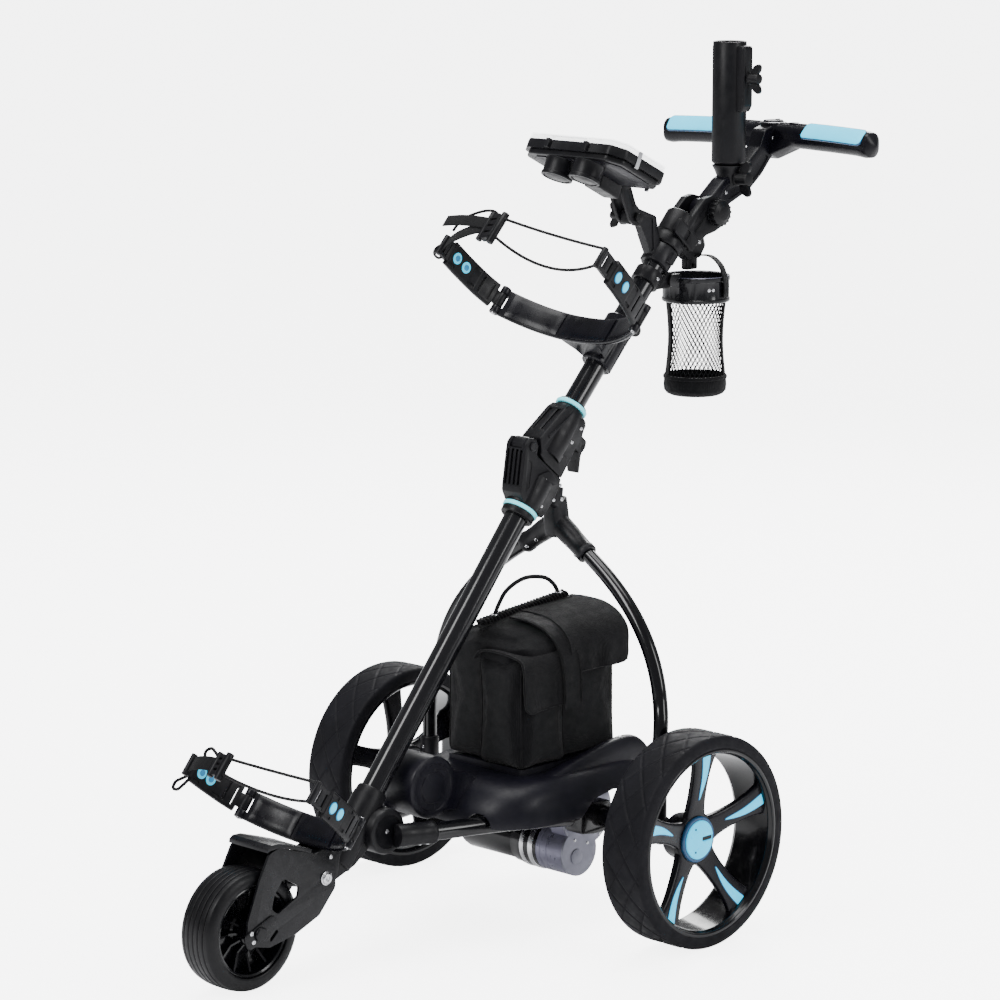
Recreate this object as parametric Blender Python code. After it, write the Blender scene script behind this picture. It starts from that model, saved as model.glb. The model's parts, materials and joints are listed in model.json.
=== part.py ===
"""Three-wheel electric golf trolley, modelled as separate parts.

Metres, +Z up. The trolley rolls towards -Y. Left and right are as seen from the
front, facing the trolley: parts named *_right sit at +X, parts named *_left at -X.
Parts are laid out with y = 0 at the rear axle; the last step moves them all so that
the origin is on the ground under the middle of the whole outline.
"""
import math
from math import sin, cos, pi, radians

import bmesh
import bpy
from mathutils import Matrix, Vector

X = Vector((1, 0, 0))
Y = Vector((0, 1, 0))
Z = Vector((0, 0, 1))
SIDE_VIEW = (Vector(), Y, Z, X)       # prism frames: origin, outline axes, extrusion axis
PLAN_VIEW = (Vector(), X, Y, Z)
SIDES = ((1, 'right'), (-1, 'left'))


def mid(y, z):
    """Point in the middle plane."""
    return Vector((0, y, z))


def sided(side, x, y, z):
    """Point given for the +X side, mirrored when side is -1."""
    return Vector((side * x, y, z))


def span(side, inner, outer):
    """Range of x between two distances from the middle plane, in rising order."""
    return sorted((side * inner, side * outer))


class TubeLine:
    """Centre line of a main tube, measured along it and out to its front."""

    def __init__(self, origin, slope):
        self.origin = origin
        self.along = slope.normalized()
        self.front = mid(-self.along.z, self.along.y)

    def at(self, along, front=0):
        return self.origin + self.along * along + self.front * front

    def frame(self, along):
        """Prism frame that extrudes along the tube."""
        return (self.at(along), X, self.front, self.along)

    def outline(self, points):
        """Side-view (y, z) points from (along, front) pairs."""
        return [tuple(self.at(*p).yz) for p in points]


# ---------------------------------------------------------------- dimensions
GAP = 0.0004                  # clearance left between neighbouring pieces
# rear wheels and axle
REAR_R = 0.140
REAR_HALF_W = 0.068 / 2
HALF_TRACK = 0.275            # wheel centre from the middle plane
AXLE_Z = REAR_R
AXLE = mid(0, AXLE_Z)
AXLE_RO = 0.0130
AXLE_RI = 0.0095
AXLE_BORE = AXLE_RO + GAP / 2
SHAFT_R = 0.008
SPOKES = 5
SPOKE_PHASE = radians(18.0)
SPOKE_DISH = 0.0170           # spokes stand out this much more at the rim
# front wheel
FRONT_R = 0.0775
FRONT_HALF_W = 0.056 / 2
WHEELBASE = 0.537
FRONT_HUB = mid(-WHEELBASE, FRONT_R)
# tubes
LOWER_R = 0.0160
UPPER_R = 0.0150
LOWER_BORE = LOWER_R + GAP / 2
UPPER_BORE = UPPER_R + GAP / 2
WALL = 0.002
STAY_R = 0.0098
SIDE_R = 0.0116
LOWER = TubeLine(mid(-0.0389, 0.5396), mid(0.634, 0.773))
UPPER = TubeLine(mid(0.0576, 0.6642), mid(0.677, 0.736))
LOWER_START = LOWER.at(-0.492)
LOWER_END = LOWER.at(0.034)   # inside the lower hinge casting
UPPER_START = UPPER.at(-0.030)
UPPER_END = UPPER.at(0.300)
# cross axes
HINGE = LOWER.at(0.070, 0.050)
JUNCTION = mid(-0.312, 0.163)
FORK_BOLT = mid(-0.4245, 0.1258)
LATCH = UPPER.at(-0.0330, -0.0405)
HANDLE_TILT = mid(0.3180, 0.9060)
CONSOLE_TILT = mid(0.1700, 0.9100)
CUP_SWING = mid(0.2480, 0.8180)
FORK_BOLT_HOLE_R = 0.0046
TILT_HOLE_R = 0.0043
CONSOLE_HOLE_R = 0.0035
LOWER_SADDLE_S = -0.5150      # stations of the bag saddles along their tubes
UPPER_SADDLE_S = 0.094
# stay ends: the upper straight runs from the top bend to the head
STAY_BEND = (0.0805, 0.0292, 0.4640)
STAY_HEAD = (0.0420, 0.0312, 0.4880)
# gears: the motor axis is below and just in front of the axle
GEAR_MODULE = 0.002
GEAR_TEETH = 40
PINION_TEETH = 14
GEAR_CENTRES = GEAR_MODULE * (GEAR_TEETH + PINION_TEETH) / 2
MOTOR_Y = -0.015
MOTOR_Z = AXLE_Z - math.sqrt(GEAR_CENTRES ** 2 - MOTOR_Y ** 2)
MOTOR = mid(MOTOR_Y, MOTOR_Z)
MESH_ANGLE = math.atan2(MOTOR_Z - AXLE_Z, MOTOR_Y)      # from gear to pinion
# T handle
BAR_Y = 0.4640
BAR_Z = 1.0090
BAR_HALF = 0.1910
DIAL = mid(BAR_Y - 0.002, BAR_Z)
PAD_NORMAL = mid(-sin(radians(50)), cos(radians(50)))   # the pads face forwards and up
UMBRELLA_SEAT = mid(0.3690, 0.9500)
UMBRELLA_SCREW_Z = 1.0850
# console tray: its plane falls towards the rear
TRAY_CENTRE = mid(0.1020, 0.9900)
TRAY_REAR = mid(cos(radians(-26)), sin(radians(-26)))
TRAY_UP = mid(-TRAY_REAR.z, TRAY_REAR.y)
TRAY_FRAME = (TRAY_CENTRE, X, TRAY_REAR, TRAY_UP)
CUP_Y = 0.3040
# battery bag
BAG_HALF = 0.072
BAG_Y0 = -0.110
BAG_Y1 = 0.078
BAG_Z0 = 0.2125
BAG_Z1 = 0.392
DECK_Z = BAG_Z0 - GAP

# ---------------------------------------------------------------- materials
# base colour, roughness, metallic
PALETTE = {
    'black_tube': ((0.012, 0.012, 0.014), 0.32, 0.6),
    'black_plastic': ((0.018, 0.018, 0.020), 0.5, 0.0),
    'grey_plastic': ((0.045, 0.044, 0.052), 0.55, 0.0),
    'rubber': ((0.035, 0.035, 0.038), 0.85, 0.0),
    'blue': ((0.08, 0.62, 0.83), 0.4, 0.0),
    'pale_blue': ((0.35, 0.80, 0.88), 0.4, 0.0),
    'fabric': ((0.010, 0.010, 0.012), 0.95, 0.0),
    'steel': ((0.62, 0.62, 0.64), 0.3, 1.0),
    'motor_grey': ((0.33, 0.33, 0.38), 0.4, 0.7),
    'clear': ((0.85, 0.87, 0.9), 0.08, 0.0),
}


def material(key, piece):
    """Each piece has its own material, named after it."""
    mat = bpy.data.materials.new(piece + '_mat')
    mat.use_nodes = True
    shader = mat.node_tree.nodes['Principled BSDF']
    colour, roughness, metallic = PALETTE[key]
    shader.inputs['Base Color'].default_value = (*colour, 1)
    shader.inputs['Roughness'].default_value = roughness
    shader.inputs['Metallic'].default_value = metallic
    mat.diffuse_color = (*colour, 1)
    return mat


# ---------------------------------------------------------------- outlines
def rect(u0, u1, v0, v1):
    return [(u0, v0), (u1, v0), (u1, v1), (u0, v1)]


def octagon(x_end, x_side, v0, v1, v2, v3):
    """Rectangle with cut corners: x_end at v0 and v3, x_side at v1 and v2."""
    return [(-x_end, v0), (x_end, v0), (x_side, v1), (x_side, v2),
            (x_end, v3), (-x_end, v3), (-x_side, v2), (-x_side, v1)]


def circle(r, facets):
    return [(r * cos(2 * pi * i / facets), r * sin(2 * pi * i / facets))
            for i in range(facets)]


def rounded_rect(width, height, r, steps):
    points = []
    for cx, cy, start in ((width / 2 - r, height / 2 - r, 0),
                          (-width / 2 + r, height / 2 - r, 90),
                          (-width / 2 + r, -height / 2 + r, 180),
                          (width / 2 - r, -height / 2 + r, 270)):
        for i in range(steps + 1):
            angle = radians(start + 90 * i / steps)
            points.append((cx + r * cos(angle), cy + r * sin(angle)))
    return points


def bezier(p, steps):
    """Points on the cubic curve with control points p[0..3]."""
    points = []
    for i in range(steps + 1):
        t = i / steps
        points.append(p[0] * (1 - t) ** 3 + p[1] * (3 * t * (1 - t) ** 2)
                      + p[2] * (3 * t * t * (1 - t)) + p[3] * t ** 3)
    return points


def mirror_profile(half):
    """Lathe profile from its half at h >= 0, listed from the end to the middle."""
    return [(r, -h) for r, h in half] + [(r, h) for r, h in reversed(half)]


# ---------------------------------------------------------------- solids
def to_object(bm):
    bmesh.ops.remove_doubles(bm, verts=bm.verts, dist=1e-6)
    bmesh.ops.recalc_face_normals(bm, faces=bm.faces)
    mesh = bpy.data.meshes.new('tmp')
    bm.to_mesh(mesh)
    bm.free()
    obj = bpy.data.objects.new('tmp', mesh)
    bpy.context.scene.collection.objects.link(obj)
    return obj


def prism(outline, frame, start, end, bevel=0.0):
    """Outline (u, v) extruded along the frame's last axis; bevel rounds both rims."""
    origin, u, v, w = frame
    bm = bmesh.new()
    base = bm.faces.new([bm.verts.new(origin + u * a + v * b + w * start)
                         for a, b in outline])
    extruded = bmesh.ops.extrude_face_region(bm, geom=[base])
    top = [g for g in extruded['geom'] if isinstance(g, bmesh.types.BMVert)]
    bmesh.ops.translate(bm, verts=top, vec=w * (end - start))
    bmesh.ops.recalc_face_normals(bm, faces=bm.faces)
    if bevel:
        rims = [e for e in bm.edges
                if abs((e.verts[0].co - e.verts[1].co).normalized().dot(w)) < 0.5]
        bmesh.ops.bevel(bm, geom=rims, offset=bevel, segments=1, affect='EDGES',
                        clamp_overlap=True)
    return to_object(bm)


def prism_x(outline, x0, x1, bevel=0.0):
    """Side-view outline (y, z) extruded across the trolley."""
    return prism(outline, SIDE_VIEW, x0, x1, bevel)


def box(x0, x1, y0, y1, z0, z1, bevel=0.0, steps=1):
    bm = bmesh.new()
    bmesh.ops.create_cube(bm, size=1.0)
    for v in bm.verts:
        v.co = Vector(((x0 + x1) / 2 + v.co.x * (x1 - x0),
                       (y0 + y1) / 2 + v.co.y * (y1 - y0),
                       (z0 + z1) / 2 + v.co.z * (z1 - z0)))
    if bevel:
        bmesh.ops.bevel(bm, geom=list(bm.edges), offset=bevel, segments=steps,
                        affect='EDGES', profile=0.5)
    return to_object(bm)


def axes_about(direction):
    """Two cross axes and the unit direction itself."""
    w = direction.normalized()
    helper = X if abs(w.x) < 0.9 else Z
    u = (helper - w * helper.dot(w)).normalized()
    return u, w.cross(u), w


def lathe(profile, origin, direction, facets=12):
    """Closed profile [(r, h)...] turned about the line origin + h * direction."""
    u, v, w = axes_about(direction)
    bm = bmesh.new()
    loops = []
    for r, h in profile:
        if r < 1e-9:
            loops.append([bm.verts.new(origin + w * h)] * facets)
        else:
            loops.append([bm.verts.new(origin + w * h + u * (r * cos(2 * pi * i / facets))
                                       + v * (r * sin(2 * pi * i / facets)))
                          for i in range(facets)])
    for a in range(len(loops)):
        b = (a + 1) % len(loops)
        if profile[a][0] < 1e-9 and profile[b][0] < 1e-9:
            continue
        for i in range(facets):
            j = (i + 1) % facets
            quad = [loops[a][i], loops[b][i], loops[b][j], loops[a][j]]
            corners = [p for k, p in enumerate(quad) if p not in quad[:k]]
            if len(corners) > 2:
                bm.faces.new(corners)
    return to_object(bm)


def cyl(p0, p1, r, facets=12, chamfer=0.0):
    h = (p1 - p0).length
    if chamfer:
        profile = [(0, 0), (r - chamfer, 0), (r, chamfer), (r, h - chamfer),
                   (r - chamfer, h), (0, h)]
    else:
        profile = [(0, 0), (r, 0), (r, h), (0, h)]
    return lathe(profile, p0, p1 - p0, facets)


def cyl_x(x0, x1, centre, r, facets=12, chamfer=0.0):
    """Cylinder across the trolley, on the y and z of centre."""
    return cyl(Vector((x0, centre.y, centre.z)), Vector((x1, centre.y, centre.z)),
               r, facets, chamfer)


def ring(p0, p1, outer, inner, facets=12, chamfer=0.0):
    h = (p1 - p0).length
    if chamfer:
        profile = [(inner, 0), (outer - chamfer, 0), (outer, chamfer), (outer, h - chamfer),
                   (outer - chamfer, h), (inner, h)]
    else:
        profile = [(inner, 0), (outer, 0), (outer, h), (inner, h)]
    return lathe(profile, p0, p1 - p0, facets)


def loft(loops):
    """Skin over loops of points, closed at both ends."""
    bm = bmesh.new()
    loops = [[bm.verts.new(p) for p in loop] for loop in loops]
    for near, far in zip(loops, loops[1:]):
        for i in range(len(near)):
            j = (i + 1) % len(near)
            bm.faces.new((near[i], near[j], far[j], far[i]))
    bm.faces.new(loops[0])
    bm.faces.new(loops[-1][::-1])
    return to_object(bm)


def sweep(path, section, up):
    """Section [(a, b)...] carried along path; b is measured along 'up'."""
    loops = []
    last = len(path) - 1
    for i, p in enumerate(path):
        tangent = (path[min(i + 1, last)] - path[max(i - 1, 0)]).normalized()
        normal = (up - tangent * up.dot(tangent)).normalized()
        across = tangent.cross(normal)
        widen = 1.0                           # keeps the width through a mitre
        if 0 < i < last:
            before = (path[i] - path[i - 1]).normalized()
            widen = 1.0 / max(0.7, abs(before.dot(tangent)))
        loops.append([p + across * (a * widen) + normal * b for a, b in section])
    return loft(loops)


def clean(bm):
    bmesh.ops.remove_doubles(bm, verts=bm.verts, dist=2e-6)
    bmesh.ops.dissolve_degenerate(bm, dist=1e-6, edges=bm.edges)


def closed(mesh):
    bm = bmesh.new()
    bm.from_mesh(mesh)
    clean(bm)
    ok = len(bm.faces) > 0 and all(e.is_manifold for e in bm.edges)
    bm.free()
    return ok


def combine(body, tool, operation):
    """Boolean of tool into body; the second solver is used where the first leaves a gap."""
    modifier = body.modifiers.new('boolean', 'BOOLEAN')
    modifier.operation = operation
    modifier.object = tool
    best = None
    for solver in ('EXACT', 'MANIFOLD'):
        modifier.solver = solver
        depsgraph = bpy.context.evaluated_depsgraph_get()
        mesh = bpy.data.meshes.new_from_object(body.evaluated_get(depsgraph))
        if best is None:
            best = mesh
        if closed(mesh):
            best = mesh
            break
    body.modifiers.clear()
    body.data = best
    bpy.data.objects.remove(tool, do_unlink=True)


def join(body, *tools):
    for tool in tools:
        combine(body, tool, 'UNION')
    return body


def cut(body, *tools):
    for tool in tools:
        combine(body, tool, 'DIFFERENCE')
    return body


def put(obj, name, key, origin=None):
    """Name the piece, colour it and move its origin to the given point."""
    bm = bmesh.new()
    bm.from_mesh(obj.data)
    clean(bm)
    bm.to_mesh(obj.data)
    bm.free()
    obj.name = name
    obj.data.name = name
    obj.data.materials.clear()
    obj.data.materials.append(material(key, name))
    obj.data.shade_smooth()
    obj.data.set_sharp_from_angle(angle=radians(35))
    if origin is not None:
        obj.data.transform(Matrix.Translation(-origin))
        obj.location = origin


def gear(teeth, x0, x1, y, z, phase):
    """Spur gear with trapezoid teeth, slim enough to run with backlash."""
    pitch_r = teeth * GEAR_MODULE / 2
    tip = pitch_r + 0.75 * GEAR_MODULE
    root = pitch_r - 1.15 * GEAR_MODULE
    pitch = 2 * pi / teeth
    outline = []
    for i in range(teeth):
        angle = phase + 2 * pi * i / teeth
        for r, k in ((root, -0.30), (tip, -0.12), (tip, 0.12), (root, 0.30)):
            outline.append((y + r * cos(angle + k * pitch), z + r * sin(angle + k * pitch)))
    return prism_x(outline, x0, x1)


# half outline of the wings: fraction of the span, fraction of the boss length
WING = [(0.30, 0.35), (0.5, 0.75), (0.46, 1.15), (0.30, 1.20), (0.14, 0.85)]


def wing_knob(name, base, direction, wing_span, boss_r, length, shank=((0, 0),)):
    """Wing screw: boss along direction with two wings, shank profile behind it."""
    u, v, w = axes_about(direction)
    profile = [(0, length), (boss_r - 0.001, length), (boss_r, length - 0.001), (boss_r, 0),
               *shank]
    knob = lathe(profile[::-1], base, w, 8)
    wings = [(-wing_span * a, length * b) for a, b in WING]
    wings += [(wing_span * a, length * b) for a, b in reversed(WING)]
    join(knob, prism(wings, (base, u, w, v), -0.0026, 0.0026, 0.0012))
    put(knob, name, 'black_plastic', base)


# ================================================================ wheels
# radius, then the two edges across the spoke
SPOKE_STATIONS = [
    (0.0220, -0.0125, 0.0125), (0.0320, -0.0125, 0.0125), (0.0620, -0.0135, 0.0125),
    (0.0950, -0.0185, 0.0175), (0.1195, -0.0270, 0.0230),
]
DISH_START = 0.032            # radius where the dish begins
DISH_RUN = 0.085              # radial length over which it grows
SPOKE_IN = -0.0061            # inner and outer faces of a spoke
SPOKE_OUT = 0.0057


def spoke(centre, outward, angle):
    radial = Y * cos(angle) + Z * sin(angle)
    across = Z * cos(angle) - Y * sin(angle)
    loops = []
    for r, low, high in SPOKE_STATIONS:
        dish = SPOKE_DISH * min(1.0, max(0.0, (r - DISH_START) / DISH_RUN))
        p = centre + radial * r + outward * dish
        loops.append([p + across * a + outward * b
                      for a, b in rect(low, high, SPOKE_IN, SPOKE_OUT)])
    return loft(loops)


def rear_wheel(side, tag):
    """Tyre, rim, hub cap and drive shaft; profile heights run outwards."""
    centre = sided(side, HALF_TRACK, 0, AXLE_Z)
    outward = Vector((side, 0, 0))
    half = REAR_HALF_W
    tyre = [(0.1236, -half), (0.1340, -half), (REAR_R, -half + 0.0065),
            (REAR_R, half - 0.0065), (0.1340, half), (0.1236, half)]
    put(lathe(tyre, centre, outward, 38), 'rear_tyre_' + tag, 'rubber', centre)
    barrel = [(0.1178, -half + 0.003), (0.1232, -half + 0.003), (0.1232, half - 0.003),
              (0.1178, half - 0.003), (0.1160, half - 0.006), (0.1160, -half + 0.006)]
    hub = [(0, -0.030), (0.0285, -0.030), (0.0300, -0.026), (0.0300, 0.006), (0, 0.006)]
    rim = lathe(barrel, centre, outward, 38)
    for k in range(SPOKES):
        join(rim, spoke(centre, outward, SPOKE_PHASE + 2 * pi * k / SPOKES))
    join(rim, lathe(hub, centre, outward, 16))
    cut(rim, cyl(centre - outward * 0.05, centre + outward * 0.05, SHAFT_R + GAP))
    put(rim, 'rear_rim_' + tag, 'black_plastic', centre)
    cap = [(0, 0.0064), (0.0262, 0.0064), (0.0262, 0.0100), (0.0245, 0.0118), (0, 0.0118)]
    put(lathe(cap, centre, outward, 16), 'hub_cap_' + tag, 'blue', centre)
    # the shaft turns with the wheel, inside the axle tube; the right one has the gear
    inner_x = 0.0560 if side > 0 else -0.050
    shaft = cyl(Vector((inner_x, 0, AXLE_Z)), centre + outward * 0.0058, SHAFT_R, 10, 0.0008)
    if side > 0:
        join(shaft, gear(GEAR_TEETH, 0.0640, 0.0780, 0, AXLE_Z, MESH_ANGLE))
    put(shaft, 'drive_shaft_' + tag, 'steel', centre)


def front_wheel():
    tyre = mirror_profile([(0.0590, FRONT_HALF_W), (FRONT_R - 0.009, FRONT_HALF_W),
                           (FRONT_R - 0.003, FRONT_HALF_W - 0.0050),
                           (FRONT_R, FRONT_HALF_W - 0.0150)])
    put(lathe(tyre, FRONT_HUB, X, 24), 'front_tyre', 'rubber', FRONT_HUB)
    rim = [(0.0064, 0.0220), (0.0190, 0.0220), (0.0190, 0.006), (0.0520, 0.006),
           (0.0535, 0.0240), (0.0586, 0.0240)]
    put(lathe(mirror_profile(rim), FRONT_HUB, X, 24), 'front_rim', 'black_plastic', FRONT_HUB)


# ================================================================ frame
def side_tube_line(side):
    """Front end, rear end and direction of a side tube."""
    front = sided(side, 0.046, -0.276, 0.1560)
    rear = sided(side, 0.1020, -0.018, 0.1405)
    return front, rear, (rear - front).normalized()


def front_junction():
    """Sleeve on the lower tube, cross boss, side-tube sockets and fork tongue."""
    body = cyl(LOWER.at(-0.5330), LOWER.at(-0.425), 0.0215, 14, 0.0015)
    join(body, cyl_x(-0.033, 0.033, JUNCTION, 0.0300, 16, 0.003))
    for side, _ in SIDES:
        front, _, along = side_tube_line(side)
        join(body, cyl(front - along * 0.030, front + along * 0.026, 0.0145, 10, 0.001))
    frame = LOWER.frame(LOWER_SADDLE_S)
    join(body, prism(rect(-0.0180, 0.0180, 0.0100, 0.0230), frame, -0.016, 0.016))
    tongue = [(-0.340, 0.160), (-0.372, 0.160), (-0.412, 0.160), (-0.449, 0.146),
              (-0.444, 0.112), (-0.412, 0.104), (-0.356, 0.124), (-0.320, 0.150)]
    join(body, prism_x(tongue, -0.0170, 0.0170, 0.002))
    # flat seat for the foot of the lower bag saddle
    cut(body, prism(rect(-0.050, 0.050, 0.0231, 0.0800), frame, -0.0208, 0.0250))
    cut(body, cyl(LOWER_START - LOWER.along * GAP, LOWER_END, LOWER_BORE))
    for side, _ in SIDES:
        front, _, along = side_tube_line(side)
        cut(body, cyl(front - GAP * along, front + along * 0.05, SIDE_R + GAP / 2, 10))
    cut(body, cyl_x(-0.05, 0.05, FORK_BOLT, FORK_BOLT_HOLE_R, 8))
    put(body, 'front_junction', 'black_plastic')


def front_fork():
    """Two windowed cheek plates, a roof plate and distance tubes to the tongue."""
    cheek = [(-0.5020, 0.1800), (-0.4400, 0.1600), (-0.4080, 0.1400), (-0.4080, 0.1110),
             (-0.4360, 0.0800), (-0.4760, 0.0640), (-0.5200, 0.0560), (-0.5450, 0.0620),
             (-0.5560, 0.0780), (-0.5560, 0.0950), (-0.5350, 0.1450), (-0.5180, 0.1760)]
    window = [(-0.4960, 0.1400), (-0.4700, 0.1250), (-0.4720, 0.1120), (-0.5060, 0.0960),
              (-0.5160, 0.1040), (-0.5110, 0.1220)]
    roof = [(-0.5205, 0.1790), (-0.5150, 0.1860), (-0.5020, 0.1855), (-0.4480, 0.1680),
            (-0.4500, 0.1600), (-0.5030, 0.1760), (-0.5170, 0.1770)]
    fork, left = [cut(prism_x(cheek, *span(side, 0.0330, 0.0366)),
                      prism_x(window, *span(side, 0.0230, 0.0466))) for side, _ in SIDES]
    join(fork, left, prism_x(roof, -0.0365, 0.0365))
    for side, _ in SIDES:
        join(fork, cyl_x(*span(side, 0.0174, 0.0345), FORK_BOLT, 0.0090, 10))
    cut(fork, cyl_x(-0.06, 0.06, FORK_BOLT, FORK_BOLT_HOLE_R, 8),
        cyl_x(-0.06, 0.06, FRONT_HUB, 0.0063, 8))
    put(fork, 'front_fork', 'black_tube')


def cross_pins():
    """Front axle, fork bolt and hinge pin, each headed at both ends."""
    axle = [(0, 0.0430), (0.0095, 0.0430), (0.0095, 0.0370), (0.0058, 0.0370),
            (0.0058, 0.0322), (0.0085, 0.0322), (0.0085, 0.0224), (0.0058, 0.0224)]
    put(lathe(mirror_profile(axle), FRONT_HUB, X, 10), 'front_axle', 'steel')
    bolt = [(0, 0.0415), (0.0075, 0.0415), (0.0075, 0.0370), (0.0040, 0.0370)]
    put(lathe(mirror_profile(bolt), FORK_BOLT, X, 10), 'fork_bolt', 'steel')
    pin = [(0, 0.0205), (0.0060, 0.0205), (0.0060, 0.0184), (0.0036, 0.0184)]
    put(lathe(mirror_profile(pin), HINGE, X, 8), 'hinge_pin', 'steel', HINGE)


def straight_tubes():
    put(ring(LOWER_START, LOWER_END, LOWER_R, LOWER_R - WALL), 'lower_main_tube', 'black_tube')
    put(ring(UPPER_START, UPPER_END, UPPER_R, UPPER_R - WALL), 'upper_tube', 'black_tube',
        HINGE)
    # the axle tube is parted where the gears run
    for tag, x0, x1 in (('left', -0.2235, 0.0562), ('right', 0.0875, 0.2235)):
        tube = ring(Vector((x0, 0, AXLE_Z)), Vector((x1, 0, AXLE_Z)), AXLE_RO, AXLE_RI)
        put(tube, 'axle_tube_' + tag, 'black_tube')


def side_tube(side, tag):
    """Axle bracket with the tube that runs forward to the junction."""
    bracket = [(-0.0450, 0.1230), (-0.0450, 0.1580), (-0.0200, 0.1620), (0.0100, 0.1600),
               (0.0190, 0.1480), (0.0190, 0.1280), (0.0060, 0.1190), (-0.0200, 0.1190)]
    front, rear, along = side_tube_line(side)
    body = prism_x(bracket, *span(side, 0.0900, 0.1180), 0.002)
    join(body, ring(front, rear - along * 0.0150, SIDE_R, SIDE_R - WALL, 10))
    cut(body, cyl_x(-0.3, 0.3, AXLE, AXLE_BORE))
    put(body, 'side_tube_' + tag, 'black_tube')


def stay(side, tag):
    """Curved tube from an axle end up to the Y bracket."""
    foot = sided(side, 0.2110, 0.0, 0.1660)
    knee = sided(side, 0.2030, 0.0140, 0.3020)
    top_bend = sided(side, *STAY_BEND)
    lower = bezier([foot, foot + sided(side, 0.002, 0.002, 0.10),
                    foot + sided(side, 0.0045, 0.004, 0.11), knee], 3)
    upper = bezier([knee, sided(side, 0.1900, 0.019, 0.385),
                    sided(side, 0.1280, 0.0265, 0.4330), top_bend], 7)
    path = lower[:-1] + upper[:-1] + [top_bend, sided(side, *STAY_HEAD)]
    tube = sweep(path, circle(STAY_R, 8), Y)
    body = cyl_x(*span(side, 0.2000, 0.2220), AXLE, 0.0190)
    join(body, cyl(sided(side, 0.2110, 0, 0.150), sided(side, 0.2113, 0.0003, 0.186),
                   0.0110, 8), tube)
    cut(body, cyl_x(-0.3, 0.3, AXLE, AXLE_BORE))
    put(body, 'stay_' + tag, 'black_tube')


# ================================================================ folding hinge
PIN_SLOT = 0.0112             # half width of the slot for the upper knuckle
KNUCKLE = 0.0107              # half width of that knuckle


def hinge_lower_casting():
    """Sleeve on the lower tube with an arm forward to the hinge pin."""
    sleeve = [(LOWER_R - 0.004, -0.0120), (0.0228, -0.0120), (0.0228, -0.0034),
              (0.0200, -0.0034), (0.0200, 0.0030), (0.0235, 0.0030), (0.0235, 0.0480),
              (LOWER_R - 0.004, 0.0480)]
    arm = LOWER.outline([
        (0.006, 0.020), (0.008, 0.0265), (0.014, 0.0310), (0.056, 0.0560), (0.066, 0.0625),
        (0.076, 0.0610), (0.0815, 0.0510), (0.077, 0.041), (0.0655, 0.036), (0.0655, 0.018),
        (0.0655, -0.024), (0.040, -0.030), (0.006, -0.026), (0.004, -0.018), (0.004, 0.018)])
    slot = LOWER.outline([(0.0640, 0.0365), (0.0640, 0.0500), (0.1000, 0.0700),
                          (0.1000, 0.0100), (0.0660, 0.0100)])
    body = lathe(sleeve, LOWER.origin, LOWER.along, 14)
    join(body, prism_x(arm, -0.0180, 0.0180, 0.002))
    cut(body, cyl_x(-PIN_SLOT, PIN_SLOT, HINGE, 0.0140, 14),
        prism_x(slot, -PIN_SLOT, PIN_SLOT))
    cut(body, cyl(LOWER.at(-0.02), LOWER_END + LOWER.along * GAP, LOWER_BORE),
        cyl_x(-0.05, 0.05, HINGE, 0.0038, 8))
    put(body, 'hinge_lower_casting', 'black_plastic', HINGE)


def collar_rings():
    put(ring(LOWER.at(-0.0030), LOWER.at(0.0026), 0.0245, 0.0200 + GAP / 2, 14, 0.0006),
        'lower_collar_ring', 'pale_blue')
    put(ring(UPPER.at(-0.0026), UPPER.at(0.0030), 0.0225, UPPER_BORE, 12, 0.0006),
        'upper_collar_ring', 'pale_blue', HINGE)


def y_bracket():
    """Spine behind the lower casting, with two sockets for the stays."""
    spine = [*LOWER.outline([(0.0640, -0.0305), (0.0640, -0.0420), (0.0400, -0.0640)]),
             (0.0440, 0.5250), (0.0460, 0.5080), (0.0360, 0.4930), (0.0240, 0.4930),
             (0.0170, 0.5080), (0.0150, 0.5330),
             *LOWER.outline([(0.0180, -0.0310), (0.0400, -0.0305)])]
    body = prism_x(spine, -0.0120, 0.0120, 0.002)
    for side, _ in SIDES:
        join(body, cyl(sided(side, 0.0060, 0.0315, 0.5120),
                       sided(side, 0.0560, 0.0305, 0.4790), 0.0135, 10, 0.0015))
    for side, _ in SIDES:
        head = sided(side, *STAY_HEAD)
        down = (sided(side, *STAY_BEND) - head).normalized()
        cut(body, sweep([head - down * GAP, head + down * 0.038],
                        circle(STAY_R + GAP, 8), Y))
    cut(body, cyl(LOWER.at(-0.02), LOWER.at(0.08), 0.0241, 14))
    put(body, 'y_bracket', 'black_plastic')


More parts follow.
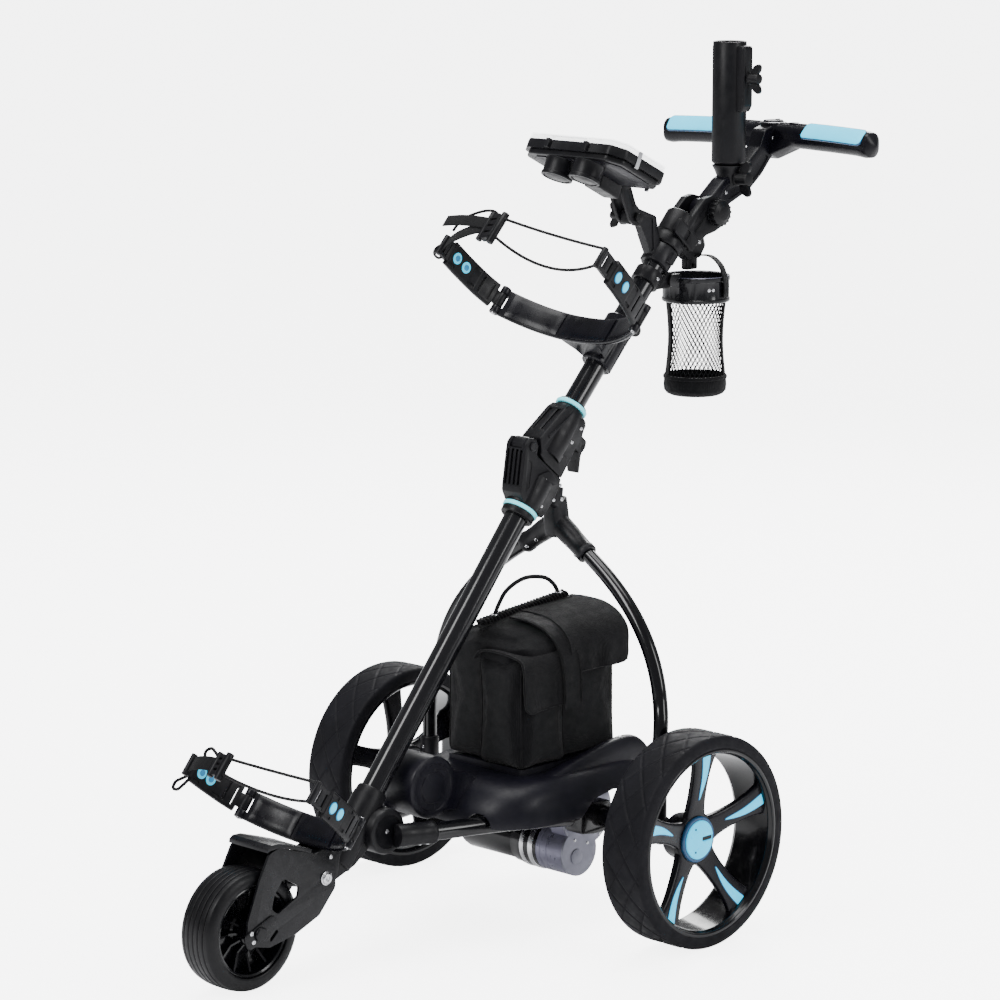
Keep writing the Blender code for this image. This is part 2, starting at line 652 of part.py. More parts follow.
def hinge_upper_casting():
    """Sleeve on the upper tube, front knuckle and rear ears for the latch."""
    casting = [*LOWER.outline([(0.0662, 0.0165), (0.0662, -0.0235)]),
               *UPPER.outline([(-0.0560, -0.0300), (-0.0100, -0.0245), (-0.0050, -0.0180),
                               (-0.0050, 0.0180), (-0.0150, 0.0250), (-0.0600, 0.0330)]),
               *LOWER.outline([(0.0900, 0.0330), (0.0700, 0.0300)])]
    web = LOWER.outline([(0.0660, 0.0420), (0.0665, 0.0250), (0.0950, 0.0250),
                         (0.0800, 0.0540)])
    ear = UPPER.outline([(-0.0220, -0.0200), (-0.0230, -0.0420), (-0.0300, -0.0455),
                         (-0.0370, -0.0455), (-0.0420, -0.0420), (-0.0440, -0.0200)])
    body = cyl(UPPER.at(-0.0780), UPPER.at(-0.0030), 0.0225, 14, 0.001)
    join(body, prism_x(casting, -0.0175, 0.0175, 0.002))
    join(body, join(cyl_x(-KNUCKLE, KNUCKLE, HINGE, 0.0115),
                    prism_x(web, -KNUCKLE, KNUCKLE)))
    cut(body, cyl(UPPER_START - UPPER.along * GAP, UPPER.at(0.02), UPPER_BORE),
        cyl_x(-0.05, 0.05, HINGE, 0.0042, 8))
    # clear everything below the parting plane of the two castings
    cut(body, prism(rect(-0.08, 0.0355, -0.12, 0.0),
                    (LOWER.at(0.0658), LOWER.front, LOWER.along, X), -0.06, 0.06))
    for side, _ in SIDES:
        join(body, prism_x(ear, *span(side, 0.0094, 0.0140)))
    cut(body, cyl_x(-0.05, 0.05, LATCH, 0.0026, 8))
    put(body, 'hinge_upper_casting', 'black_plastic', HINGE)


def fold_latch():
    """Lever behind the castings, with its pin."""
    outline = UPPER.outline([
        (-0.0250, -0.0405), (-0.0270, -0.0470), (-0.0420, -0.0520), (-0.0600, -0.0640),
        (-0.0620, -0.0600), (-0.0500, -0.0460), (-0.0560, -0.0405), (-0.0560, -0.0365),
        (-0.0400, -0.0340), (-0.0270, -0.0345)])
    lever = prism_x(outline, -0.0090, 0.0090, 0.001)
    join(lever, cyl_x(-0.0138, 0.0138, LATCH, 0.0022, 8))
    put(lever, 'fold_latch', 'black_plastic', LATCH)


# ================================================================ bag brackets
SADDLE_H = 0.040              # saddle height along the tube
KNUCKLE_H = 0.0100            # height of each saddle knuckle
KNUCKLE_R = 0.0064


def bag_arm(line, pivot, tip, side):
    """Arm that swings on the pivot, padded towards its tip."""
    def bar(path, width, height, r):
        return sweep(path, rounded_rect(width, height, r, 1), line.along)

    near = pivot + (tip - pivot) * 0.35 + X * (side * 0.0050)
    far = pivot + (tip - pivot) * 0.72 + X * (side * 0.0035)
    root_h = SADDLE_H - 2 * KNUCKLE_H - GAP       # fits between the saddle knuckles
    start = pivot + (near - pivot).normalized() * 0.0120
    arm = bar([start, near, far, tip], 0.010, 0.036, 0.003)
    join(arm, bar([pivot, pivot + (near - pivot) * 0.45], 0.0060, root_h - 0.0012, 0.001))
    join(arm, cyl(pivot - line.along * (root_h / 2), pivot + line.along * (root_h / 2),
                  KNUCKLE_R, 10))
    end = (tip - far).normalized()
    join(arm, bar([tip - end * 0.004, tip + end * 0.006], 0.0070, 0.026, 0.002))
    return cut(arm, cyl(pivot - line.along * 0.03, pivot + line.along * 0.03, 0.0024, 8))


def bag_bracket(line, station, prefix, half, front_mid, front_end, tip_x, tip_front,
                origin, mount):
    """U saddle in front of the tube at the station, with two swinging arms."""
    centre = line.at(station)
    along = line.along
    path = []
    for i in range(9):
        k = -1 + 2 * i / 8
        bow = front_mid + (front_end - front_mid) * abs(k) ** 2.2
        path.append(centre + X * (half * k) + line.front * bow)
    saddle = mount(centre, sweep(path, rounded_rect(0.008, SADDLE_H, 0.0025, 1), along))
    half_h = SADDLE_H / 2
    for side, tag in SIDES:
        pivot = centre + X * (side * (half + 0.0030)) + line.front * (front_end + 0.0050)
        relief = half_h - KNUCKLE_H
        cut(saddle, cyl(pivot - along * relief, pivot + along * relief, 0.0086, 10))
        for k in (1, -1):
            join(saddle, cyl(pivot + along * (k * (relief + 0.0003)),
                             pivot + along * (k * (half_h + 0.0006)), KNUCKLE_R, 10))
        join(saddle, cyl(pivot - along * (half_h - 0.002), pivot + along * (half_h - 0.002),
                         0.0020, 8))
        tip = centre + X * (side * tip_x) + line.front * tip_front
        put(bag_arm(line, pivot, tip, side), prefix + '_bag_arm_' + tag, 'black_plastic',
            pivot)
    put(saddle, prefix + '_bag_saddle', 'black_plastic', origin)


def clamp_mount(centre, saddle):
    """Neck and clamp sleeve round the upper tube, with a lug beside it."""
    frame = UPPER.frame(UPPER_SADDLE_S)
    along = UPPER.along
    neck = [(-0.034, 0.0490), (0.034, 0.0490), (0.0215, 0.0100), (-0.0215, 0.0100)]
    join(saddle, prism(neck, frame, -0.018, 0.014),
         cyl(centre - along * 0.0240, centre + along * 0.0510, UPPER_R + 0.0065, 14),
         prism(rect(0.0150, 0.0240, -0.0080, 0.0080), frame, 0.0290, 0.0490))
    return cut(saddle, cyl(centre - along * 0.05, centre + along * 0.06, UPPER_BORE))


def foot_mount(_, saddle):
    """Neck with a flat foot on the front of the junction."""
    neck = [(-0.030, 0.0550), (0.030, 0.0550), (0.0180, 0.0234), (-0.0180, 0.0234)]
    return join(saddle, prism(neck, LOWER.frame(LOWER_SADDLE_S), -0.014, 0.014))


def bag_brackets():
    bag_bracket(UPPER, UPPER_SADDLE_S, 'upper', half=0.1240, front_mid=0.046,
                front_end=0.088, tip_x=0.146, tip_front=0.195, origin=HINGE,
                mount=clamp_mount)
    bag_bracket(LOWER, LOWER_SADDLE_S, 'lower', half=0.0980, front_mid=0.052,
                front_end=0.086, tip_x=0.122, tip_front=0.176, origin=None,
                mount=foot_mount)
    base = UPPER.at(UPPER_SADDLE_S) + UPPER.along * 0.0390 + X * 0.0246
    put(cyl(base, base + X * 0.0110, 0.0085, 8, 0.0015), 'bag_clamp_knob', 'black_plastic',
        base)


# ================================================================ handle head
HEAD_START = UPPER.at(0.2680)
NECK_HALF = 0.0119            # half width of the handle neck


def head_clamp():
    """Clamp on the top of the upper tube, with two tilt cheeks and a rear lug."""
    cheek = [(0.2640, 0.8980), (0.2960, 0.9260), (0.3120, 0.9290), (0.3300, 0.9240),
             (0.3410, 0.9060), (0.3370, 0.8880), (0.3180, 0.8800), (0.3000, 0.8760),
             (0.2720, 0.8600), (0.2480, 0.8700)]
    lug = [(0.2700, 0.8720), (0.3080, 0.8800), (0.3140, 0.8600), (0.3040, 0.8450),
           (0.2820, 0.8420), (0.2640, 0.8560)]
    head = cyl(HEAD_START, UPPER.at(0.3220), 0.0225, 14, 0.002)
    for side, _ in SIDES:
        join(head, prism_x(cheek, *span(side, 0.0125, 0.0225), 0.002))
    join(head, prism_x(lug, -0.0085, 0.0085, 0.002))
    cut(head, cyl(HEAD_START - UPPER.along * 0.02, UPPER_END + UPPER.along * GAP, UPPER_BORE),
        cyl_x(-0.05, 0.05, HANDLE_TILT, TILT_HOLE_R, 8),
        cyl_x(-0.0122, 0.0122, HANDLE_TILT, 0.0250, 14))
    put(head, 'head_clamp', 'black_plastic', HINGE)


def console_bracket():
    """Collar on the upper tube with a plate forward to the console tilt axis."""
    plate = [*UPPER.outline([(0.2400, 0.0170)]), (0.1860, 0.8970), (0.1600, 0.9010),
             (0.1590, 0.9190), (0.1820, 0.9200), (0.2150, 0.9080),
             *UPPER.outline([(0.2640, 0.0170)])]
    post = ring(UPPER.at(0.2380), UPPER.at(0.2670), 0.0205, UPPER_BORE, 14, 0.001)
    join(post, prism_x(plate, -0.0075, 0.0075, 0.0015))
    cut(post, cyl(HEAD_START - UPPER.along * 0.04, UPPER_END, UPPER_BORE),
        cyl_x(-0.05, 0.05, CONSOLE_TILT, CONSOLE_HOLE_R, 8))
    put(post, 'console_bracket', 'black_plastic', HINGE)


def wing_knobs():
    wing_knob('tilt_knob', sided(1, 0.0245, *HANDLE_TILT.yz), X, 0.040, 0.0085, 0.014,
              [(0.0038, 0), (0.0038, -0.0475), (0.0080, -0.0475), (0.0080, -0.0530),
               (0, -0.0530)])
    wing_knob('console_tilt_knob', sided(-1, 0.0180, *CONSOLE_TILT.yz), -X, 0.034, 0.0060,
              0.014, [(0.0031, 0), (0.0031, -0.0322), (0.0062, -0.0322), (0.0062, -0.0370),
                      (0, -0.0370)])
    wing_knob('umbrella_screw', Vector((0.0290, UMBRELLA_SEAT.y, UMBRELLA_SCREW_Z)), X,
              0.032, 0.0058, 0.013, [(0.0029, 0), (0.0029, -0.0110), (0, -0.0110)])
    wing_knob('umbrella_foot_knob', Vector((0.0144, UMBRELLA_SEAT.y, 0.9480)), X, 0.038,
              0.0080, 0.016)


def bar_path(x0, x1, steps):
    """Centre line of the cross bar: its ends sweep forward and slightly down."""
    path = []
    for i in range(steps + 1):
        x = x0 + (x1 - x0) * i / steps
        k = (x / BAR_HALF) ** 2
        path.append(Vector((x, BAR_Y - 0.0020 - 0.010 * k, BAR_Z - 0.0070 - 0.004 * k)))
    return path


def t_handle():
    """Tilt knuckle, arm, umbrella seat, cross bar and web, with recesses for controls."""
    arm = [(0.3180, 0.9240), (0.3480, 0.9480), (0.3900, 0.9640), (0.4200, 0.9880),
           (0.4300, 1.0100), (0.4580, 1.0180), (0.4700, 1.0080), (0.4680, 0.9920),
           (0.4500, 0.9760), (0.4260, 0.9500), (0.4000, 0.9300), (0.3600, 0.9140),
           (0.3340, 0.8980), (0.3220, 0.8900)]
    web = [(-0.062, -0.004), (-0.044, -0.026), (-NECK_HALF, -0.040), (NECK_HALF, -0.040),
           (0.044, -0.026), (0.062, -0.004), (0.062, 0.006), (-0.062, 0.006)]
    web_frame = (mid(BAR_Y, BAR_Z), X, mid(0.45, 1).normalized(), mid(1, -0.45).normalized())
    body = cyl_x(-NECK_HALF, NECK_HALF, HANDLE_TILT, 0.0180, 14, 0.001)
    join(body, prism_x(arm, -NECK_HALF, NECK_HALF, 0.003))
    join(body, cyl(UMBRELLA_SEAT - Z * 0.012, UMBRELLA_SEAT + Z * 0.0065, 0.0140, 12, 0.001))
    join(body, sweep(bar_path(-BAR_HALF, BAR_HALF, 10),
                     rounded_rect(0.030, 0.034, 0.012, 3), Z),
         prism(web, web_frame, -0.0110, 0.0110, 0.003))
    for side, _ in SIDES:
        x0, x1 = span(side, 0.0660, 0.1760)
        cut(body, sweep(bar_path(x0 - GAP, x1 + GAP, 6),
                        rect(-0.0134, 0.0134, 0.0142, 0.0300), PAD_NORMAL))
    cut(body, cyl_x(-0.05, 0.05, HANDLE_TILT, TILT_HOLE_R, 8),
        cyl(UMBRELLA_SEAT + Z * 0.0066, UMBRELLA_SEAT + Z * 0.0400, 0.0146),
        cyl(mid(BAR_Y - 0.002, BAR_Z + 0.0028), mid(BAR_Y - 0.002, BAR_Z + 0.04), 0.0150, 14),
        box(0.0300, 0.0440, BAR_Y - 0.0080, BAR_Y + 0.0040, BAR_Z + 0.0028, BAR_Z + 0.05))
    put(body, 't_handle', 'black_plastic', HANDLE_TILT)


def handle_controls():
    """Grip pads, speed dial and power button."""
    pad = [(-0.0130, 0.0146), (0.0130, 0.0146), (0.0130, 0.0168), (0.0118, 0.0180),
           (-0.0118, 0.0180), (-0.0130, 0.0168)]
    for side, tag in SIDES:
        path = bar_path(*span(side, 0.0660, 0.1760), 6)
        put(sweep(path, pad, PAD_NORMAL), 'grip_pad_' + tag, 'blue', HANDLE_TILT)
    dial = lathe([(0, 0.0031), (0.0145, 0.0031), (0.0145, 0.0105), (0.0130, 0.0130),
                  (0, 0.0130)], DIAL, Z, 14)
    join(dial, box(-0.0012, 0.0012, BAR_Y + 0.004, BAR_Y + 0.0115,
                   BAR_Z + 0.010, BAR_Z + 0.0142))
    put(dial, 'speed_dial', 'grey_plastic', DIAL)
    button = box(0.0304, 0.0436, BAR_Y - 0.0076, BAR_Y + 0.0036,
                 BAR_Z + 0.0052, BAR_Z + 0.0112, 0.001)
    put(button, 'power_button', 'black_plastic',
        Vector((0.037, BAR_Y - 0.002, BAR_Z + 0.0052)))


def umbrella_holder():
    """Socket tube on a foot, with a rib on the +X side for the screw."""
    y = UMBRELLA_SEAT.y
    profile = [(0, 0.9570), (0.0125, 0.9570), (0.0135, 0.9580), (0.0135, 0.9660),
               (0.0190, 0.9660), (0.0200, 0.9670), (0.0200, 1.1332), (0.0192, 1.1340),
               (0.0165, 1.1340), (0.0165, 0.9725), (0, 0.9725)]
    holder = lathe(profile, mid(y, 0), Z, 16)
    join(holder, box(0.0178, 0.0285, y - 0.0070, y + 0.0070, 1.0500, 1.1250, 0.002))
    cut(holder, cyl_x(0.0100, 0.0400, mid(y, UMBRELLA_SCREW_Z), 0.0032, 8))
    put(holder, 'umbrella_holder', 'black_plastic', mid(y, 0.9620))


# ================================================================ console
def console_tray():
    """Shallow tray with a block and two rings below, tilt arms and lid hinge lugs."""
    arm = [(0.1790, 0.9050), (0.1780, 0.9180), (0.1680, 0.9280), (0.1560, 0.9580),
           (0.1380, 0.9560), (0.1480, 0.9280), (0.1580, 0.9060), (0.1660, 0.8985),
           (0.1740, 0.8985)]
    tray = prism(octagon(0.072, 0.090, -0.056, -0.040, 0.040, 0.056), TRAY_FRAME,
                 -0.016, 0.004, 0.003)
    cut(tray, prism(octagon(0.068, 0.084, -0.050, -0.036, 0.036, 0.050), TRAY_FRAME,
                    -0.012, 0.010))
    join(tray, prism(rect(-0.014, 0.014, 0.008, 0.052), TRAY_FRAME, -0.034, -0.013, 0.001))
    join(tray, *[prism_x(arm, *span(side, 0.0080, 0.0135), 0.0008) for side, _ in SIDES])
    for x in (-0.028, 0.022):
        centre = TRAY_CENTRE + X * x + TRAY_REAR * -0.030
        join(tray, ring(centre - TRAY_UP * 0.040, centre - TRAY_UP * 0.0125,
                        0.0215, 0.0180, 12, 0.0008))
    cut(tray, cyl_x(-0.05, 0.05, CONSOLE_TILT, CONSOLE_HOLE_R, 8))
    put(tray, 'console_tray', 'black_plastic', CONSOLE_TILT)
    # the lugs are joined to the finished tray, laid back in world coordinates;
    # the second finish gives it a new material, numbered after the first
    tray.data.transform(Matrix.Translation(tray.location))
    tray.location = (0, 0, 0)
    bpy.context.view_layer.update()
    for side, _ in SIDES:
        lug = rect(*span(side, 0.0306, 0.0370), -0.0620, -0.0510)
        join(tray, prism(lug, TRAY_FRAME, -0.008, 0.0040))
    put(tray, 'console_tray', 'black_plastic', CONSOLE_TILT)


def console_lid():
    """Clear lid, hinged along the front edge of the tray."""
    hinge = TRAY_CENTRE + TRAY_REAR * -0.0580 + TRAY_UP * 0.0070
    lid = prism(octagon(0.072, 0.089, -0.0530, -0.038, 0.039, 0.055), TRAY_FRAME,
                0.0045, 0.0100, 0.0015)
    cut(lid, prism(octagon(0.070, 0.086, -0.0500, -0.036, 0.037, 0.052), TRAY_FRAME,
                   0.0040, 0.0085))
    join(lid, cyl(hinge - X * 0.030, hinge + X * 0.030, 0.0024, 8),
         prism(rect(-0.028, 0.028, -0.0580, -0.0520), TRAY_FRAME, 0.0058, 0.0085))
    put(lid, 'console_lid', 'clear', hinge)


# ================================================================ cup holder
def cup_holder():
    """Bracket on the upper tube, ring that swings on it, and basket."""
    link = [*UPPER.outline([(0.2100, -0.0165), (0.2260, -0.0165)]), (0.2420, 0.8300),
            (0.2560, 0.8260), (0.2560, 0.8100), (0.2400, 0.8080)]
    bracket = ring(UPPER.at(0.2080), UPPER.at(0.2280), 0.0195, UPPER_BORE, 14, 0.001)
    join(bracket, prism_x(link, -0.0055, 0.0055, 0.001))
    cut(bracket, cyl(UPPER.at(0.19), UPPER.at(0.25), UPPER_BORE),
        cyl_x(-0.05, 0.05, CUP_SWING, 0.0022, 8))
    put(bracket, 'cup_holder_bracket', 'black_plastic', HINGE)

    ear = [(0.2640, 0.8260), (0.2440, 0.8260), (0.2400, 0.8180), (0.2440, 0.8100),
           (0.2640, 0.8060)]
    hoop = ring(mid(CUP_Y, 0.7850), mid(CUP_Y, 0.8200), 0.0465, 0.0425, 18, 0.001)
    for side, _ in SIDES:
        join(hoop, prism_x(ear, *span(side, 0.0060, 0.0095), 0.0006))
    join(hoop, box(-0.0095, 0.0095, 0.2575, 0.2620, 0.8080, 0.8260))
    join(hoop, cyl_x(-0.0094, 0.0094, CUP_SWING, 0.0020, 8))
    put(hoop, 'cup_ring', 'black_plastic', CUP_SWING)

    basket = [(0, 0.6560), (0.0360, 0.6560), (0.0430, 0.6620), (0.0430, 0.6790),
              (0.0400, 0.6835), (0.0400, 0.7860), (0.0421, 0.7880), (0.0421, 0.7980),
              (0.0375, 0.7980), (0.0375, 0.6640), (0, 0.6640)]
    put(lathe(basket, mid(CUP_Y, 0), Z, 18), 'cup_basket', 'fabric', CUP_SWING)


# ================================================================ battery and drive
HOUSING_Z0 = 0.1600
HOUSING_H = 0.0440
HOUSING_LEVELS = 4
HOUSING_POINTS = 32           # points round each level
HOUSING_POWER = 2 / 3.6       # superellipse: rounded rectangular plan


def housing_block(inset, z0, z1):
    """Superellipse block that narrows upwards, shrunk by inset."""
    loops = []
    for i in range(HOUSING_LEVELS + 1):
        z = z0 + (z1 - z0) * i / HOUSING_LEVELS
        t = max(0.0, (z - HOUSING_Z0) / HOUSING_H)
        half_x = 0.1290 - 0.0260 * t ** 1.6 - inset
        y0 = -0.1900 + 0.0500 * t ** 2.0 + inset
        y1 = 0.1220 - 0.0120 * t ** 2 - inset
        loop = []
        for j in range(HOUSING_POINTS):
            angle = 2 * pi * j / HOUSING_POINTS
            cx = math.copysign(abs(cos(angle)) ** HOUSING_POWER, cos(angle))
            cy = math.copysign(abs(sin(angle)) ** HOUSING_POWER, sin(angle))
            loop.append((half_x * cx, (y0 + y1) / 2 + (y1 - y0) / 2 * cy, z))
        loops.append(loop)
    return loft(loops)


def drive_housing():
    """Shell over the axle, open underneath, with the battery deck on top."""
    shoulder = [(-0.0900, 0.2020), (-0.0500, 0.2120), (0.0100, 0.2270), (0.0700, 0.2330),
                (0.1010, 0.2200), (0.1040, 0.2020)]
    nose = [(-0.2260, 0.1720), (-0.1600, 0.1650), (-0.1450, 0.1990), (-0.1700, 0.2150),
            (-0.2260, 0.2300)]
    arch = [(-0.0700, 0.1000), (-0.0600, 0.1450), (-0.0300, 0.1700), (0.0100, 0.1760),
            (0.0500, 0.1700), (0.0800, 0.1000)]
    shell = housing_block(0.0, HOUSING_Z0, HOUSING_Z0 + HOUSING_H)
    cut(shell, housing_block(0.0035, 0.1500, 0.2005))
    for side, _ in SIDES:
        join(shell, prism_x(shoulder, *span(side, 0.0780, 0.0980), 0.004))
    join(shell, prism(rect(-0.0700, 0.0700, -0.1060, 0.0740), PLAN_VIEW, 0.2022, DECK_Z))
    join(shell, cyl_x(-0.0360, 0.0400, mid(-0.2220, 0.2020), 0.0360, 16, 0.003),
         prism_x(nose, -0.0340, 0.0380))
    # room for the axle brackets, side tubes and gearbox
    for side, _ in SIDES:
        front, rear, along = side_tube_line(side)
        cut(shell, prism_x(arch, *span(side, 0.0870, 0.1400)))
        cut(shell, cyl(front - along * 0.06, rear + along * 0.02, SIDE_R + 0.006, 8))
    cut(shell, cyl_x(0.0540, 0.0900, AXLE, 0.0500, 16))
    put(shell, 'drive_housing', 'grey_plastic')


def motor():
    can = [(0.0048, -0.1120), (0.0245, -0.1120), (0.0275, -0.1090), (0.0275, -0.1040),
           (0.0290, -0.1025), (0.0290, -0.0120), (0.0265, -0.0120), (0.0265, -0.1060),
           (0.0048, -0.1060)]
    put(lathe(can, MOTOR, X, 16), 'motor_can', 'black_tube')
    rotor = cyl_x(-0.0950, -0.0200, MOTOR, 0.0225)
    join(rotor, cyl_x(-0.1045, 0.0620, MOTOR, 0.0042, 8),
         gear(PINION_TEETH, 0.0620, 0.0790, MOTOR_Y, MOTOR_Z,
              MESH_ANGLE + pi + pi / PINION_TEETH))
    put(rotor, 'motor_rotor', 'steel', MOTOR)


def gearbox():
    """Housing round the motor end and both gears, and its outer cover."""
    profile = [(0, -0.0116), (0.0305, -0.0116), (0.0305, -0.0060), (0.0290, -0.0055),
               (0.0290, -0.0035), (0.0305, -0.0030), (0.0305, 0.0010), (0.0330, 0.0020),
               (0.0330, 0.0840), (0, 0.0840)]
    body = lathe(profile, MOTOR, X, 16)
    join(body, cyl_x(0.0580, 0.0839, AXLE, 0.0460, 18))
    cut(body, cyl_x(0.0030, 0.0553, MOTOR, 0.0300, 14),
        cyl_x(0.0540, 0.0845, MOTOR, 0.0185, 14),
        cyl_x(0.0615, 0.0845, AXLE, 0.0432, 18),
        cyl_x(-0.02, 0.01, MOTOR, 0.0048, 8),
        cyl_x(0.0500, 0.0700, AXLE, AXLE_BORE))
    put(body, 'gearbox_housing', 'motor_grey')
    cover = cyl_x(0.0844, 0.0872, MOTOR, 0.0330, 16)
    join(cover, cyl_x(0.0845, 0.0871, AXLE, 0.0460, 18))
    front, rear, _ = side_tube_line(1)
    cut(cover, cyl_x(0.05, 0.12, AXLE, SHAFT_R + 0.0006, 10),
        cyl(front, rear, SIDE_R + 0.0008, 8))
    put(cover, 'gearbox_cover', 'motor_grey')


def battery():
    pack = box(-BAG_HALF + 0.010, BAG_HALF - 0.010, BAG_Y0 + 0.010, BAG_Y1 - 0.012,
               BAG_Z0 + 0.005, BAG_Z1 - 0.024, 0.003)
    put(pack, 'battery_pack', 'grey_plastic')
    # hollow bag with a hole low in its rear wall and a pocket on the front
    bag = box(-BAG_HALF, BAG_HALF, BAG_Y0, BAG_Y1, BAG_Z0, BAG_Z1, 0.010, 2)
    hole_z = BAG_Z0 + 0.020
    cut(bag, box(-BAG_HALF + 0.0080, BAG_HALF - 0.0080, BAG_Y0 + 0.0080, BAG_Y1 - 0.010,
                 BAG_Z0 + 0.0040, BAG_Z1 - 0.0220),
        cyl(mid(BAG_Y1 - 0.03, hole_z), mid(BAG_Y1 + 0.01, hole_z), 0.0085, 8))
    join(bag, box(-0.040, 0.036, BAG_Y0 - 0.0220, BAG_Y0 + 0.004,
                  BAG_Z0 + 0.022, BAG_Z1 - 0.040, 0.006, 2))
    put(bag, 'battery_bag', 'fabric')


# ================================================================ assembly
OUTLINE_MID_Y = -0.06875      # middle of the whole outline, from the rear axle


def recentre():
    """Move everything so that the origin is under the middle of the outline."""
    for obj in bpy.data.objects:
        if obj.location.length > 1e-9:
            obj.location.y -= OUTLINE_MID_Y
        else:
            obj.data.transform(Matrix.Translation((0, -OUTLINE_MID_Y, 0)))


for old in list(bpy.data.objects):
    bpy.data.objects.remove(old, do_unlink=True)

for build_side in (rear_wheel, side_tube, stay):
    for side_sign, side_tag in SIDES:
        build_side(side_sign, side_tag)
for build in (front_wheel, front_junction, front_fork, cross_pins, straight_tubes,
              hinge_lower_casting, collar_rings, y_bracket, hinge_upper_casting,
              fold_latch, bag_brackets, head_clamp, console_bracket, wing_knobs, t_handle,
              handle_controls, umbrella_holder, console_tray, console_lid, cup_holder,
              drive_housing, motor, gearbox, battery):
    build()
recentre()
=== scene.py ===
"""Three-wheel electric golf trolley with battery bag, console, cup and umbrella holders.

Metres, +Z up. The front wheel is towards -Y and the handle towards +Y. Pieces on the +X side
are named right, those on the -X side left. Dimensions start on the ground under the rear
axle; put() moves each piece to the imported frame's origin, under the middle of the outline.
"""
import bpy
import bmesh
import json
import math
from math import sin, cos, pi, radians
from mathutils import Vector, Matrix, noise
from mathutils.bvhtree import BVHTree


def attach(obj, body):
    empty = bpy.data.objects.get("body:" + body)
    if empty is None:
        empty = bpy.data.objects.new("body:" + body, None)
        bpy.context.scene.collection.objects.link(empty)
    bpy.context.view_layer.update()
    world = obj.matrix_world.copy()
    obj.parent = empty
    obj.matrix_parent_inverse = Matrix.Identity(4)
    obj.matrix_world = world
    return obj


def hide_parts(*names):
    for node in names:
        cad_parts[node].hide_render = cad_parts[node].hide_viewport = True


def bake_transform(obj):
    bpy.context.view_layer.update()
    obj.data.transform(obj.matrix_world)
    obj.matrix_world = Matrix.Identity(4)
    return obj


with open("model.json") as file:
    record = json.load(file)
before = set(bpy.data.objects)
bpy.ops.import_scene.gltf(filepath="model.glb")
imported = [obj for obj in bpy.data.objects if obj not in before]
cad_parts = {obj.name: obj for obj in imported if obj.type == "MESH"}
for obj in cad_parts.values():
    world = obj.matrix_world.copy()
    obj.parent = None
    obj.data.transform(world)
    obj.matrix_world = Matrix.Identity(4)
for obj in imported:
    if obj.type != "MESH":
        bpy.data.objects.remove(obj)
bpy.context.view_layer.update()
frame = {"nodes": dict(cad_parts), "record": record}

RECORD = frame["record"]
NODE_BODY = {node: body for body, nodes in RECORD["behaviour"]["bodies"].items()
             for node in nodes}
NODE_SLOT = {part["node"]: part.get("material_slot") for part in RECORD["subparts"]}

# ---------------------------------------------------------------- driving dimensions
X, Y, Z = Vector((1, 0, 0)), Vector((0, 1, 0)), Vector((0, 0, 1))
ORIGIN = Vector()
OUTLINE_SHIFT = Vector((0, 0.06875, 0))   # rear axle to the middle of the outline
SIDES = ((1, 'right'), (-1, 'left'))
GAP = 0.0004                              # clearance between fitted pieces


def quarter_turn(vector):
    """A vector of the YZ plane turned 90 degrees about +X."""
    return Vector((0, -vector.z, vector.y))


REAR_R, REAR_W, TRACK = 0.14, 0.068, 0.275
AXLE_Z = REAR_R
AXLE = Vector((0, 0, AXLE_Z))
FRONT_R, FRONT_W, WHEELBASE = 0.0775, 0.056, 0.537
FRONT_AXLE = Vector((0, -WHEELBASE, FRONT_R))
SPOKES, SPOKE_PHASE, DISH = 5, radians(18.0), 0.017
SHAFT_R, LOW_TUBE_R, TOP_TUBE_R, WALL = 0.008, 0.016, 0.015, 0.002
STAY_R, SIDE_R = 0.0098, 0.0116
AXLE_OUTER_R, AXLE_INNER_R = 0.013, 0.0095
MOTOR_Y = -0.015
GEAR_CENTRES = 0.054                      # motor axis to rear axle
MOTOR = Vector((0, MOTOR_Y, AXLE_Z - math.sqrt(GEAR_CENTRES ** 2 - MOTOR_Y ** 2)))

# each main tube: an origin by the hinge, its axis upwards, and its forward-up normal
LOW_ORIGIN = Vector((0, -0.0389, 0.5396))
LOW_AXIS = Vector((0, 0.634, 0.773)).normalized()
LOW_FRONT = quarter_turn(LOW_AXIS)
TOP_ORIGIN = Vector((0, 0.0576, 0.6642))
TOP_AXIS = Vector((0, 0.677, 0.736)).normalized()
TOP_FRONT = quarter_turn(TOP_AXIS)


def low_point(along, out=0):
    return LOW_ORIGIN + LOW_AXIS * along + LOW_FRONT * out


def top_point(along, out=0):
    return TOP_ORIGIN + TOP_AXIS * along + TOP_FRONT * out


def on_low(pairs):
    """(y, z) of (along, forward) pairs measured on the lower tube."""
    return [tuple(low_point(*pair))[1:] for pair in pairs]


def on_top(pairs):
    return [tuple(top_point(*pair))[1:] for pair in pairs]


HINGE = LOW_ORIGIN + LOW_AXIS * 0.07 + LOW_FRONT * 0.05
LATCH = top_point(-0.033, -0.0405)
JUNCTION = Vector((0, -0.312, 0.163))
FORK_BOLT = Vector((0, -0.4245, 0.1258))
LOW_TUBE_START, LOW_TUBE_END = low_point(-0.492), low_point(0.034)
TOP_TUBE_START, TOP_TUBE_END = top_point(-0.03), top_point(0.3)
HEAD_START, HEAD_END = top_point(0.268), top_point(0.322)
SIDE_FRONT = {s: Vector((s * 0.046, -0.276, 0.156)) for s in (1, -1)}
SIDE_REAR = {s: Vector((s * 0.102, -0.018, 0.1405)) for s in (1, -1)}
SIDE_DIR = {s: (SIDE_REAR[s] - SIDE_FRONT[s]).normalized() for s in (1, -1)}
STAY_HEAD = {s: Vector((s * 0.042, 0.0312, 0.488)) for s in (1, -1)}
STAY_SHOULDER = {s: Vector((s * 0.0805, 0.0292, 0.464)) for s in (1, -1)}
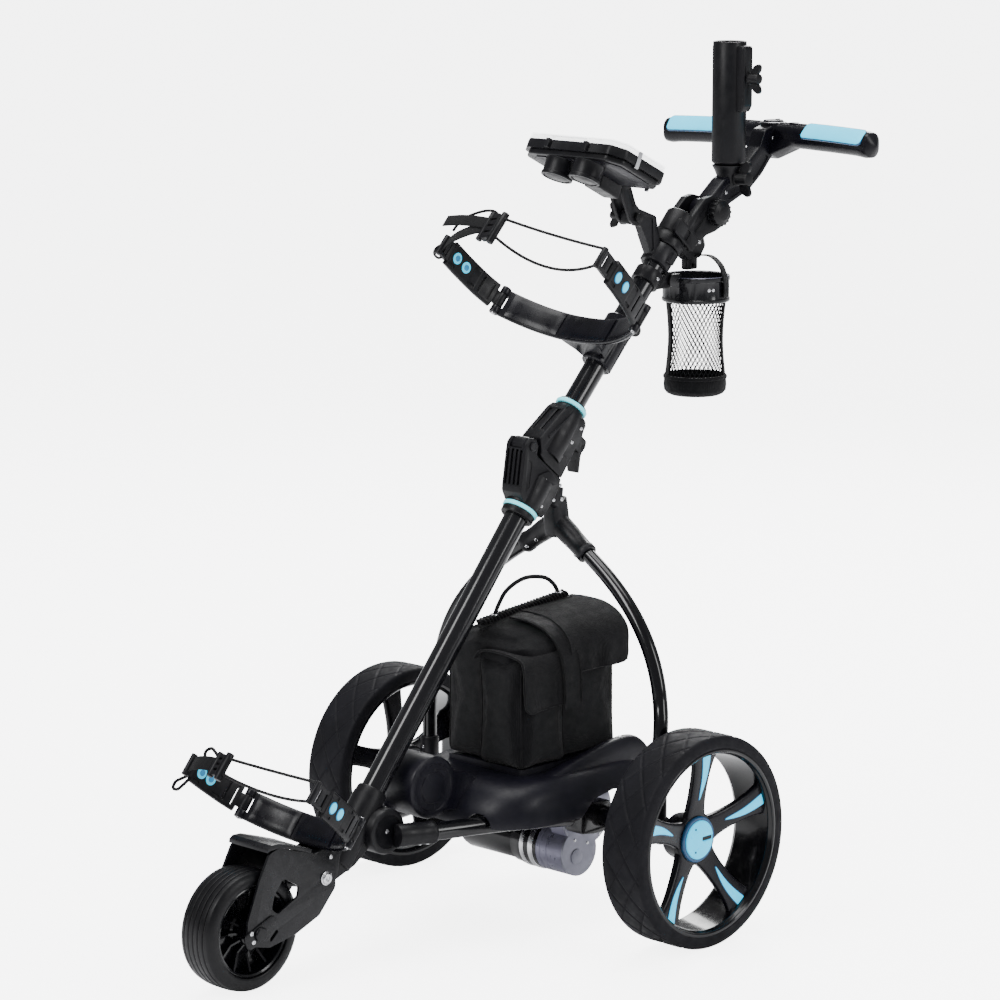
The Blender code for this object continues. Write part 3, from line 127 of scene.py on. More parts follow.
SOCKET_START = {s: Vector((s * 0.004, 0.0315, 0.513)) for s in (1, -1)}
SOCKET_END = {s: Vector((s * 0.0575, 0.0304, 0.478)) for s in (1, -1)}
KNUCKLE = Vector((0, 0.318, 0.906))       # tilt axis of the handle
CONSOLE_PIVOT = Vector((0, 0.17, 0.91))
CUP_PIVOT = Vector((0, 0.248, 0.818))
CUP = Vector((0, 0.304, 0))

# ---------------------------------------------------------------- materials
MATERIALS = {}


def add_node(tree, kind, **settings):
    node = tree.nodes.new(kind)
    for key, value in settings.items():
        setattr(node, key, value)
    return node


def noise_texture(tree, coords, scale, detail):
    node = add_node(tree, 'ShaderNodeTexNoise')
    node.inputs['Scale'].default_value = scale
    node.inputs['Detail'].default_value = detail
    tree.links.new(coords, node.inputs['Vector'])
    return node.outputs['Fac']


def remap(tree, source, source_range, target_range):
    node = add_node(tree, 'ShaderNodeMapRange')
    node.inputs['From Min'].default_value, node.inputs['From Max'].default_value = source_range
    node.inputs['To Min'].default_value, node.inputs['To Max'].default_value = target_range
    tree.links.new(source, node.inputs['Value'])
    return node.outputs['Result']


def add_values(tree, first, second):
    node = add_node(tree, 'ShaderNodeMath', operation='ADD')
    tree.links.new(first, node.inputs[0])
    tree.links.new(second, node.inputs[1])
    return node.outputs[0]


def material(name, base, rough, metal=0.0, grain=1600.0, bump=0.25, depth=0.00006, drift=0.25,
             rough_drift=0.12, coat=0.0, sheen=0.0, wear=0.0, weave=None, alpha=1.0, spec=0.5,
             dust=0.0, painted_glow=0.0):
    """Principled material with colour drift, roughness drift, grain and optional weave.

    grain and weave are texture scales, bump and depth the relief's strength and height,
    wear lightens edges, dust adds blotches, and the last argument is an emission strength:
    painted light that lets a part give off light though it is no lamp.
    """
    if max(base) < 0.03:     # blacks: deep pigment with a weak surface reflection
        base = (base[0] * 0.28, base[1] * 0.28, base[2] * 0.33)
        spec = min(spec, 0.24 if rough < 0.5 else 0.13)
        sheen *= 0.25
    made = bpy.data.materials.new(name)
    made.use_nodes = True
    tree = made.node_tree
    link = tree.links.new
    shader = tree.nodes['Principled BSDF']
    inputs = shader.inputs
    coords = add_node(tree, 'ShaderNodeTexCoord').outputs['Object']

    cloud = noise_texture(tree, coords, scale=22.0, detail=5.0)
    shade = remap(tree, cloud, (0.3, 0.7), (1.0 - drift, 1.0 + drift))
    tint = add_node(tree, 'ShaderNodeVectorMath', operation='SCALE')
    tint.inputs[0].default_value = base
    link(shade, tint.inputs['Scale'])
    colour = tint.outputs['Vector']
    if dust or wear:
        geometry = add_node(tree, 'ShaderNodeNewGeometry')
        amount = remap(tree, geometry.outputs['Pointiness'], (0.53, 0.62), (0.0, wear))
        if dust:
            specks = noise_texture(tree, coords, scale=60.0, detail=8.0)
            amount = add_values(tree, amount, remap(tree, specks, (0.52, 0.78), (0.0, dust)))
        mix = add_node(tree, 'ShaderNodeMix', data_type='RGBA')
        link(amount, mix.inputs['Factor'])
        link(colour, mix.inputs['A'])
        mix.inputs['B'].default_value = (0.022, 0.022, 0.025, 1)
        colour = mix.outputs['Result']
    link(colour, inputs['Base Color'])

    cloud = noise_texture(tree, coords, scale=90.0, detail=6.0)
    rough_range = (max(0.02, rough - rough_drift), min(1.0, rough + rough_drift))
    link(remap(tree, cloud, (0.3, 0.7), rough_range), inputs['Roughness'])

    height = noise_texture(tree, coords, scale=grain, detail=2.0)
    if weave:
        bands = []
        for direction in ('X', 'Y', 'Z'):
            wave = add_node(tree, 'ShaderNodeTexWave', wave_type='BANDS',
                            bands_direction=direction)
            wave.inputs['Scale'].default_value = weave
            wave.inputs['Distortion'].default_value = 0.6
            wave.inputs['Detail'].default_value = 1.0
            link(coords, wave.inputs['Vector'])
            bands.append(wave.outputs['Fac'])
        total = bands[0]
        for extra in (bands[1], bands[2], height):
            total = add_values(tree, total, extra)
        height = total
    relief = add_node(tree, 'ShaderNodeBump')
    relief.inputs['Strength'].default_value = bump
    relief.inputs['Distance'].default_value = depth
    link(height, relief.inputs['Height'])
    link(relief.outputs['Normal'], inputs['Normal'])
    # a nonzero emission strength is painted light
    for socket, value in (('Metallic', metal), ('Emission Color', (*base, 1)),
                          ('Emission Strength', painted_glow), ('Specular IOR Level', spec),
                          ('Coat Weight', coat), ('Coat Roughness', 0.08),
                          ('Sheen Weight', sheen), ('Alpha', alpha)):
        inputs[socket].default_value = value
    made.diffuse_color = (*base, 1)
    MATERIALS[name] = made


material('tube_paint', base=(0.0065, 0.0065, 0.0080), rough=0.20, grain=700, bump=0.10,
         depth=0.00004, coat=0.5, rough_drift=0.05, wear=0.15)
material('gloss_black', base=(0.0070, 0.0068, 0.0085), rough=0.20, grain=900, bump=0.10,
         depth=0.00003, coat=0.35, rough_drift=0.06, wear=0.15)
material('moulded_black', base=(0.0125, 0.0122, 0.0140), rough=0.40, grain=2600, bump=0.35,
         depth=0.00005, rough_drift=0.08, wear=0.25)
material('satin_black', base=(0.0105, 0.0098, 0.0150), rough=0.28, grain=2200, bump=0.18,
         depth=0.00004, rough_drift=0.06, wear=0.2)
material('plate_black', base=(0.0120, 0.0118, 0.0135), rough=0.34, grain=1300, bump=0.30,
         depth=0.00005, coat=0.1, wear=0.2)
material('housing_grey', base=(0.0150, 0.0140, 0.0230), rough=0.40, grain=2600, bump=0.40,
         depth=0.00006, rough_drift=0.06, wear=0.2)
material('tyre_rubber', base=(0.0185, 0.0182, 0.0210), rough=0.62, grain=1500, bump=0.55,
         depth=0.00010, rough_drift=0.10, wear=0.35, dust=0.12)
material('soft_rubber', base=(0.0100, 0.0100, 0.0110), rough=0.40, grain=1900, bump=0.35,
         depth=0.00006, rough_drift=0.08, wear=0.2)
# painted light: the bright blues give off a little light in their own colour, so they stay bright
# where shade falls on them
material('cyan_plastic', base=(0.004, 0.640, 1.000), rough=0.30, grain=2400, bump=0.15,
         depth=0.00003, painted_glow=0.40, drift=0.05, rough_drift=0.05)
material('pale_cyan', base=(0.200, 0.880, 1.000), rough=0.34, grain=2400, bump=0.15,
         depth=0.00003, painted_glow=0.20, drift=0.05, rough_drift=0.05)
material('pad_cyan', base=(0.040, 0.680, 1.000), rough=0.45, grain=2800, bump=0.45,
         depth=0.00006, painted_glow=0.25, drift=0.05, rough_drift=0.06)
material('deep_blue', base=(0.006, 0.060, 0.150), rough=0.35, grain=2400, bump=0.2,
         depth=0.00003, drift=0.1)
material('mid_blue', base=(0.010, 0.230, 0.480), rough=0.35, grain=2400, bump=0.2,
         depth=0.00003, drift=0.1)
material('bright_steel', base=(0.72, 0.72, 0.74), rough=0.24, metal=1.0, grain=1500, bump=0.15,
         depth=0.00004, drift=0.06, rough_drift=0.08)
material('motor_grey', base=(0.200, 0.195, 0.260), rough=0.36, metal=0.55, grain=1500,
         bump=0.25, depth=0.00005, drift=0.08)
material('cast_grey', base=(0.240, 0.240, 0.290), rough=0.42, metal=0.6, grain=900, bump=0.45,
         depth=0.00010, drift=0.1)
material('nylon_cloth', base=(0.0075, 0.0075, 0.0088), rough=0.86, grain=3000, bump=0.9,
         depth=0.00022, sheen=0.25, weave=330, drift=0.3, spec=0.25)
material('webbing', base=(0.0085, 0.0085, 0.0095), rough=0.70, grain=3000, bump=0.8,
         depth=0.00020, sheen=0.2, weave=260, drift=0.2, spec=0.3)
material('braid_cord', base=(0.0120, 0.0120, 0.0130), rough=0.60, grain=2500, bump=0.9,
         depth=0.00025, sheen=0.2, weave=420, drift=0.3)
material('net_cord', base=(0.0100, 0.0100, 0.0115), rough=0.65, grain=2500, bump=0.5,
         depth=0.00010, drift=0.2)
material('clear_plastic', base=(0.90, 0.92, 0.95), rough=0.06, grain=400, bump=0.05,
         depth=0.00003, drift=0.03, rough_drift=0.03, alpha=0.15, spec=0.8)
material('pale_floor', base=(0.86, 0.86, 0.87), rough=0.55, grain=600, bump=0.04,
         depth=0.0001, drift=0.012, rough_drift=0.05)

# ---------------------------------------------------------------- outlines and paths


def rectangle(u0, v0, u1, v1):
    return [(u0, v0), (u1, v0), (u1, v1), (u0, v1)]


def centred(half_u, half_v):
    return rectangle(-half_u, -half_v, half_u, half_v)


def rounded(points, radius, steps=4):
    """Polygon with each corner rounded to about the radius."""
    out = []
    count = len(points)
    for i in range(count):
        before, corner, after = (Vector(points[k]) for k in (i - 1, i, (i + 1) % count))
        back, ahead = before - corner, after - corner
        back_len, ahead_len = back.length, ahead.length
        if back_len < 1e-7 or ahead_len < 1e-7:
            continue
        back, ahead = back / back_len, ahead / ahead_len
        angle = back.angle(ahead, pi)
        if angle > radians(172):
            out.append(tuple(corner))
            continue
        trim = min(radius / math.tan(angle / 2), 0.45 * back_len, 0.45 * ahead_len)
        start, end = corner + back * trim, corner + ahead * trim
        for k in range(steps + 1):
            t = k / steps
            out.append(tuple(start * (1 - t) ** 2 + corner * (2 * t * (1 - t)) + end * t * t))
    return out


def circle(radius, count):
    return [(radius * cos(2 * pi * i / count), radius * sin(2 * pi * i / count))
            for i in range(count)]


def signed_power(value, power):
    return math.copysign(abs(value) ** power, value)


def superellipse(half_u, half_v, power, count):
    angles = [2 * pi * i / count for i in range(count)]
    return [(half_u * signed_power(cos(a), power), half_v * signed_power(sin(a), power))
            for a in angles]


def rounded_rect(width, height, radius, steps=3):
    out = []
    u, v = width / 2 - radius, height / 2 - radius
    for cu, cv, start in ((u, v, 0), (-u, v, 90), (-u, -v, 180), (u, -v, 270)):
        angles = [radians(start + 90 * i / steps) for i in range(steps + 1)]
        out += [(cu + radius * cos(a), cv + radius * sin(a)) for a in angles]
    return out


def octagon(half_u, half_v, cut_u, cut_v, radius=0.010):
    """Rectangle with cut and rounded corners."""
    u, v = half_u - cut_u, half_v - cut_v
    return rounded([(-u, -half_v), (u, -half_v), (half_u, -v), (half_u, v),
                    (u, half_v), (-u, half_v), (-half_u, v), (-half_u, -v)], radius, 6)


def mirrored(half):
    """Lathe profile followed by its mirror image along the axis."""
    return half + [(r, -h) for r, h in reversed(half)]


def radial(angle):
    return Y * cos(angle) + Z * sin(angle)


def level(degrees):
    return Vector((cos(radians(degrees)), sin(radians(degrees)), 0))


def direction(path, i):
    """Tangent of a path at its point i."""
    return (path[min(i + 1, len(path) - 1)] - path[max(i - 1, 0)]).normalized()


def smooth_path(points, steps):
    """Catmull-Rom curve through the points."""
    out = []
    last = len(points) - 1
    for i in range(last):
        p0, p1, p2, p3 = points[max(i - 1, 0)], points[i], points[i + 1], points[min(i + 2, last)]
        for k in range(steps):
            t = k / steps
            out.append(0.5 * ((2 * p1) + (p2 - p0) * t + (2 * p0 - 5 * p1 + 4 * p2 - p3) * t * t
                              + (3 * p1 - p0 - 3 * p2 + p3) * t ** 3))
    out.append(points[-1])
    return out


def smooth_points(steps, *coords):
    return smooth_path([Vector(c) for c in coords], steps)


def bezier(points, steps):
    p0, p1, p2, p3 = points
    return [p0 * (1 - t) ** 3 + p1 * (3 * t * (1 - t) ** 2) + p2 * (3 * t * t * (1 - t))
            + p3 * t ** 3 for t in (i / steps for i in range(steps + 1))]

# ---------------------------------------------------------------- solids


def solid(bm):
    bmesh.ops.remove_doubles(bm, verts=bm.verts, dist=1e-6)
    bmesh.ops.recalc_face_normals(bm, faces=bm.faces)
    mesh = bpy.data.meshes.new('tmp')
    bm.to_mesh(mesh)
    bm.free()
    made = bpy.data.objects.new('tmp', mesh)
    bpy.context.scene.collection.objects.link(made)
    return made


def prism(points, origin, u, v, w, w0, w1, bevel=0.0):
    """Outline in the u, v plane extruded along w from w0 to w1."""
    bm = bmesh.new()
    face = bm.faces.new([bm.verts.new(origin + u * a + v * b + w * w0) for a, b in points])
    grown = bmesh.ops.extrude_face_region(bm, geom=[face])
    top = [item for item in grown['geom'] if isinstance(item, bmesh.types.BMVert)]
    bmesh.ops.translate(bm, verts=top, vec=w * (w1 - w0))
    bmesh.ops.recalc_face_normals(bm, faces=bm.faces)
    if bevel:
        rims = [e for e in bm.edges
                if abs((e.verts[0].co - e.verts[1].co).normalized().dot(w)) < 0.5]
        bmesh.ops.bevel(bm, geom=rims, offset=bevel, segments=3, affect='EDGES', profile=0.6,
                        clamp_overlap=True)
    return solid(bm)


def prism_x(points, x0, x1, bevel=0.0):
    """(y, z) outline extruded along X."""
    return prism(points, ORIGIN, Y, Z, X, x0, x1, bevel)


def prism_side(points, side, inner, outer, bevel=0.0):
    """(y, z) outline extruded between two distances from the middle, on one side."""
    return prism_x(points, *sorted((side * inner, side * outer)), bevel)


def box(x0, x1, y0, y1, z0, z1, bevel=0.0, steps=3):
    bm = bmesh.new()
    bmesh.ops.create_cube(bm, size=1.0)
    for v in bm.verts:
        v.co = Vector(((x0 + x1) / 2 + v.co.x * (x1 - x0),
                       (y0 + y1) / 2 + v.co.y * (y1 - y0),
                       (z0 + z1) / 2 + v.co.z * (z1 - z0)))
    if bevel:
        bmesh.ops.bevel(bm, geom=list(bm.edges), offset=bevel, segments=steps, affect='EDGES',
                        profile=0.5)
    return solid(bm)


def axes_of(vector):
    """Two normals of a direction, and its unit vector."""
    d = vector.normalized()
    aside = X if abs(d.x) < 0.9 else Z
    u = (aside - d * aside.dot(d)).normalized()
    return u, d.cross(u), d


def lathe(profile, origin, axis, nominal=24):
    """Closed (radius, height) profile turned about an axis.

    The nominal segment count is raised by 1.7 to an even number of at least 20.
    """
    count = max(20, int(round(nominal * 1.7 / 2)) * 2)
    u, v, d = axes_of(axis)
    bm = bmesh.new()
    rings = []
    for r, h in profile:
        if r < 1e-9:
            rings.append([bm.verts.new(origin + d * h)] * count)
        else:
            rings.append([bm.verts.new(origin + d * h + u * (r * cos(2 * pi * i / count))
                                       + v * (r * sin(2 * pi * i / count)))
                          for i in range(count)])
    for a in range(len(rings)):
        b = (a + 1) % len(rings)
        if profile[a][0] < 1e-9 and profile[b][0] < 1e-9:
            continue
        for i in range(count):
            j = (i + 1) % count
            quad = [rings[a][i], rings[b][i], rings[b][j], rings[a][j]]
            quad = [p for k, p in enumerate(quad) if p not in quad[:k]]
            if len(quad) > 2:
                bm.faces.new(quad)
    return solid(bm)


def edge_profile(r, h, ch):
    """Outer edge of a turned wall with chamfered rims."""
    return [(r - ch, 0), (r - ch * 0.3, ch * 0.3), (r, ch), (r, h - ch),
            (r - ch * 0.3, h - ch * 0.3), (r - ch, h)]


def cyl(start, end, radius, nominal=24, chamfer=0.0):
    h = (end - start).length
    wall = edge_profile(radius, h, chamfer) if chamfer else [(radius, 0), (radius, h)]
    return lathe([(0, 0)] + wall + [(0, h)], start, end - start, nominal)


def ring(start, end, outer, inner, nominal=24, chamfer=0.0):
    h = (end - start).length
    wall = edge_profile(outer, h, chamfer) if chamfer else [(outer, 0), (outer, h)]
    return lathe([(inner, 0)] + wall + [(inner, h)], start, end - start, nominal)


def cyl_x(x0, x1, y, z, radius, nominal=24, chamfer=0.0):
    return cyl(Vector((x0, y, z)), Vector((x1, y, z)), radius, nominal, chamfer)


def bore_x(point, radius, nominal, half=0.05):
    """Cutter along X through a point."""
    return cyl_x(-half, half, point.y, point.z, radius, nominal)


def ring_x(x0, x1, point, outer, inner, nominal, chamfer):
    return ring(Vector((x0, point.y, point.z)), Vector((x1, point.y, point.z)), outer, inner,
                nominal, chamfer)


def loft(loops, caps_reversed=False):
    """Closed solid through equal closed loops."""
    bm = bmesh.new()
    rings = [[bm.verts.new(p) for p in loop] for loop in loops]
    count = len(loops[0])
    for a, b in zip(rings, rings[1:]):
        for i in range(count):
            j = (i + 1) % count
            bm.faces.new((a[i], a[j], b[j], b[i]))
    step = -1 if caps_reversed else 1
    bm.faces.new(rings[0][::step])
    bm.faces.new(rings[-1][::-step])
    return solid(bm)


def sweep(path, section, up=None):
    """Section carried along a path without twist."""
    t = (path[1] - path[0]).normalized()
    w = up if up is not None else (Z if abs(t.z) < 0.9 else X)
    w = (w - t * w.dot(t)).normalized()
    loops = []
    for i, p in enumerate(path):
        t = direction(path, i)
        w = (w - t * w.dot(t)).normalized()
        s = t.cross(w)
        loops.append([p + s * a + w * b for a, b in section])
    return loft(loops)


def cord(points, radius, sides, steps):
    """Round cord smoothed through the points."""
    return sweep(smooth_path(points, steps), circle(radius, sides))


def sheet(grid, thickness):
    """Cloth panel from a grid of points, with closed edges."""
    ni, nj = len(grid), len(grid[0])
    normals = [[(grid[min(i + 1, ni - 1)][j] - grid[max(i - 1, 0)][j]).cross(
        grid[i][min(j + 1, nj - 1)] - grid[i][max(j - 1, 0)]).normalized()
        for j in range(nj)] for i in range(ni)]
    bm = bmesh.new()
    up, down = [[[bm.verts.new(grid[i][j] + normals[i][j] * shift) for j in range(nj)]
                 for i in range(ni)] for shift in (thickness / 2, -thickness / 2)]
    for g in (up, down):
        for i in range(ni - 1):
            for j in range(nj - 1):
                bm.faces.new((g[i][j], g[i][j + 1], g[i + 1][j + 1], g[i + 1][j]))
    for i in range(ni - 1):
        for j in (0, -1):
            bm.faces.new((up[i][j], up[i + 1][j], down[i + 1][j], down[i][j]))
    for j in range(nj - 1):
        for i in (0, -1):
            bm.faces.new((up[i][j], up[i][j + 1], down[i][j + 1], down[i][j]))
    return solid(bm)

# ---------------------------------------------------------------- joining and finishing


def tidy(mesh):
    """Clean a mesh; true if it is closed."""
    bm = bmesh.new()
    bm.from_mesh(mesh)
    bmesh.ops.remove_doubles(bm, verts=bm.verts, dist=2e-6)
    bmesh.ops.dissolve_degenerate(bm, dist=1e-6, edges=bm.edges)
    closed = len(bm.faces) > 0 and all(e.is_manifold for e in bm.edges)
    bm.to_mesh(mesh)
    bm.free()
    return closed


def evaluated_mesh(piece):
    graph = bpy.context.evaluated_depsgraph_get()
    return bpy.data.meshes.new_from_object(piece.evaluated_get(graph))


def combine(piece, other, operation):
    """Boolean; the exact solver is used where the manifold one leaves the mesh open."""
    boolean = piece.modifiers.new('b', 'BOOLEAN')
    boolean.operation = operation
    boolean.object = other
    best = None
    for solver in ('MANIFOLD', 'EXACT'):
        boolean.solver = solver
        mesh = evaluated_mesh(piece)
        closed = tidy(mesh)
        if best is None and len(mesh.polygons):
            best = mesh
        if closed:
            best = mesh
            break
    piece.modifiers.clear()
    if best is not None:
        piece.data = best
    bpy.data.objects.remove(other, do_unlink=True)


def join(piece, *others):
    for other in others:
        combine(piece, other, 'UNION')
    return piece


def cut(piece, *others):
    for other in others:
        combine(piece, other, 'DIFFERENCE')
    return piece


def merge(*pieces):
    """Several closed solids in one object, without a boolean."""
    bm = bmesh.new()
    for piece in pieces:
        bm.from_mesh(piece.data)
    bm.to_mesh(pieces[0].data)
    bm.free()
    for piece in pieces[1:]:
        bpy.data.objects.remove(piece, do_unlink=True)
    return pieces[0]


def put(piece, name, material_name, node=None, body=None, bevel=0.0, sharp=32, steps=2):
    """Finish a piece: bevel, shading, material, body, and the CAD node it stands for.

    A body given as (base, tip, start, end) is not used: the piece is left attached to no body.
    """
    tidy(piece.data)
    piece.name = name
    piece.data.name = name
    piece.data.materials.clear()
    piece.data.materials.append(MATERIALS[material_name])
    if bevel:
        modifier = piece.modifiers.new('bevel', 'BEVEL')
        modifier.width = bevel
        modifier.segments = steps
        modifier.limit_method = 'ANGLE'
        modifier.angle_limit = radians(38)
        modifier.use_clamp_overlap = True
        modifier.miter_outer = 'MITER_ARC'
        mesh = evaluated_mesh(piece)
        piece.modifiers.clear()
        piece.data = mesh
        mesh.name = name
    piece.data.shade_smooth()
    piece.data.set_sharp_from_angle(angle=radians(sharp))
    piece.data.transform(Matrix.Translation(OUTLINE_SHIFT))
    if isinstance(body, tuple):
        base, tip, start, end = body
        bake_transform(piece)
    else:
        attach(piece, body or NODE_BODY[node])
    if node:
        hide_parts(node)
    return piece


def put_cord(name, points, radius, body, material_name='braid_cord', steps=8, sides=12):
    put(cord(points, radius, sides, steps), name, material_name, body=body, sharp=60)


def screw_head(point, out, radius, height=0.0012):
    """Pan head with a cross recess, on a surface point."""
    u, v, d = axes_of(out)
    r = radius
    head = lathe([(0, -0.001), (r, -0.001), (r, height * 0.4), (r * 0.85, height * 0.85),
                  (r * 0.5, height), (0, height)], point, d, 16)
    for a, b in ((u, v), (v, u)):
        head = cut(head, prism(centred(r * 0.6, r * 0.14), point, a, b, d,
                               height * 0.35, height + 0.001))
    return head


def screws(name, body, places, radius=0.0026):
    put(merge(*[screw_head(point, out, radius) for point, out in places]), name,
        'bright_steel', body=body, sharp=30)


def side_screw(side, x, y, z):
    """Place and direction of a screw facing sideways."""
    return Vector((side * x, y, z)), X * side

# ================================================================ rear wheels


def groove_depth(theta, x):
    """Diamond tread: two crossing families of grooves, faded out at the shoulders."""
    cells, pitch, cell_size, groove_width = 18, 0.034, 35.8, 0.0011
    around, across = theta / (2 * pi) * cells, x / pitch + 0.25
    depth = 0.0
    for f in (around + across, around - across):
        offset = abs(f - round(f)) / cell_size
        depth = max(depth, math.exp(-(offset / groove_width) ** 2))
    fade = min(1.0, max(0.0, (0.0325 - abs(x)) / 0.003))
    return 0.0014 * depth * fade


def tread_skin(centre, outward):
    """Outer skin of a rear tyre as a fine grid closed to the bead."""
    around, across = 640, 44
    half = REAR_W / 2
    u, v, d = axes_of(outward)
    offsets = [-half + 0.005 + (2 * half - 0.01) * i / (across - 1) for i in range(across)]
    wall = [(0.1236, -half), (0.1262, -half - 0.0004), (0.129, -half), (0.133, -half),
            (REAR_R - 0.0032, -half + 0.0012), (REAR_R - 0.001, -half + 0.003)]
    bm = bmesh.new()
    columns = []
    for i in range(around):
        theta = 2 * pi * i / around
        e = u * cos(theta) + v * sin(theta)
        column = [centre + e * r + d * h for r, h in wall]
        for x in offsets:
            shoulder = 0.0009 * max(0.0, (abs(x) / half - 0.55) / 0.45) ** 2
            column.append(centre + e * (REAR_R - shoulder - groove_depth(theta, x)) + d * x)
        column += [centre + e * r - d * h for r, h in reversed(wall)]
        columns.append([bm.verts.new(p) for p in column])
    count = len(columns[0])
    for i in range(around):
        a, b = columns[i], columns[(i + 1) % around]
        for j in range(count):
            k = (j + 1) % count
            bm.faces.new((a[j], b[j], b[k], a[k]))
    return solid(bm)


# radius, spoke width
SPOKE_WIDTHS = [(0.0, 0.044), (0.024, 0.04), (0.032, 0.034), (0.042, 0.03), (0.055, 0.028),
                (0.07, 0.028), (0.085, 0.03), (0.1, 0.0345), (0.11, 0.041), (0.12, 0.051)]


def spoke_width(radius):
    for (a, width_a), (b, width_b) in zip(SPOKE_WIDTHS, SPOKE_WIDTHS[1:]):
        if radius <= b:
            return width_a + (width_b - width_a) * ((radius - a) / (b - a))


def spoke_rise(radius):
    return DISH * min(1.0, max(0.0, (radius - 0.03) / 0.085)) ** 1.15


def spoke_thickness(radius):
    return 0.013 - 0.003 * (radius / 0.118)


def spoke(centre, d, out, aside):
    loops = []
    for i in range(17):
        r = 0.018 + (0.1165 - 0.018) * i / 16
        p = centre + out * r + d * spoke_rise(r)
        section = superellipse(spoke_width(r) / 2, spoke_thickness(r) / 2, 2 / 4.5, 28)
        loops.append([p + aside * a + d * b for a, b in section])
    return loft(loops)


def spoke_blade(side, centre, d, out, aside, grow, lift):
    """Curved inlay standing on a spoke by lift, wider than the plain inlay by grow."""
    loops = []
    for i in range(19):
        s = i / 18
        r = 0.0535 + (0.1155 - 0.0535) * s + (grow if i == 18 else 0) - (grow if i == 0 else 0)
        w = (0.0006 + 0.0142 * s ** 0.72) / 2 + grow
        bow = -0.0035 * sin(pi * s) + 0.001
        p = centre + out * r + d * (spoke_rise(r) + spoke_thickness(r) / 2) + aside * (bow * side)
        loops.append([p + aside * a + d * b for a, b in (
            (-w, -0.001), (w, -0.001), (w, lift * 0.7), (w * 0.8, lift), (-w * 0.8, lift),
            (-w, lift * 0.7))])
    return loft(loops)


def rear_wheel(side, tag):
    centre = Vector((side * TRACK, 0, AXLE_Z))
    d = X * side
    half = REAR_W / 2
    body = 'wheel_' + tag
    put(tread_skin(centre, d), 'rear_tyre_%s_tread' % tag, 'tyre_rubber', 'rear_tyre_' + tag,
        sharp=45)
    barrel = lathe([
        (0.115, -half + 0.0065), (0.115, half - 0.0075), (0.1158, half - 0.005),
        (0.1172, half - 0.0035), (0.118, half - 0.001), (0.1195, half + 0.0003),
        (0.1215, half + 0.0004), (0.1232, half - 0.0004), (0.1232, -half + 0.0004),
        (0.1215, -half - 0.0004), (0.1195, -half - 0.0003), (0.118, -half + 0.001),
        (0.1172, -half + 0.003)], centre, d, 72)
    put(barrel, 'rear_rim_%s_barrel' % tag, 'gloss_black', 'rear_rim_' + tag, sharp=30)
    star = None
    inlays, borders = [], []
    for k in range(SPOKES):
        out = radial(SPOKE_PHASE + 2 * pi * k / SPOKES)
        aside = quarter_turn(out)
        arm = spoke(centre, d, out, aside)
        star = arm if star is None else join(star, arm)
        inlays.append(spoke_blade(side, centre, d, out, aside, grow=0.0, lift=0.0011))
        borders.append(spoke_blade(side, centre, d, out, aside, grow=0.0011, lift=0.0006))
    hub = lathe([(0, -0.03), (0.027, -0.03), (0.0285, -0.0285), (0.03, -0.024),
                 (0.0325, -0.008), (0.035, -0.004), (0.035, 0.003), (0.033, 0.0055),
                 (0, 0.0055)], centre, d, 36)
    star = join(star, hub)
    star = cut(star, cyl(centre - d * 0.05, centre - d * 0.001, SHAFT_R + GAP, 24))
    put(star, 'rear_rim_%s_spokes' % tag, 'satin_black', body=body, bevel=0.0012, steps=3,
        sharp=40)
    put(merge(*borders), 'rear_rim_%s_inlay_border' % tag, 'deep_blue', body=body, sharp=40)
    put(merge(*inlays), 'rear_rim_%s_inlays' % tag, 'cyan_plastic', body=body, sharp=40)

    # hub drum, cap disc with a radial notch, two small plugs and a bar in the notch
    drum = lathe([(0, 0.004), (0.03, 0.004), (0.0304, 0.005), (0.0302, 0.0085),
                  (0.029, 0.0098), (0, 0.0098)], centre, d, 40)
    put(drum, 'hub_drum_%s' % tag, 'deep_blue', body=body, sharp=30)
    cap = lathe([(0, 0.0064), (0.025, 0.0064), (0.0256, 0.0104), (0.025, 0.0114),
                 (0.0236, 0.0118), (0, 0.0121)], centre, d, 48)
    cap = cut(cap, prism(rounded(rectangle(0.004, -0.0032, 0.034, 0.0032), 0.002),
                         centre, Y, Z, d, 0.01, 0.015))
    put(cap, 'hub_cap_%s_disc' % tag, 'cyan_plastic', 'hub_cap_' + tag, bevel=0.0004, sharp=30)
    plugs = [lathe([(0, 0.011), (0.0014, 0.011), (0.0014, 0.0124), (0.0009, 0.0127),
                    (0, 0.0127)], centre + radial(radians(angle)) * 0.0175, d, 12)
             for angle in (120, 240)]
    plugs.append(prism(rounded(rectangle(0.0046, -0.0026, 0.0235, 0.0026), 0.0015),
                       centre, Y, Z, d, 0.0095, 0.0103))
    put(merge(*plugs), 'hub_plugs_%s' % tag, 'moulded_black', body=body, sharp=30)


for side, tag in SIDES:
    rear_wheel(side, tag)

# ================================================================ front wheel


def front_tyre():
    half, steps = FRONT_W / 2, 90
    wall = [(0.059, -half + 0.001), (0.061, -half - 0.0002), (0.065, -half),
            (0.069, -half + 0.001)]
    crown = []
    for i in range(steps + 1):
        x = -half + 0.0045 + (2 * half - 0.009) * i / steps
        k = abs(x) / half
        r = FRONT_R - 0.0055 * max(0.0, k - 0.15) ** 2.4 - 0.002 * max(0, (k - 0.8) / 0.2) ** 2
        for groove_x in (-0.017, -0.0085, 0.0, 0.0085, 0.017):
            r -= 0.0017 * math.exp(-((x - groove_x) / 0.00075) ** 2)
        crown.append((r, x))
    profile = wall + crown + [(r, -h) for r, h in reversed(wall)]
    put(lathe(profile, FRONT_AXLE, X, 84), 'front_tyre_tread', 'soft_rubber', 'front_tyre',
        sharp=45)


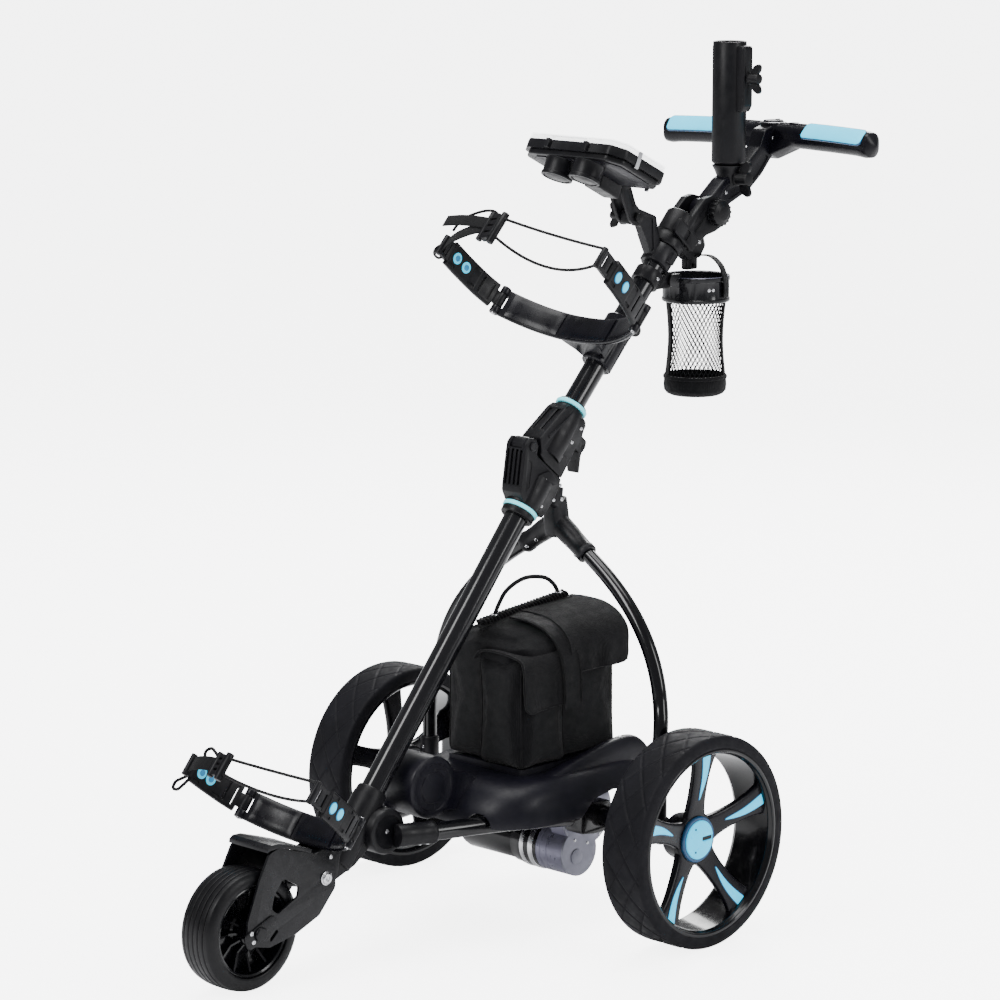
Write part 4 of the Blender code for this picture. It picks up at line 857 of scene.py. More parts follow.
def front_rim():
    rim = lathe(mirrored([
        (0.0064, -0.0225), (0.015, -0.0225), (0.0175, -0.0215), (0.0185, -0.018),
        (0.019, -0.008), (0.0215, -0.0055), (0.05, -0.0055), (0.0515, -0.0075),
        (0.0525, -0.02), (0.054, -0.0245), (0.0565, -0.0255), (0.0586, -0.0245)]),
        FRONT_AXLE, X, 60)
    rib = [(0.017, -0.019), (0.03, -0.0125), (0.0535, -0.019),
           (0.0535, 0.019), (0.03, 0.0125), (0.017, 0.019)]
    for k in range(12):
        out = radial(2 * pi * k / 12)
        rim = join(rim, prism(rib, FRONT_AXLE, out, X, quarter_turn(out), -0.0014, 0.0014))
    put(rim, 'front_rim_cast', 'gloss_black', 'front_rim', sharp=35)


front_tyre()
front_rim()
put(lathe(mirrored([(0, -0.043), (0.008, -0.043), (0.0095, -0.0415), (0.0095, -0.0375),
                    (0.0058, -0.0368)]), FRONT_AXLE, X, 6),
    'front_axle_bolt', 'plate_black', 'front_axle', bevel=0.0004)

# ================================================================ front junction and fork
put(ring(LOW_TUBE_START, LOW_TUBE_END, LOW_TUBE_R, LOW_TUBE_R - WALL, 36),
    'lower_tube_painted', 'tube_paint', 'lower_main_tube')


def front_junction():
    """Casting: lower tube socket, cross boss, two side sockets and a tongue to the fork."""
    start = low_point(-0.533)
    casting = lathe([(0, 0), (0.0195, 0), (0.0212, 0.0012), (0.0215, 0.003), (0.0215, 0.096),
                     (0.0205, 0.1), (0.02, 0.106), (0.019, 0.108), (0, 0.108)],
                    start, low_point(-0.425) - start, 40)
    casting = join(casting, lathe(mirrored([(0, -0.033), (0.0255, -0.033), (0.0285, -0.032),
                                            (0.03, -0.029)]), JUNCTION, X, 44))
    for side in (1, -1):
        d = SIDE_DIR[side]
        casting = join(casting, lathe([
            (0, 0), (0.015, 0), (0.015, 0.03), (0.0145, 0.034), (0.0145, 0.048),
            (0.0152, 0.05), (0.0152, 0.055), (0.0145, 0.056), (0, 0.056)],
            SIDE_FRONT[side] - d * 0.03, d, 28))
    casting = join(casting, prism_x(rounded([
        (-0.34, 0.16), (-0.372, 0.16), (-0.412, 0.156), (-0.449, 0.146), (-0.444, 0.112),
        (-0.412, 0.104), (-0.356, 0.124), (-0.32, 0.15)], 0.006), -0.017, 0.017, 0.002))
    casting = cut(casting, prism(rectangle(-0.05, 0.0231, 0.05, 0.08), low_point(-0.515),
                                 X, LOW_FRONT, LOW_AXIS, -0.0208, 0.025))
    casting = cut(casting, cyl(LOW_TUBE_START - LOW_AXIS * GAP, LOW_TUBE_END,
                               LOW_TUBE_R + GAP / 2, 36))
    for side in (1, -1):
        start, d = SIDE_FRONT[side], SIDE_DIR[side]
        casting = cut(casting, cyl(start - d * GAP, start + d * 0.05, SIDE_R + GAP / 2, 24))
        # recessed end face of the boss
        casting = cut(casting, lathe([(0, 0.0305), (0.012, 0.0305), (0.0215, 0.0315),
                                      (0.0225, 0.034), (0, 0.034)], JUNCTION, X * side, 36))
    put(casting, 'front_junction_casting', 'moulded_black', 'front_junction', bevel=0.0009,
        sharp=38)
    places = []
    for side in (1, -1):
        start, d = SIDE_FRONT[side], SIDE_DIR[side]
        aside = (X * side - d * (X * side).dot(d)).normalized()
        down = d.cross(aside) * (1 if d.cross(aside).z < 0 else -1)
        for along in (0.006, 0.018):
            places.append((start + d * along + down * 0.0142, down))
        places.append(side_screw(side, 0.0305, JUNCTION.y, JUNCTION.z))
    screws('front_junction_screws', 'frame', places, 0.003)


# (y, z) outlines of the fork
FORK_CHEEK = [(-0.502, 0.18), (-0.44, 0.16), (-0.408, 0.14), (-0.408, 0.111),
              (-0.436, 0.08), (-0.476, 0.064), (-0.52, 0.056), (-0.545, 0.062),
              (-0.556, 0.078), (-0.556, 0.095), (-0.535, 0.145), (-0.518, 0.176)]
FORK_WINDOW = [(-0.496, 0.14), (-0.47, 0.125), (-0.472, 0.112), (-0.506, 0.096),
               (-0.516, 0.104), (-0.511, 0.122)]
FORK_ROOF = [(-0.5215, 0.1775), (-0.5205, 0.1825), (-0.515, 0.186), (-0.502, 0.1856),
             (-0.476, 0.1775), (-0.448, 0.168), (-0.449, 0.1632), (-0.477, 0.1733),
             (-0.503, 0.18), (-0.516, 0.1795)]
FORK_GUSSET = [(-0.442, 0.15), (-0.406, 0.162), (-0.385, 0.148), (-0.39, 0.118),
               (-0.42, 0.102), (-0.442, 0.108)]


def front_fork():
    """Folded plate: two cheeks with a window and a long slot, a roof and two bushes."""
    fork = None
    slant = Vector((0, cos(radians(56)), sin(radians(56)) * 0.6)).normalized()
    for side in (1, -1):
        x0, x1 = sorted((side * 0.033, side * 0.0366))
        cheek = prism_x(rounded(FORK_CHEEK, 0.011, 6), x0, x1)
        cheek = cut(cheek, prism_x(rounded(FORK_WINDOW, 0.006, 5), x0 - 0.01, x1 + 0.01))
        cheek = cut(cheek, prism(rounded(centred(0.0085, 0.0024), 0.0022, 5),
                                 Vector((x0, -0.513, 0.07)), slant, quarter_turn(slant), X,
                                 -0.01, 0.02))
        fork = cheek if fork is None else join(fork, cheek)
    fork = join(fork, prism_x(FORK_ROOF, -0.0363, 0.0363))
    for side in (1, -1):
        x0, x1 = sorted((side * 0.0174, side * 0.0345))
        fork = join(fork, cyl_x(x0, x1, FORK_BOLT.y, FORK_BOLT.z, 0.009, 24))
    fork = cut(fork, bore_x(FORK_BOLT, 0.0046, 20, 0.06), bore_x(FRONT_AXLE, 0.0063, 20, 0.06))
    put(fork, 'front_fork_plate', 'plate_black', 'front_fork', bevel=0.0008, steps=3)


def fork_fittings():
    slant = Vector((0, 0.93, 0.37))
    straps = [prism(rounded(rectangle(-0.03, -0.0105, 0.026, 0.0105), 0.008, 6),
                    Vector((0, FRONT_AXLE.y + 0.004, FRONT_AXLE.z + 0.002)), slant,
                    quarter_turn(slant), X, *sorted((side * 0.0367, side * 0.0386)))
              for side in (1, -1)]
    put(merge(*straps), 'front_axle_straps', 'plate_black', body='frame', bevel=0.0005)
    bolt = lathe([(0, -0.0415), (0.006, -0.0415), (0.0075, -0.04), (0.0075, -0.037),
                  (0.004, -0.037), (0.004, 0.037), (0.009, 0.037), (0.009, 0.0382),
                  (0.0075, 0.0384), (0.0075, 0.04), (0.006, 0.0415), (0, 0.0415)],
                 FORK_BOLT, X, 24)
    bolt = cut(bolt, lathe([(0, 0.04), (0.003, 0.04), (0.003, 0.043), (0, 0.043)],
                           FORK_BOLT, X, 4))
    put(bolt, 'fork_bolt_head', 'bright_steel', 'fork_bolt', bevel=0.0003)
    screws('front_fork_screws', 'frame', [
        side_screw(side, 0.0387, FRONT_AXLE.y + dy, FRONT_AXLE.z + dz)
        for side in (1, -1) for dy, dz in ((-0.0145, 0.0035), (-0.0115, -0.008))], 0.003)
    gussets = [prism_side(rounded(FORK_GUSSET, 0.007, 5), side, 0.0174, 0.0215)
               for side in (1, -1)]
    put(merge(*gussets), 'front_fork_gussets', 'plate_black', body='frame', bevel=0.0006)
    screws('front_gusset_screws', 'frame',
           [side_screw(side, 0.0214, -0.402, 0.146) for side in (1, -1)], 0.003)


front_junction()
front_fork()
fork_fittings()

# ================================================================ axle, side tubes, stays


def axle_bore():
    return bore_x(AXLE, AXLE_OUTER_R + GAP / 2, 30, 0.3)


def side_tube(side, tag):
    """Side tube with the block that holds it to the axle tube."""
    piece = prism_side(rounded([
        (-0.045, 0.123), (-0.045, 0.158), (-0.02, 0.162), (0.01, 0.16), (0.019, 0.148),
        (0.019, 0.128), (0.006, 0.119), (-0.02, 0.119)], 0.006, 5), side, 0.09, 0.118, 0.002)
    front, rear = SIDE_FRONT[side], SIDE_REAR[side]
    path = [front + (rear - front) * (k / 14) + Z * (0.0022 * sin(pi * (k / 14)) ** 2)
            for k in range(14)]
    piece = cut(join(piece, sweep(path, circle(SIDE_R, 32))), axle_bore())
    put(piece, 'side_tube_%s_painted' % tag, 'tube_paint', 'side_tube_' + tag, bevel=0.0006,
        sharp=35)


def stay(side, tag):
    """Bent stay from the axle tube up to the Y bracket, with its foot fitting."""
    foot = Vector((side * 0.211, 0.0, 0.166))
    middle = Vector((side * 0.203, 0.014, 0.302))
    path = bezier([foot, foot + Vector((side * 0.002, 0.002, 0.1)),
                   foot + Vector((side * 0.0045, 0.004, 0.11)), middle], 10)[:-1]
    path += bezier([middle, Vector((side * 0.19, 0.019, 0.385)),
                    Vector((side * 0.128, 0.0265, 0.433)), STAY_SHOULDER[side]], 22)[:-1]
    path += [STAY_SHOULDER[side], STAY_HEAD[side]]
    tube = sweep(path, circle(STAY_R, 28), Y)
    x0, x1 = sorted((side * 0.2, side * 0.222))
    fitting = ring_x(x0, x1, AXLE, 0.019, AXLE_OUTER_R + GAP / 2, 36, 0.0012)
    fitting = join(fitting, lathe([(0, 0.0), (0.013, 0.0), (0.013, 0.03), (0.0122, 0.034),
                                   (0.0114, 0.036), (0, 0.036)],
                                  Vector((side * 0.211, 0, 0.156)), Z, 28))
    fitting = cut(fitting, axle_bore())
    put(fitting, 'stay_%s_fitting' % tag, 'moulded_black', body='frame', bevel=0.0005)
    put(cut(tube, bore_x(AXLE, 0.019, 30, 0.3)), 'stay_%s_painted' % tag, 'tube_paint',
        'stay_' + tag)
    screws('stay_%s_screws' % tag, 'frame',
           [(Vector((side * 0.211, -0.0126, z)), -Y) for z in (0.178, 0.166)], 0.0022)


for tag, x0, x1 in (('left', -0.2235, 0.0562), ('right', 0.0875, 0.2235)):
    put(ring_x(x0, x1, AXLE, AXLE_OUTER_R, AXLE_INNER_R, 30, 0.0006),
        'axle_tube_%s_painted' % tag, 'tube_paint', 'axle_tube_' + tag)
for side, tag in SIDES:
    side_tube(side, tag)
    stay(side, tag)

# ================================================================ fold hinge


def hinge_lower():
    """Lower casting: collar round the tube and a forked arm that carries the pin."""
    casting = lathe([(LOW_TUBE_R - 0.004, -0.012), (0.0215, -0.012), (0.0228, -0.0108),
                     (0.0228, -0.0034), (0.02, -0.0034), (0.02, 0.003), (0.0235, 0.003),
                     (0.024, 0.006), (0.024, 0.048), (LOW_TUBE_R - 0.004, 0.048)],
                    LOW_ORIGIN, LOW_AXIS, 40)
    casting = join(casting, prism_x(rounded(on_low([
        (0.006, 0.0215), (0.01, 0.03), (0.016, 0.0345), (0.056, 0.058), (0.066, 0.063),
        (0.076, 0.0615), (0.0815, 0.051), (0.077, 0.041), (0.0655, 0.036), (0.0655, 0.018),
        (0.0655, -0.024), (0.04, -0.03), (0.006, -0.026), (0.004, -0.018), (0.004, 0.018)]),
        0.0035), -0.018, 0.018, 0.002))
    casting = cut(casting, bore_x(HINGE, 0.014, 30, 0.0112), prism_x(on_low([
        (0.064, 0.0365), (0.064, 0.05), (0.1, 0.07), (0.1, 0.01), (0.066, 0.01)]),
        -0.0112, 0.0112))
    # grooves up the front face, between ribs
    for x in (-0.0115, -0.004, 0.004, 0.0115):
        casting = cut(casting, prism_x(rounded(on_low([
            (0.018, 0.0325), (0.018, 0.05), (0.058, 0.075), (0.0585, 0.056), (0.02, 0.033)]),
            0.002, 3), x - 0.0021, x + 0.0021))
    casting = cut(casting, cyl(low_point(-0.02), LOW_TUBE_END + LOW_AXIS * GAP,
                               LOW_TUBE_R + GAP / 2, 36))
    for side in (1, -1):
        # a pocket and a raised web on each flank
        casting = cut(casting, prism_side(rounded(on_low([
            (0.02, 0.027), (0.054, 0.048), (0.052, 0.037), (0.022, 0.02)]), 0.003),
            side, 0.0172, 0.025))
        casting = join(casting, prism_side(rounded(on_low([
            (0.004, -0.01), (0.012, 0.012), (0.046, 0.018), (0.062, 0.004), (0.058, -0.021),
            (0.02, -0.024)]), 0.004), side, 0.017, 0.0208))
    casting = cut(casting, bore_x(HINGE, 0.0038, 20))
    put(casting, 'hinge_lower_body', 'moulded_black', 'hinge_lower_casting', bevel=0.0007,
        sharp=38)
    band = lathe([(0.0202, -0.003), (0.0236, -0.003), (0.0245, -0.002), (0.0245, 0.0016),
                  (0.0236, 0.0026), (0.0202, 0.0026)], LOW_ORIGIN, LOW_AXIS, 48)
    put(band, 'lower_collar_band', 'pale_cyan', 'lower_collar_ring', sharp=30)
    screws('hinge_lower_screws', 'frame', [
        side_screw(side, x, *tuple(low_point(along, out))[1:])
        for side in (1, -1)
        for x, along, out in ((0.0206, 0.047, 0.004), (0.0206, 0.016, -0.011),
                              (0.0178, 0.058, -0.027), (0.0178, 0.036, -0.0285))])
    pin = lathe(mirrored([(0, -0.0205), (0.005, -0.0205), (0.006, -0.0198),
                          (0.006, -0.0184), (0.0036, -0.0184)]), HINGE, X, 16)
    put(pin, 'hinge_pin_head', 'plate_black', 'hinge_pin', sharp=30)


def y_bracket():
    """Rounded spine behind the hinge and two thick sockets for the stays."""
    # centre, half width, half depth
    spine = [(low_point(0.06, -0.036), 0.0125, 0.0075), (low_point(0.04, -0.044), 0.013, 0.0125),
             (Vector((0, 0.029, 0.542)), 0.0128, 0.0145),
             (Vector((0, 0.03, 0.524)), 0.014, 0.0155),
             (Vector((0, 0.031, 0.508)), 0.0165, 0.0155),
             (Vector((0, 0.0312, 0.496)), 0.015, 0.013)]
    centres = [station[0] for station in spine]
    loops = []
    for i, (p, half_x, half_y) in enumerate(spine):
        w = X.cross(direction(centres, i)).normalized()
        loops.append([p + X * a + w * b
                      for a, b in superellipse(half_x, half_y, 2 / 3.2, 32)])
    bracket = loft(loops)
    for side in (1, -1):
        axis = SOCKET_END[side] - SOCKET_START[side]
        h = axis.length
        bracket = join(bracket, lathe([
            (0, 0), (0.015, 0), (0.0148, h * 0.35), (0.0138, h * 0.55), (0.0134, h * 0.84),
            (0.0142, h * 0.86), (0.0142, h * 0.98), (0.0134, h), (0, h)],
            SOCKET_START[side], axis, 36))
    for side in (1, -1):
        head = STAY_HEAD[side]
        d = (STAY_SHOULDER[side] - head).normalized()
        bracket = cut(bracket, cyl(head - d * GAP, head + d * 0.038, STAY_R + GAP, 24))
    bracket = cut(bracket, cyl(low_point(-0.02), low_point(0.08), 0.0243, 36))
    bracket = cut(bracket, prism(rectangle(-0.03, -0.0304, 0.03, 0.03), LOW_ORIGIN,
                                 X, LOW_FRONT, LOW_AXIS, 0.004, 0.075))
    put(bracket, 'y_bracket_casting', 'moulded_black', 'y_bracket', bevel=0.0008, sharp=38)
    places = []
    for side in (1, -1):
        start = SOCKET_START[side]
        d = (SOCKET_END[side] - start).normalized()
        forward = (-Y - d * (-Y).dot(d)).normalized()
        down = d.cross(forward) * (1 if d.cross(forward).z < 0 else -1)
        out = (forward * 0.8 + down * 0.6).normalized()
        for along, radius in ((0.034, 0.0133), (0.054, 0.0139)):
            places.append((start + d * along + out * radius, out))
    places += [side_screw(side, 0.0135, 0.026, 0.547) for side in (1, -1)]
    screws('y_bracket_screws', 'frame', places)


def hinge_upper():
    """Upper casting: tapered body, pin knuckle, ridges, flank covers and latch ears."""
    casting = lathe([(0, -0.078), (0.0235, -0.078), (0.0238, -0.05), (0.0225, -0.02),
                     (0.0208, -0.006), (0.0195, -0.003), (0, -0.003)],
                    TOP_ORIGIN, TOP_AXIS, 40)
    outline = on_low([(0.0662, 0.0165), (0.0662, -0.0235)])
    outline += on_top([(-0.056, -0.03), (-0.01, -0.0245), (-0.005, -0.018), (-0.005, 0.018),
                       (-0.015, 0.0235), (-0.064, 0.034)])
    outline += on_low([(0.087, 0.044), (0.076, 0.033), (0.07, 0.03)])
    casting = join(casting, prism_x(rounded(outline, 0.003), -0.0175, 0.0175, 0.002))
    knuckle = bore_x(HINGE, 0.0115, 30, 0.0107)
    knuckle = join(knuckle, prism_x(on_low([
        (0.066, 0.042), (0.0665, 0.025), (0.095, 0.025), (0.08, 0.054)]), -0.0107, 0.0107))
    casting = join(casting, knuckle)
    for side in (1, -1):
        casting = join(casting, prism_side(rounded(on_top([
            (-0.008, -0.017), (-0.01, -0.004), (-0.044, 0.005), (-0.068, -0.008),
            (-0.062, -0.024), (-0.03, -0.025)]), 0.004), side, 0.0165, 0.0212))
        casting = join(casting, prism_side(rounded(on_top([
            (-0.012, 0.008), (-0.012, 0.0105), (-0.062, 0.026), (-0.064, 0.022)]), 0.001, 2),
            side, 0.015, 0.0192))
    for x in (-0.0075, 0.0075):
        casting = cut(casting, prism_x(on_top([
            (-0.018, 0.0215), (-0.018, 0.04), (-0.06, 0.05), (-0.057, 0.031)]),
            x - 0.003, x + 0.003))
    casting = cut(casting, cyl(TOP_TUBE_START - TOP_AXIS * GAP, top_point(0.02),
                               TOP_TUBE_R + GAP / 2, 36),
                  bore_x(HINGE, 0.0042, 20))
    casting = cut(casting, prism(rectangle(-0.08, -0.12, 0.0355, 0.0), low_point(0.0658),
                                 LOW_FRONT, LOW_AXIS, X, -0.06, 0.06))
    for side in (1, -1):
        casting = join(casting, prism_side(rounded(on_top([
            (-0.022, -0.02), (-0.023, -0.042), (-0.03, -0.0455), (-0.037, -0.0455),
            (-0.042, -0.042), (-0.044, -0.02)]), 0.002, 3), side, 0.0094, 0.014))
    casting = cut(casting, bore_x(LATCH, 0.0026, 16))
    put(casting, 'hinge_upper_body', 'moulded_black', 'hinge_upper_casting', bevel=0.0007,
        sharp=38)
    band = lathe([(0.0152, -0.0026), (0.0216, -0.0026), (0.0225, -0.0016), (0.0225, 0.0018),
                  (0.0214, 0.003), (0.0152, 0.003)], TOP_ORIGIN, TOP_AXIS, 48)
    put(band, 'upper_collar_band', 'pale_cyan', 'upper_collar_ring', sharp=30)
    screws('hinge_upper_screws', 'upper_frame', [
        side_screw(side, 0.021, *tuple(top_point(along, out))[1:])
        for side in (1, -1) for along, out in ((-0.02, -0.015), (-0.044, -0.013))])
    lip = lathe([(0.0152, 0.0031), (0.02, 0.0031), (0.02, 0.0052), (0.019, 0.006),
                 (0.0152, 0.006)], TOP_ORIGIN, TOP_AXIS, 40)
    put(lip, 'upper_collar_lip', 'moulded_black', body='upper_frame', sharp=30)


def fold_latch():
    lever = prism_x(rounded(on_top([
        (-0.025, -0.0405), (-0.027, -0.047), (-0.042, -0.052), (-0.06, -0.064),
        (-0.062, -0.06), (-0.05, -0.046), (-0.056, -0.0405), (-0.056, -0.0365),
        (-0.04, -0.034), (-0.027, -0.0345)]), 0.0025), -0.009, 0.009, 0.001)
    lever = join(lever, bore_x(LATCH, 0.0022, 16, 0.0138))
    put(lever, 'fold_latch_lever', 'moulded_black', 'fold_latch', bevel=0.0008)


hinge_lower()
y_bracket()
hinge_upper()
put(ring(TOP_TUBE_START, TOP_TUBE_END, TOP_TUBE_R, TOP_TUBE_R - WALL, 36),
    'upper_tube_painted', 'tube_paint', 'upper_tube')
fold_latch()

# ================================================================ bag cradles
SADDLE_H = 0.04       # saddle height along the tube
KNUCKLE_H = 0.01      # height of each end knuckle
UPPER_SADDLE, LOWER_SADDLE = top_point(0.094), low_point(-0.515)


def oval(p, normal, long_axis, radius, height, ratio):
    """Raised oval disc on a surface point."""
    u = (long_axis - normal * long_axis.dot(normal)).normalized()
    v = normal.cross(u)
    return loft([[p + u * (a * k) + v * (b * ratio * k) + normal * h
                  for a, b in circle(radius, 36)]
                 for k, h in ((1.0, -0.0006), (1.0, height * 0.6), (0.92, height))])


def saddle_pad(name, body, saddle_point, t, n):
    """Soft pad on the face towards the bag, in three sections."""
    pads = []
    w = t.normalized()
    half = SADDLE_H / 2 - 0.0022
    for a, b in ((-0.92, -0.33), (-0.27, 0.40), (0.46, 0.92)):
        path = [saddle_point(a + (b - a) * i / 14, 0.0041) for i in range(15)]
        loops = []
        for i, p in enumerate(path):
            thick = 0.0022 if 0 < i < 14 else 0.0008
            up = direction(path, i).cross(w) * -1
            if up.dot(n) < 0:
                up = -up
            loops.append([p + w * across + up * lift for across, lift in (
                (-half, -0.0008), (half, -0.0008), (half, thick * 0.3),
                (half - 0.0025, thick * 0.85), (half * 0.45, thick * 1.15), (0, thick * 1.2),
                (-half * 0.45, thick * 1.15), (0.0025 - half, thick * 0.85),
                (-half, thick * 0.3))])
        pads.append(loft(loops))
    put(merge(*pads), name, 'satin_black', body=body, sharp=50)


def cradle_arm(prefix, side, tag, body, pivot, arm_end, t):
    """Curved arm on a saddle's pivot; returns its end and the direction there."""
    bend_1 = pivot + (arm_end - pivot) * 0.35 + X * (side * 0.005)
    bend_2 = pivot + (arm_end - pivot) * 0.72 + X * (side * 0.0035)
    start = pivot + (bend_1 - pivot).normalized() * 0.012
    centre = smooth_path([start, bend_1, bend_2, arm_end], 10)
    count = len(centre)
    arm = sweep(centre, rounded_rect(0.0085, 0.036, 0.003, 4), t)
    arm = join(arm, sweep([pivot, pivot + (bend_1 - pivot) * 0.45],
                          rounded_rect(0.006, SADDLE_H - 2 * KNUCKLE_H - 0.0012, 0.0012), t))
    reach = t * (SADDLE_H / 2 - KNUCKLE_H - 0.0004)
    arm = join(arm, cyl(pivot - reach, pivot + reach, 0.0064, 20, 0.0004))
    end_dir = (arm_end - bend_2).normalized()
    arm = join(arm, sweep([arm_end - end_dir * 0.004, arm_end + end_dir * 0.006],
                          rounded_rect(0.007, 0.026, 0.0012), t))
    arm = cut(arm, cyl(pivot - t * 0.03, pivot + t * 0.03, 0.0024, 14))
    # two through slots across the arm
    for q0, q1 in ((0.12, 0.22), (0.30, 0.40)):
        i0, i1 = int(count * q0), int(count * q1)
        along = (centre[i1] - centre[i0]).normalized()
        arm = cut(arm, prism(rounded(centred(0.0016, 0.0125), 0.001, 3),
                             centre[(i0 + i1) // 2], along, t, along.cross(t).normalized(),
                             -0.02, 0.02))
    # shallow pockets along both edges, on both faces
    for q in (0.5, 0.9):
        i = int((count - 2) * q)
        along = (centre[i + 1] - centre[i - 1]).normalized()
        for edge in (1, -1):
            arm = cut(arm, *[prism(rounded(centred(0.006, 0.0022), 0.001, 3),
                                   centre[i] + t * (edge * 0.013), along, t,
                                   along.cross(t).normalized(), w0, w1)
                             for w0, w1 in ((0.003, 0.02), (-0.02, -0.003))])
    arm_body = '%s_arm_%s' % (prefix, tag)
    put(arm, arm_body + '_moulding', 'moulded_black', '%s_bag_arm_%s' % (prefix, tag),
        bevel=0.0006, sharp=38)
    # outer face: ovals with a darker rim; inner face: rings with a darker centre
    rings, ovals, borders = [], [], []
    for q in (0.62, 0.83):
        i = int(count * q)
        p = centre[i]
        out = (centre[i + 1] - centre[i - 1]).normalized().cross(t).normalized()
        if out.dot(X) * side < 0:
            out = -out
        outer, inner = p + out * 0.0043, p - out * 0.0043
        borders.append(oval(outer, out, t, 0.0082, 0.0008, 0.78))
        ovals.append(oval(outer, out, t, 0.007, 0.0014, 0.76))
        rings.append(oval(inner, -out, t, 0.0078, 0.0012, 0.95))
        borders.append(oval(inner, -out, t, 0.0042, 0.0018, 1.0))
    pins = []
    for q in (0.17, 0.35):
        p = centre[int(count * q)]
        pins.append(cyl(p - t * 0.0122, p + t * 0.0122, 0.001, 10))
    for pieces, suffix, colour in ((ovals, '_ovals', 'pad_cyan'), (rings, '_rings', 'pad_cyan'),
                                   (borders, '_borders', 'mid_blue'),
                                   (pins, '_pins', 'bright_steel')):
        put(merge(*pieces), arm_body + suffix, colour, body=arm_body, sharp=30)
    reach = t * (SADDLE_H / 2 + 0.0022)
    put(cyl(pivot - reach, pivot + reach, 0.0026, 14, 0.0005), arm_body + '_rivet',
        'bright_steel', body=body)
    return arm_end, end_dir


def cradle(prefix, body, centre, t, n, half, mid_out, end_out, arm_x, arm_out, mount):
    """Curved saddle with a pad and two arms.

    t runs along the tube and n forwards from it. The saddle reaches half to each side and
    stands mid_out to end_out before the tube; the arms end at arm_x, arm_out.
    """
    def saddle_point(k, lift=0.0):
        out = mid_out + (end_out - mid_out) * abs(k) ** 2.2 + lift
        return centre + X * (half * k) + n * out

    steps = 40
    path = [saddle_point(-1 + 2 * i / steps) for i in range(steps + 1)]
    saddle = sweep(path, rounded_rect(0.0068, SADDLE_H, 0.0028, 4), t)
    saddle = mount(saddle)
    pivots = {side: centre + X * (side * (half + 0.003)) + n * (end_out + 0.005)
              for side in (1, -1)}
    inner = SADDLE_H / 2 - KNUCKLE_H
    for side in (1, -1):
        pivot = pivots[side]
        saddle = cut(saddle, cyl(pivot - t * inner, pivot + t * inner, 0.0086, 24))
        for k in (1, -1):
            saddle = join(saddle, cyl(pivot + t * (k * (inner + 0.0003)),
                                      pivot + t * (k * (SADDLE_H / 2 + 0.0006)),
                                      0.0064, 20, 0.0006))
        reach = t * (SADDLE_H / 2 - 0.002)
        saddle = join(saddle, cyl(pivot - reach, pivot + reach, 0.002, 14))
    put(saddle, prefix + '_saddle_shell', 'satin_black', prefix + '_bag_saddle', bevel=0.0008,
        sharp=38)
    saddle_pad(prefix + '_saddle_pad', body, saddle_point, t, n)
    return {tag: cradle_arm(prefix, side, tag, body, pivots[side],
                            centre + X * (side * arm_x) + n * arm_out, t)
            for side, tag in SIDES}


def clamp_mount(saddle):
    """Neck, split clamp round the upper tube and a lug on its +X side."""
    c = UPPER_SADDLE
    neck = prism(rounded([(-0.04, 0.048), (0.04, 0.048), (0.024, 0.024), (0.02, 0.01),
                          (-0.02, 0.01), (-0.024, 0.024)], 0.006),
                 c, X, TOP_FRONT, TOP_AXIS, -0.018, 0.014)
    lug = prism(rounded(rectangle(0.014, -0.0085, 0.024, 0.0085), 0.002),
                c, X, TOP_FRONT, TOP_AXIS, 0.0285, 0.0495, 0.001)
    clamp = lathe([(0, 0), (0.0198, 0), (0.0215, 0.0016), (0.0215, 0.042), (0.0203, 0.0432),
                   (0.0203, 0.0452), (0.0215, 0.0464), (0.0215, 0.0734), (0.0198, 0.075),
                   (0, 0.075)], c - TOP_AXIS * 0.024, TOP_AXIS, 40)
    saddle = join(saddle, neck, clamp, lug)
    return cut(saddle, cyl(c - TOP_AXIS * 0.05, c + TOP_AXIS * 0.06, TOP_TUBE_R + GAP / 2, 36))


def foot_mount(saddle):
    neck = prism(rounded([(-0.034, 0.054), (0.034, 0.054), (0.019, 0.038), (0.018, 0.0234),
                          (-0.018, 0.0234), (-0.019, 0.038)], 0.005),
                 LOWER_SADDLE, X, LOW_FRONT, LOW_AXIS, -0.014, 0.014)
    return join(saddle, neck)


def bag_clamp_knob():
    base = UPPER_SADDLE + TOP_AXIS * 0.039 + X * 0.0246
    knob = lathe([(0, 0.011), (0.007, 0.011), (0.0076, 0.0107), (0.0078, 0.01),
                  (0.0078, 0.001), (0.007, 0.0002), (0, 0)], base, X, 24)
    lobes = []
    for k in range(14):
        a = 2 * pi * k / 14
        p = base + (TOP_FRONT * cos(a) + TOP_AXIS * sin(a)) * 0.0077
        lobes.append(cyl(p + X * 0.001, p + X * 0.0102, 0.0009, 10, 0.0003))
    put(merge(knob, *lobes), 'bag_clamp_knob_turned', 'soft_rubber', 'bag_clamp_knob', sharp=40)
    screws('upper_clamp_screws', 'upper_frame', [
        (UPPER_SADDLE + X * (side * 0.0232) + TOP_FRONT * 0.033 - TOP_AXIS * 0.002,
         (X * side + TOP_FRONT * 0.6).normalized()) for side in (1, -1)], 0.0028)


UPPER_ARMS = cradle('upper', 'upper_frame', UPPER_SADDLE, TOP_AXIS, TOP_FRONT, half=0.124,
                    mid_out=0.046, end_out=0.088, arm_x=0.146, arm_out=0.195,
                    mount=clamp_mount)
LOWER_ARMS = cradle('lower', 'frame', LOWER_SADDLE, LOW_AXIS, LOW_FRONT, half=0.098,
                    mid_out=0.052, end_out=0.086, arm_x=0.122, arm_out=0.176,
                    mount=foot_mount)
bag_clamp_knob()

# ================================================================ handle head


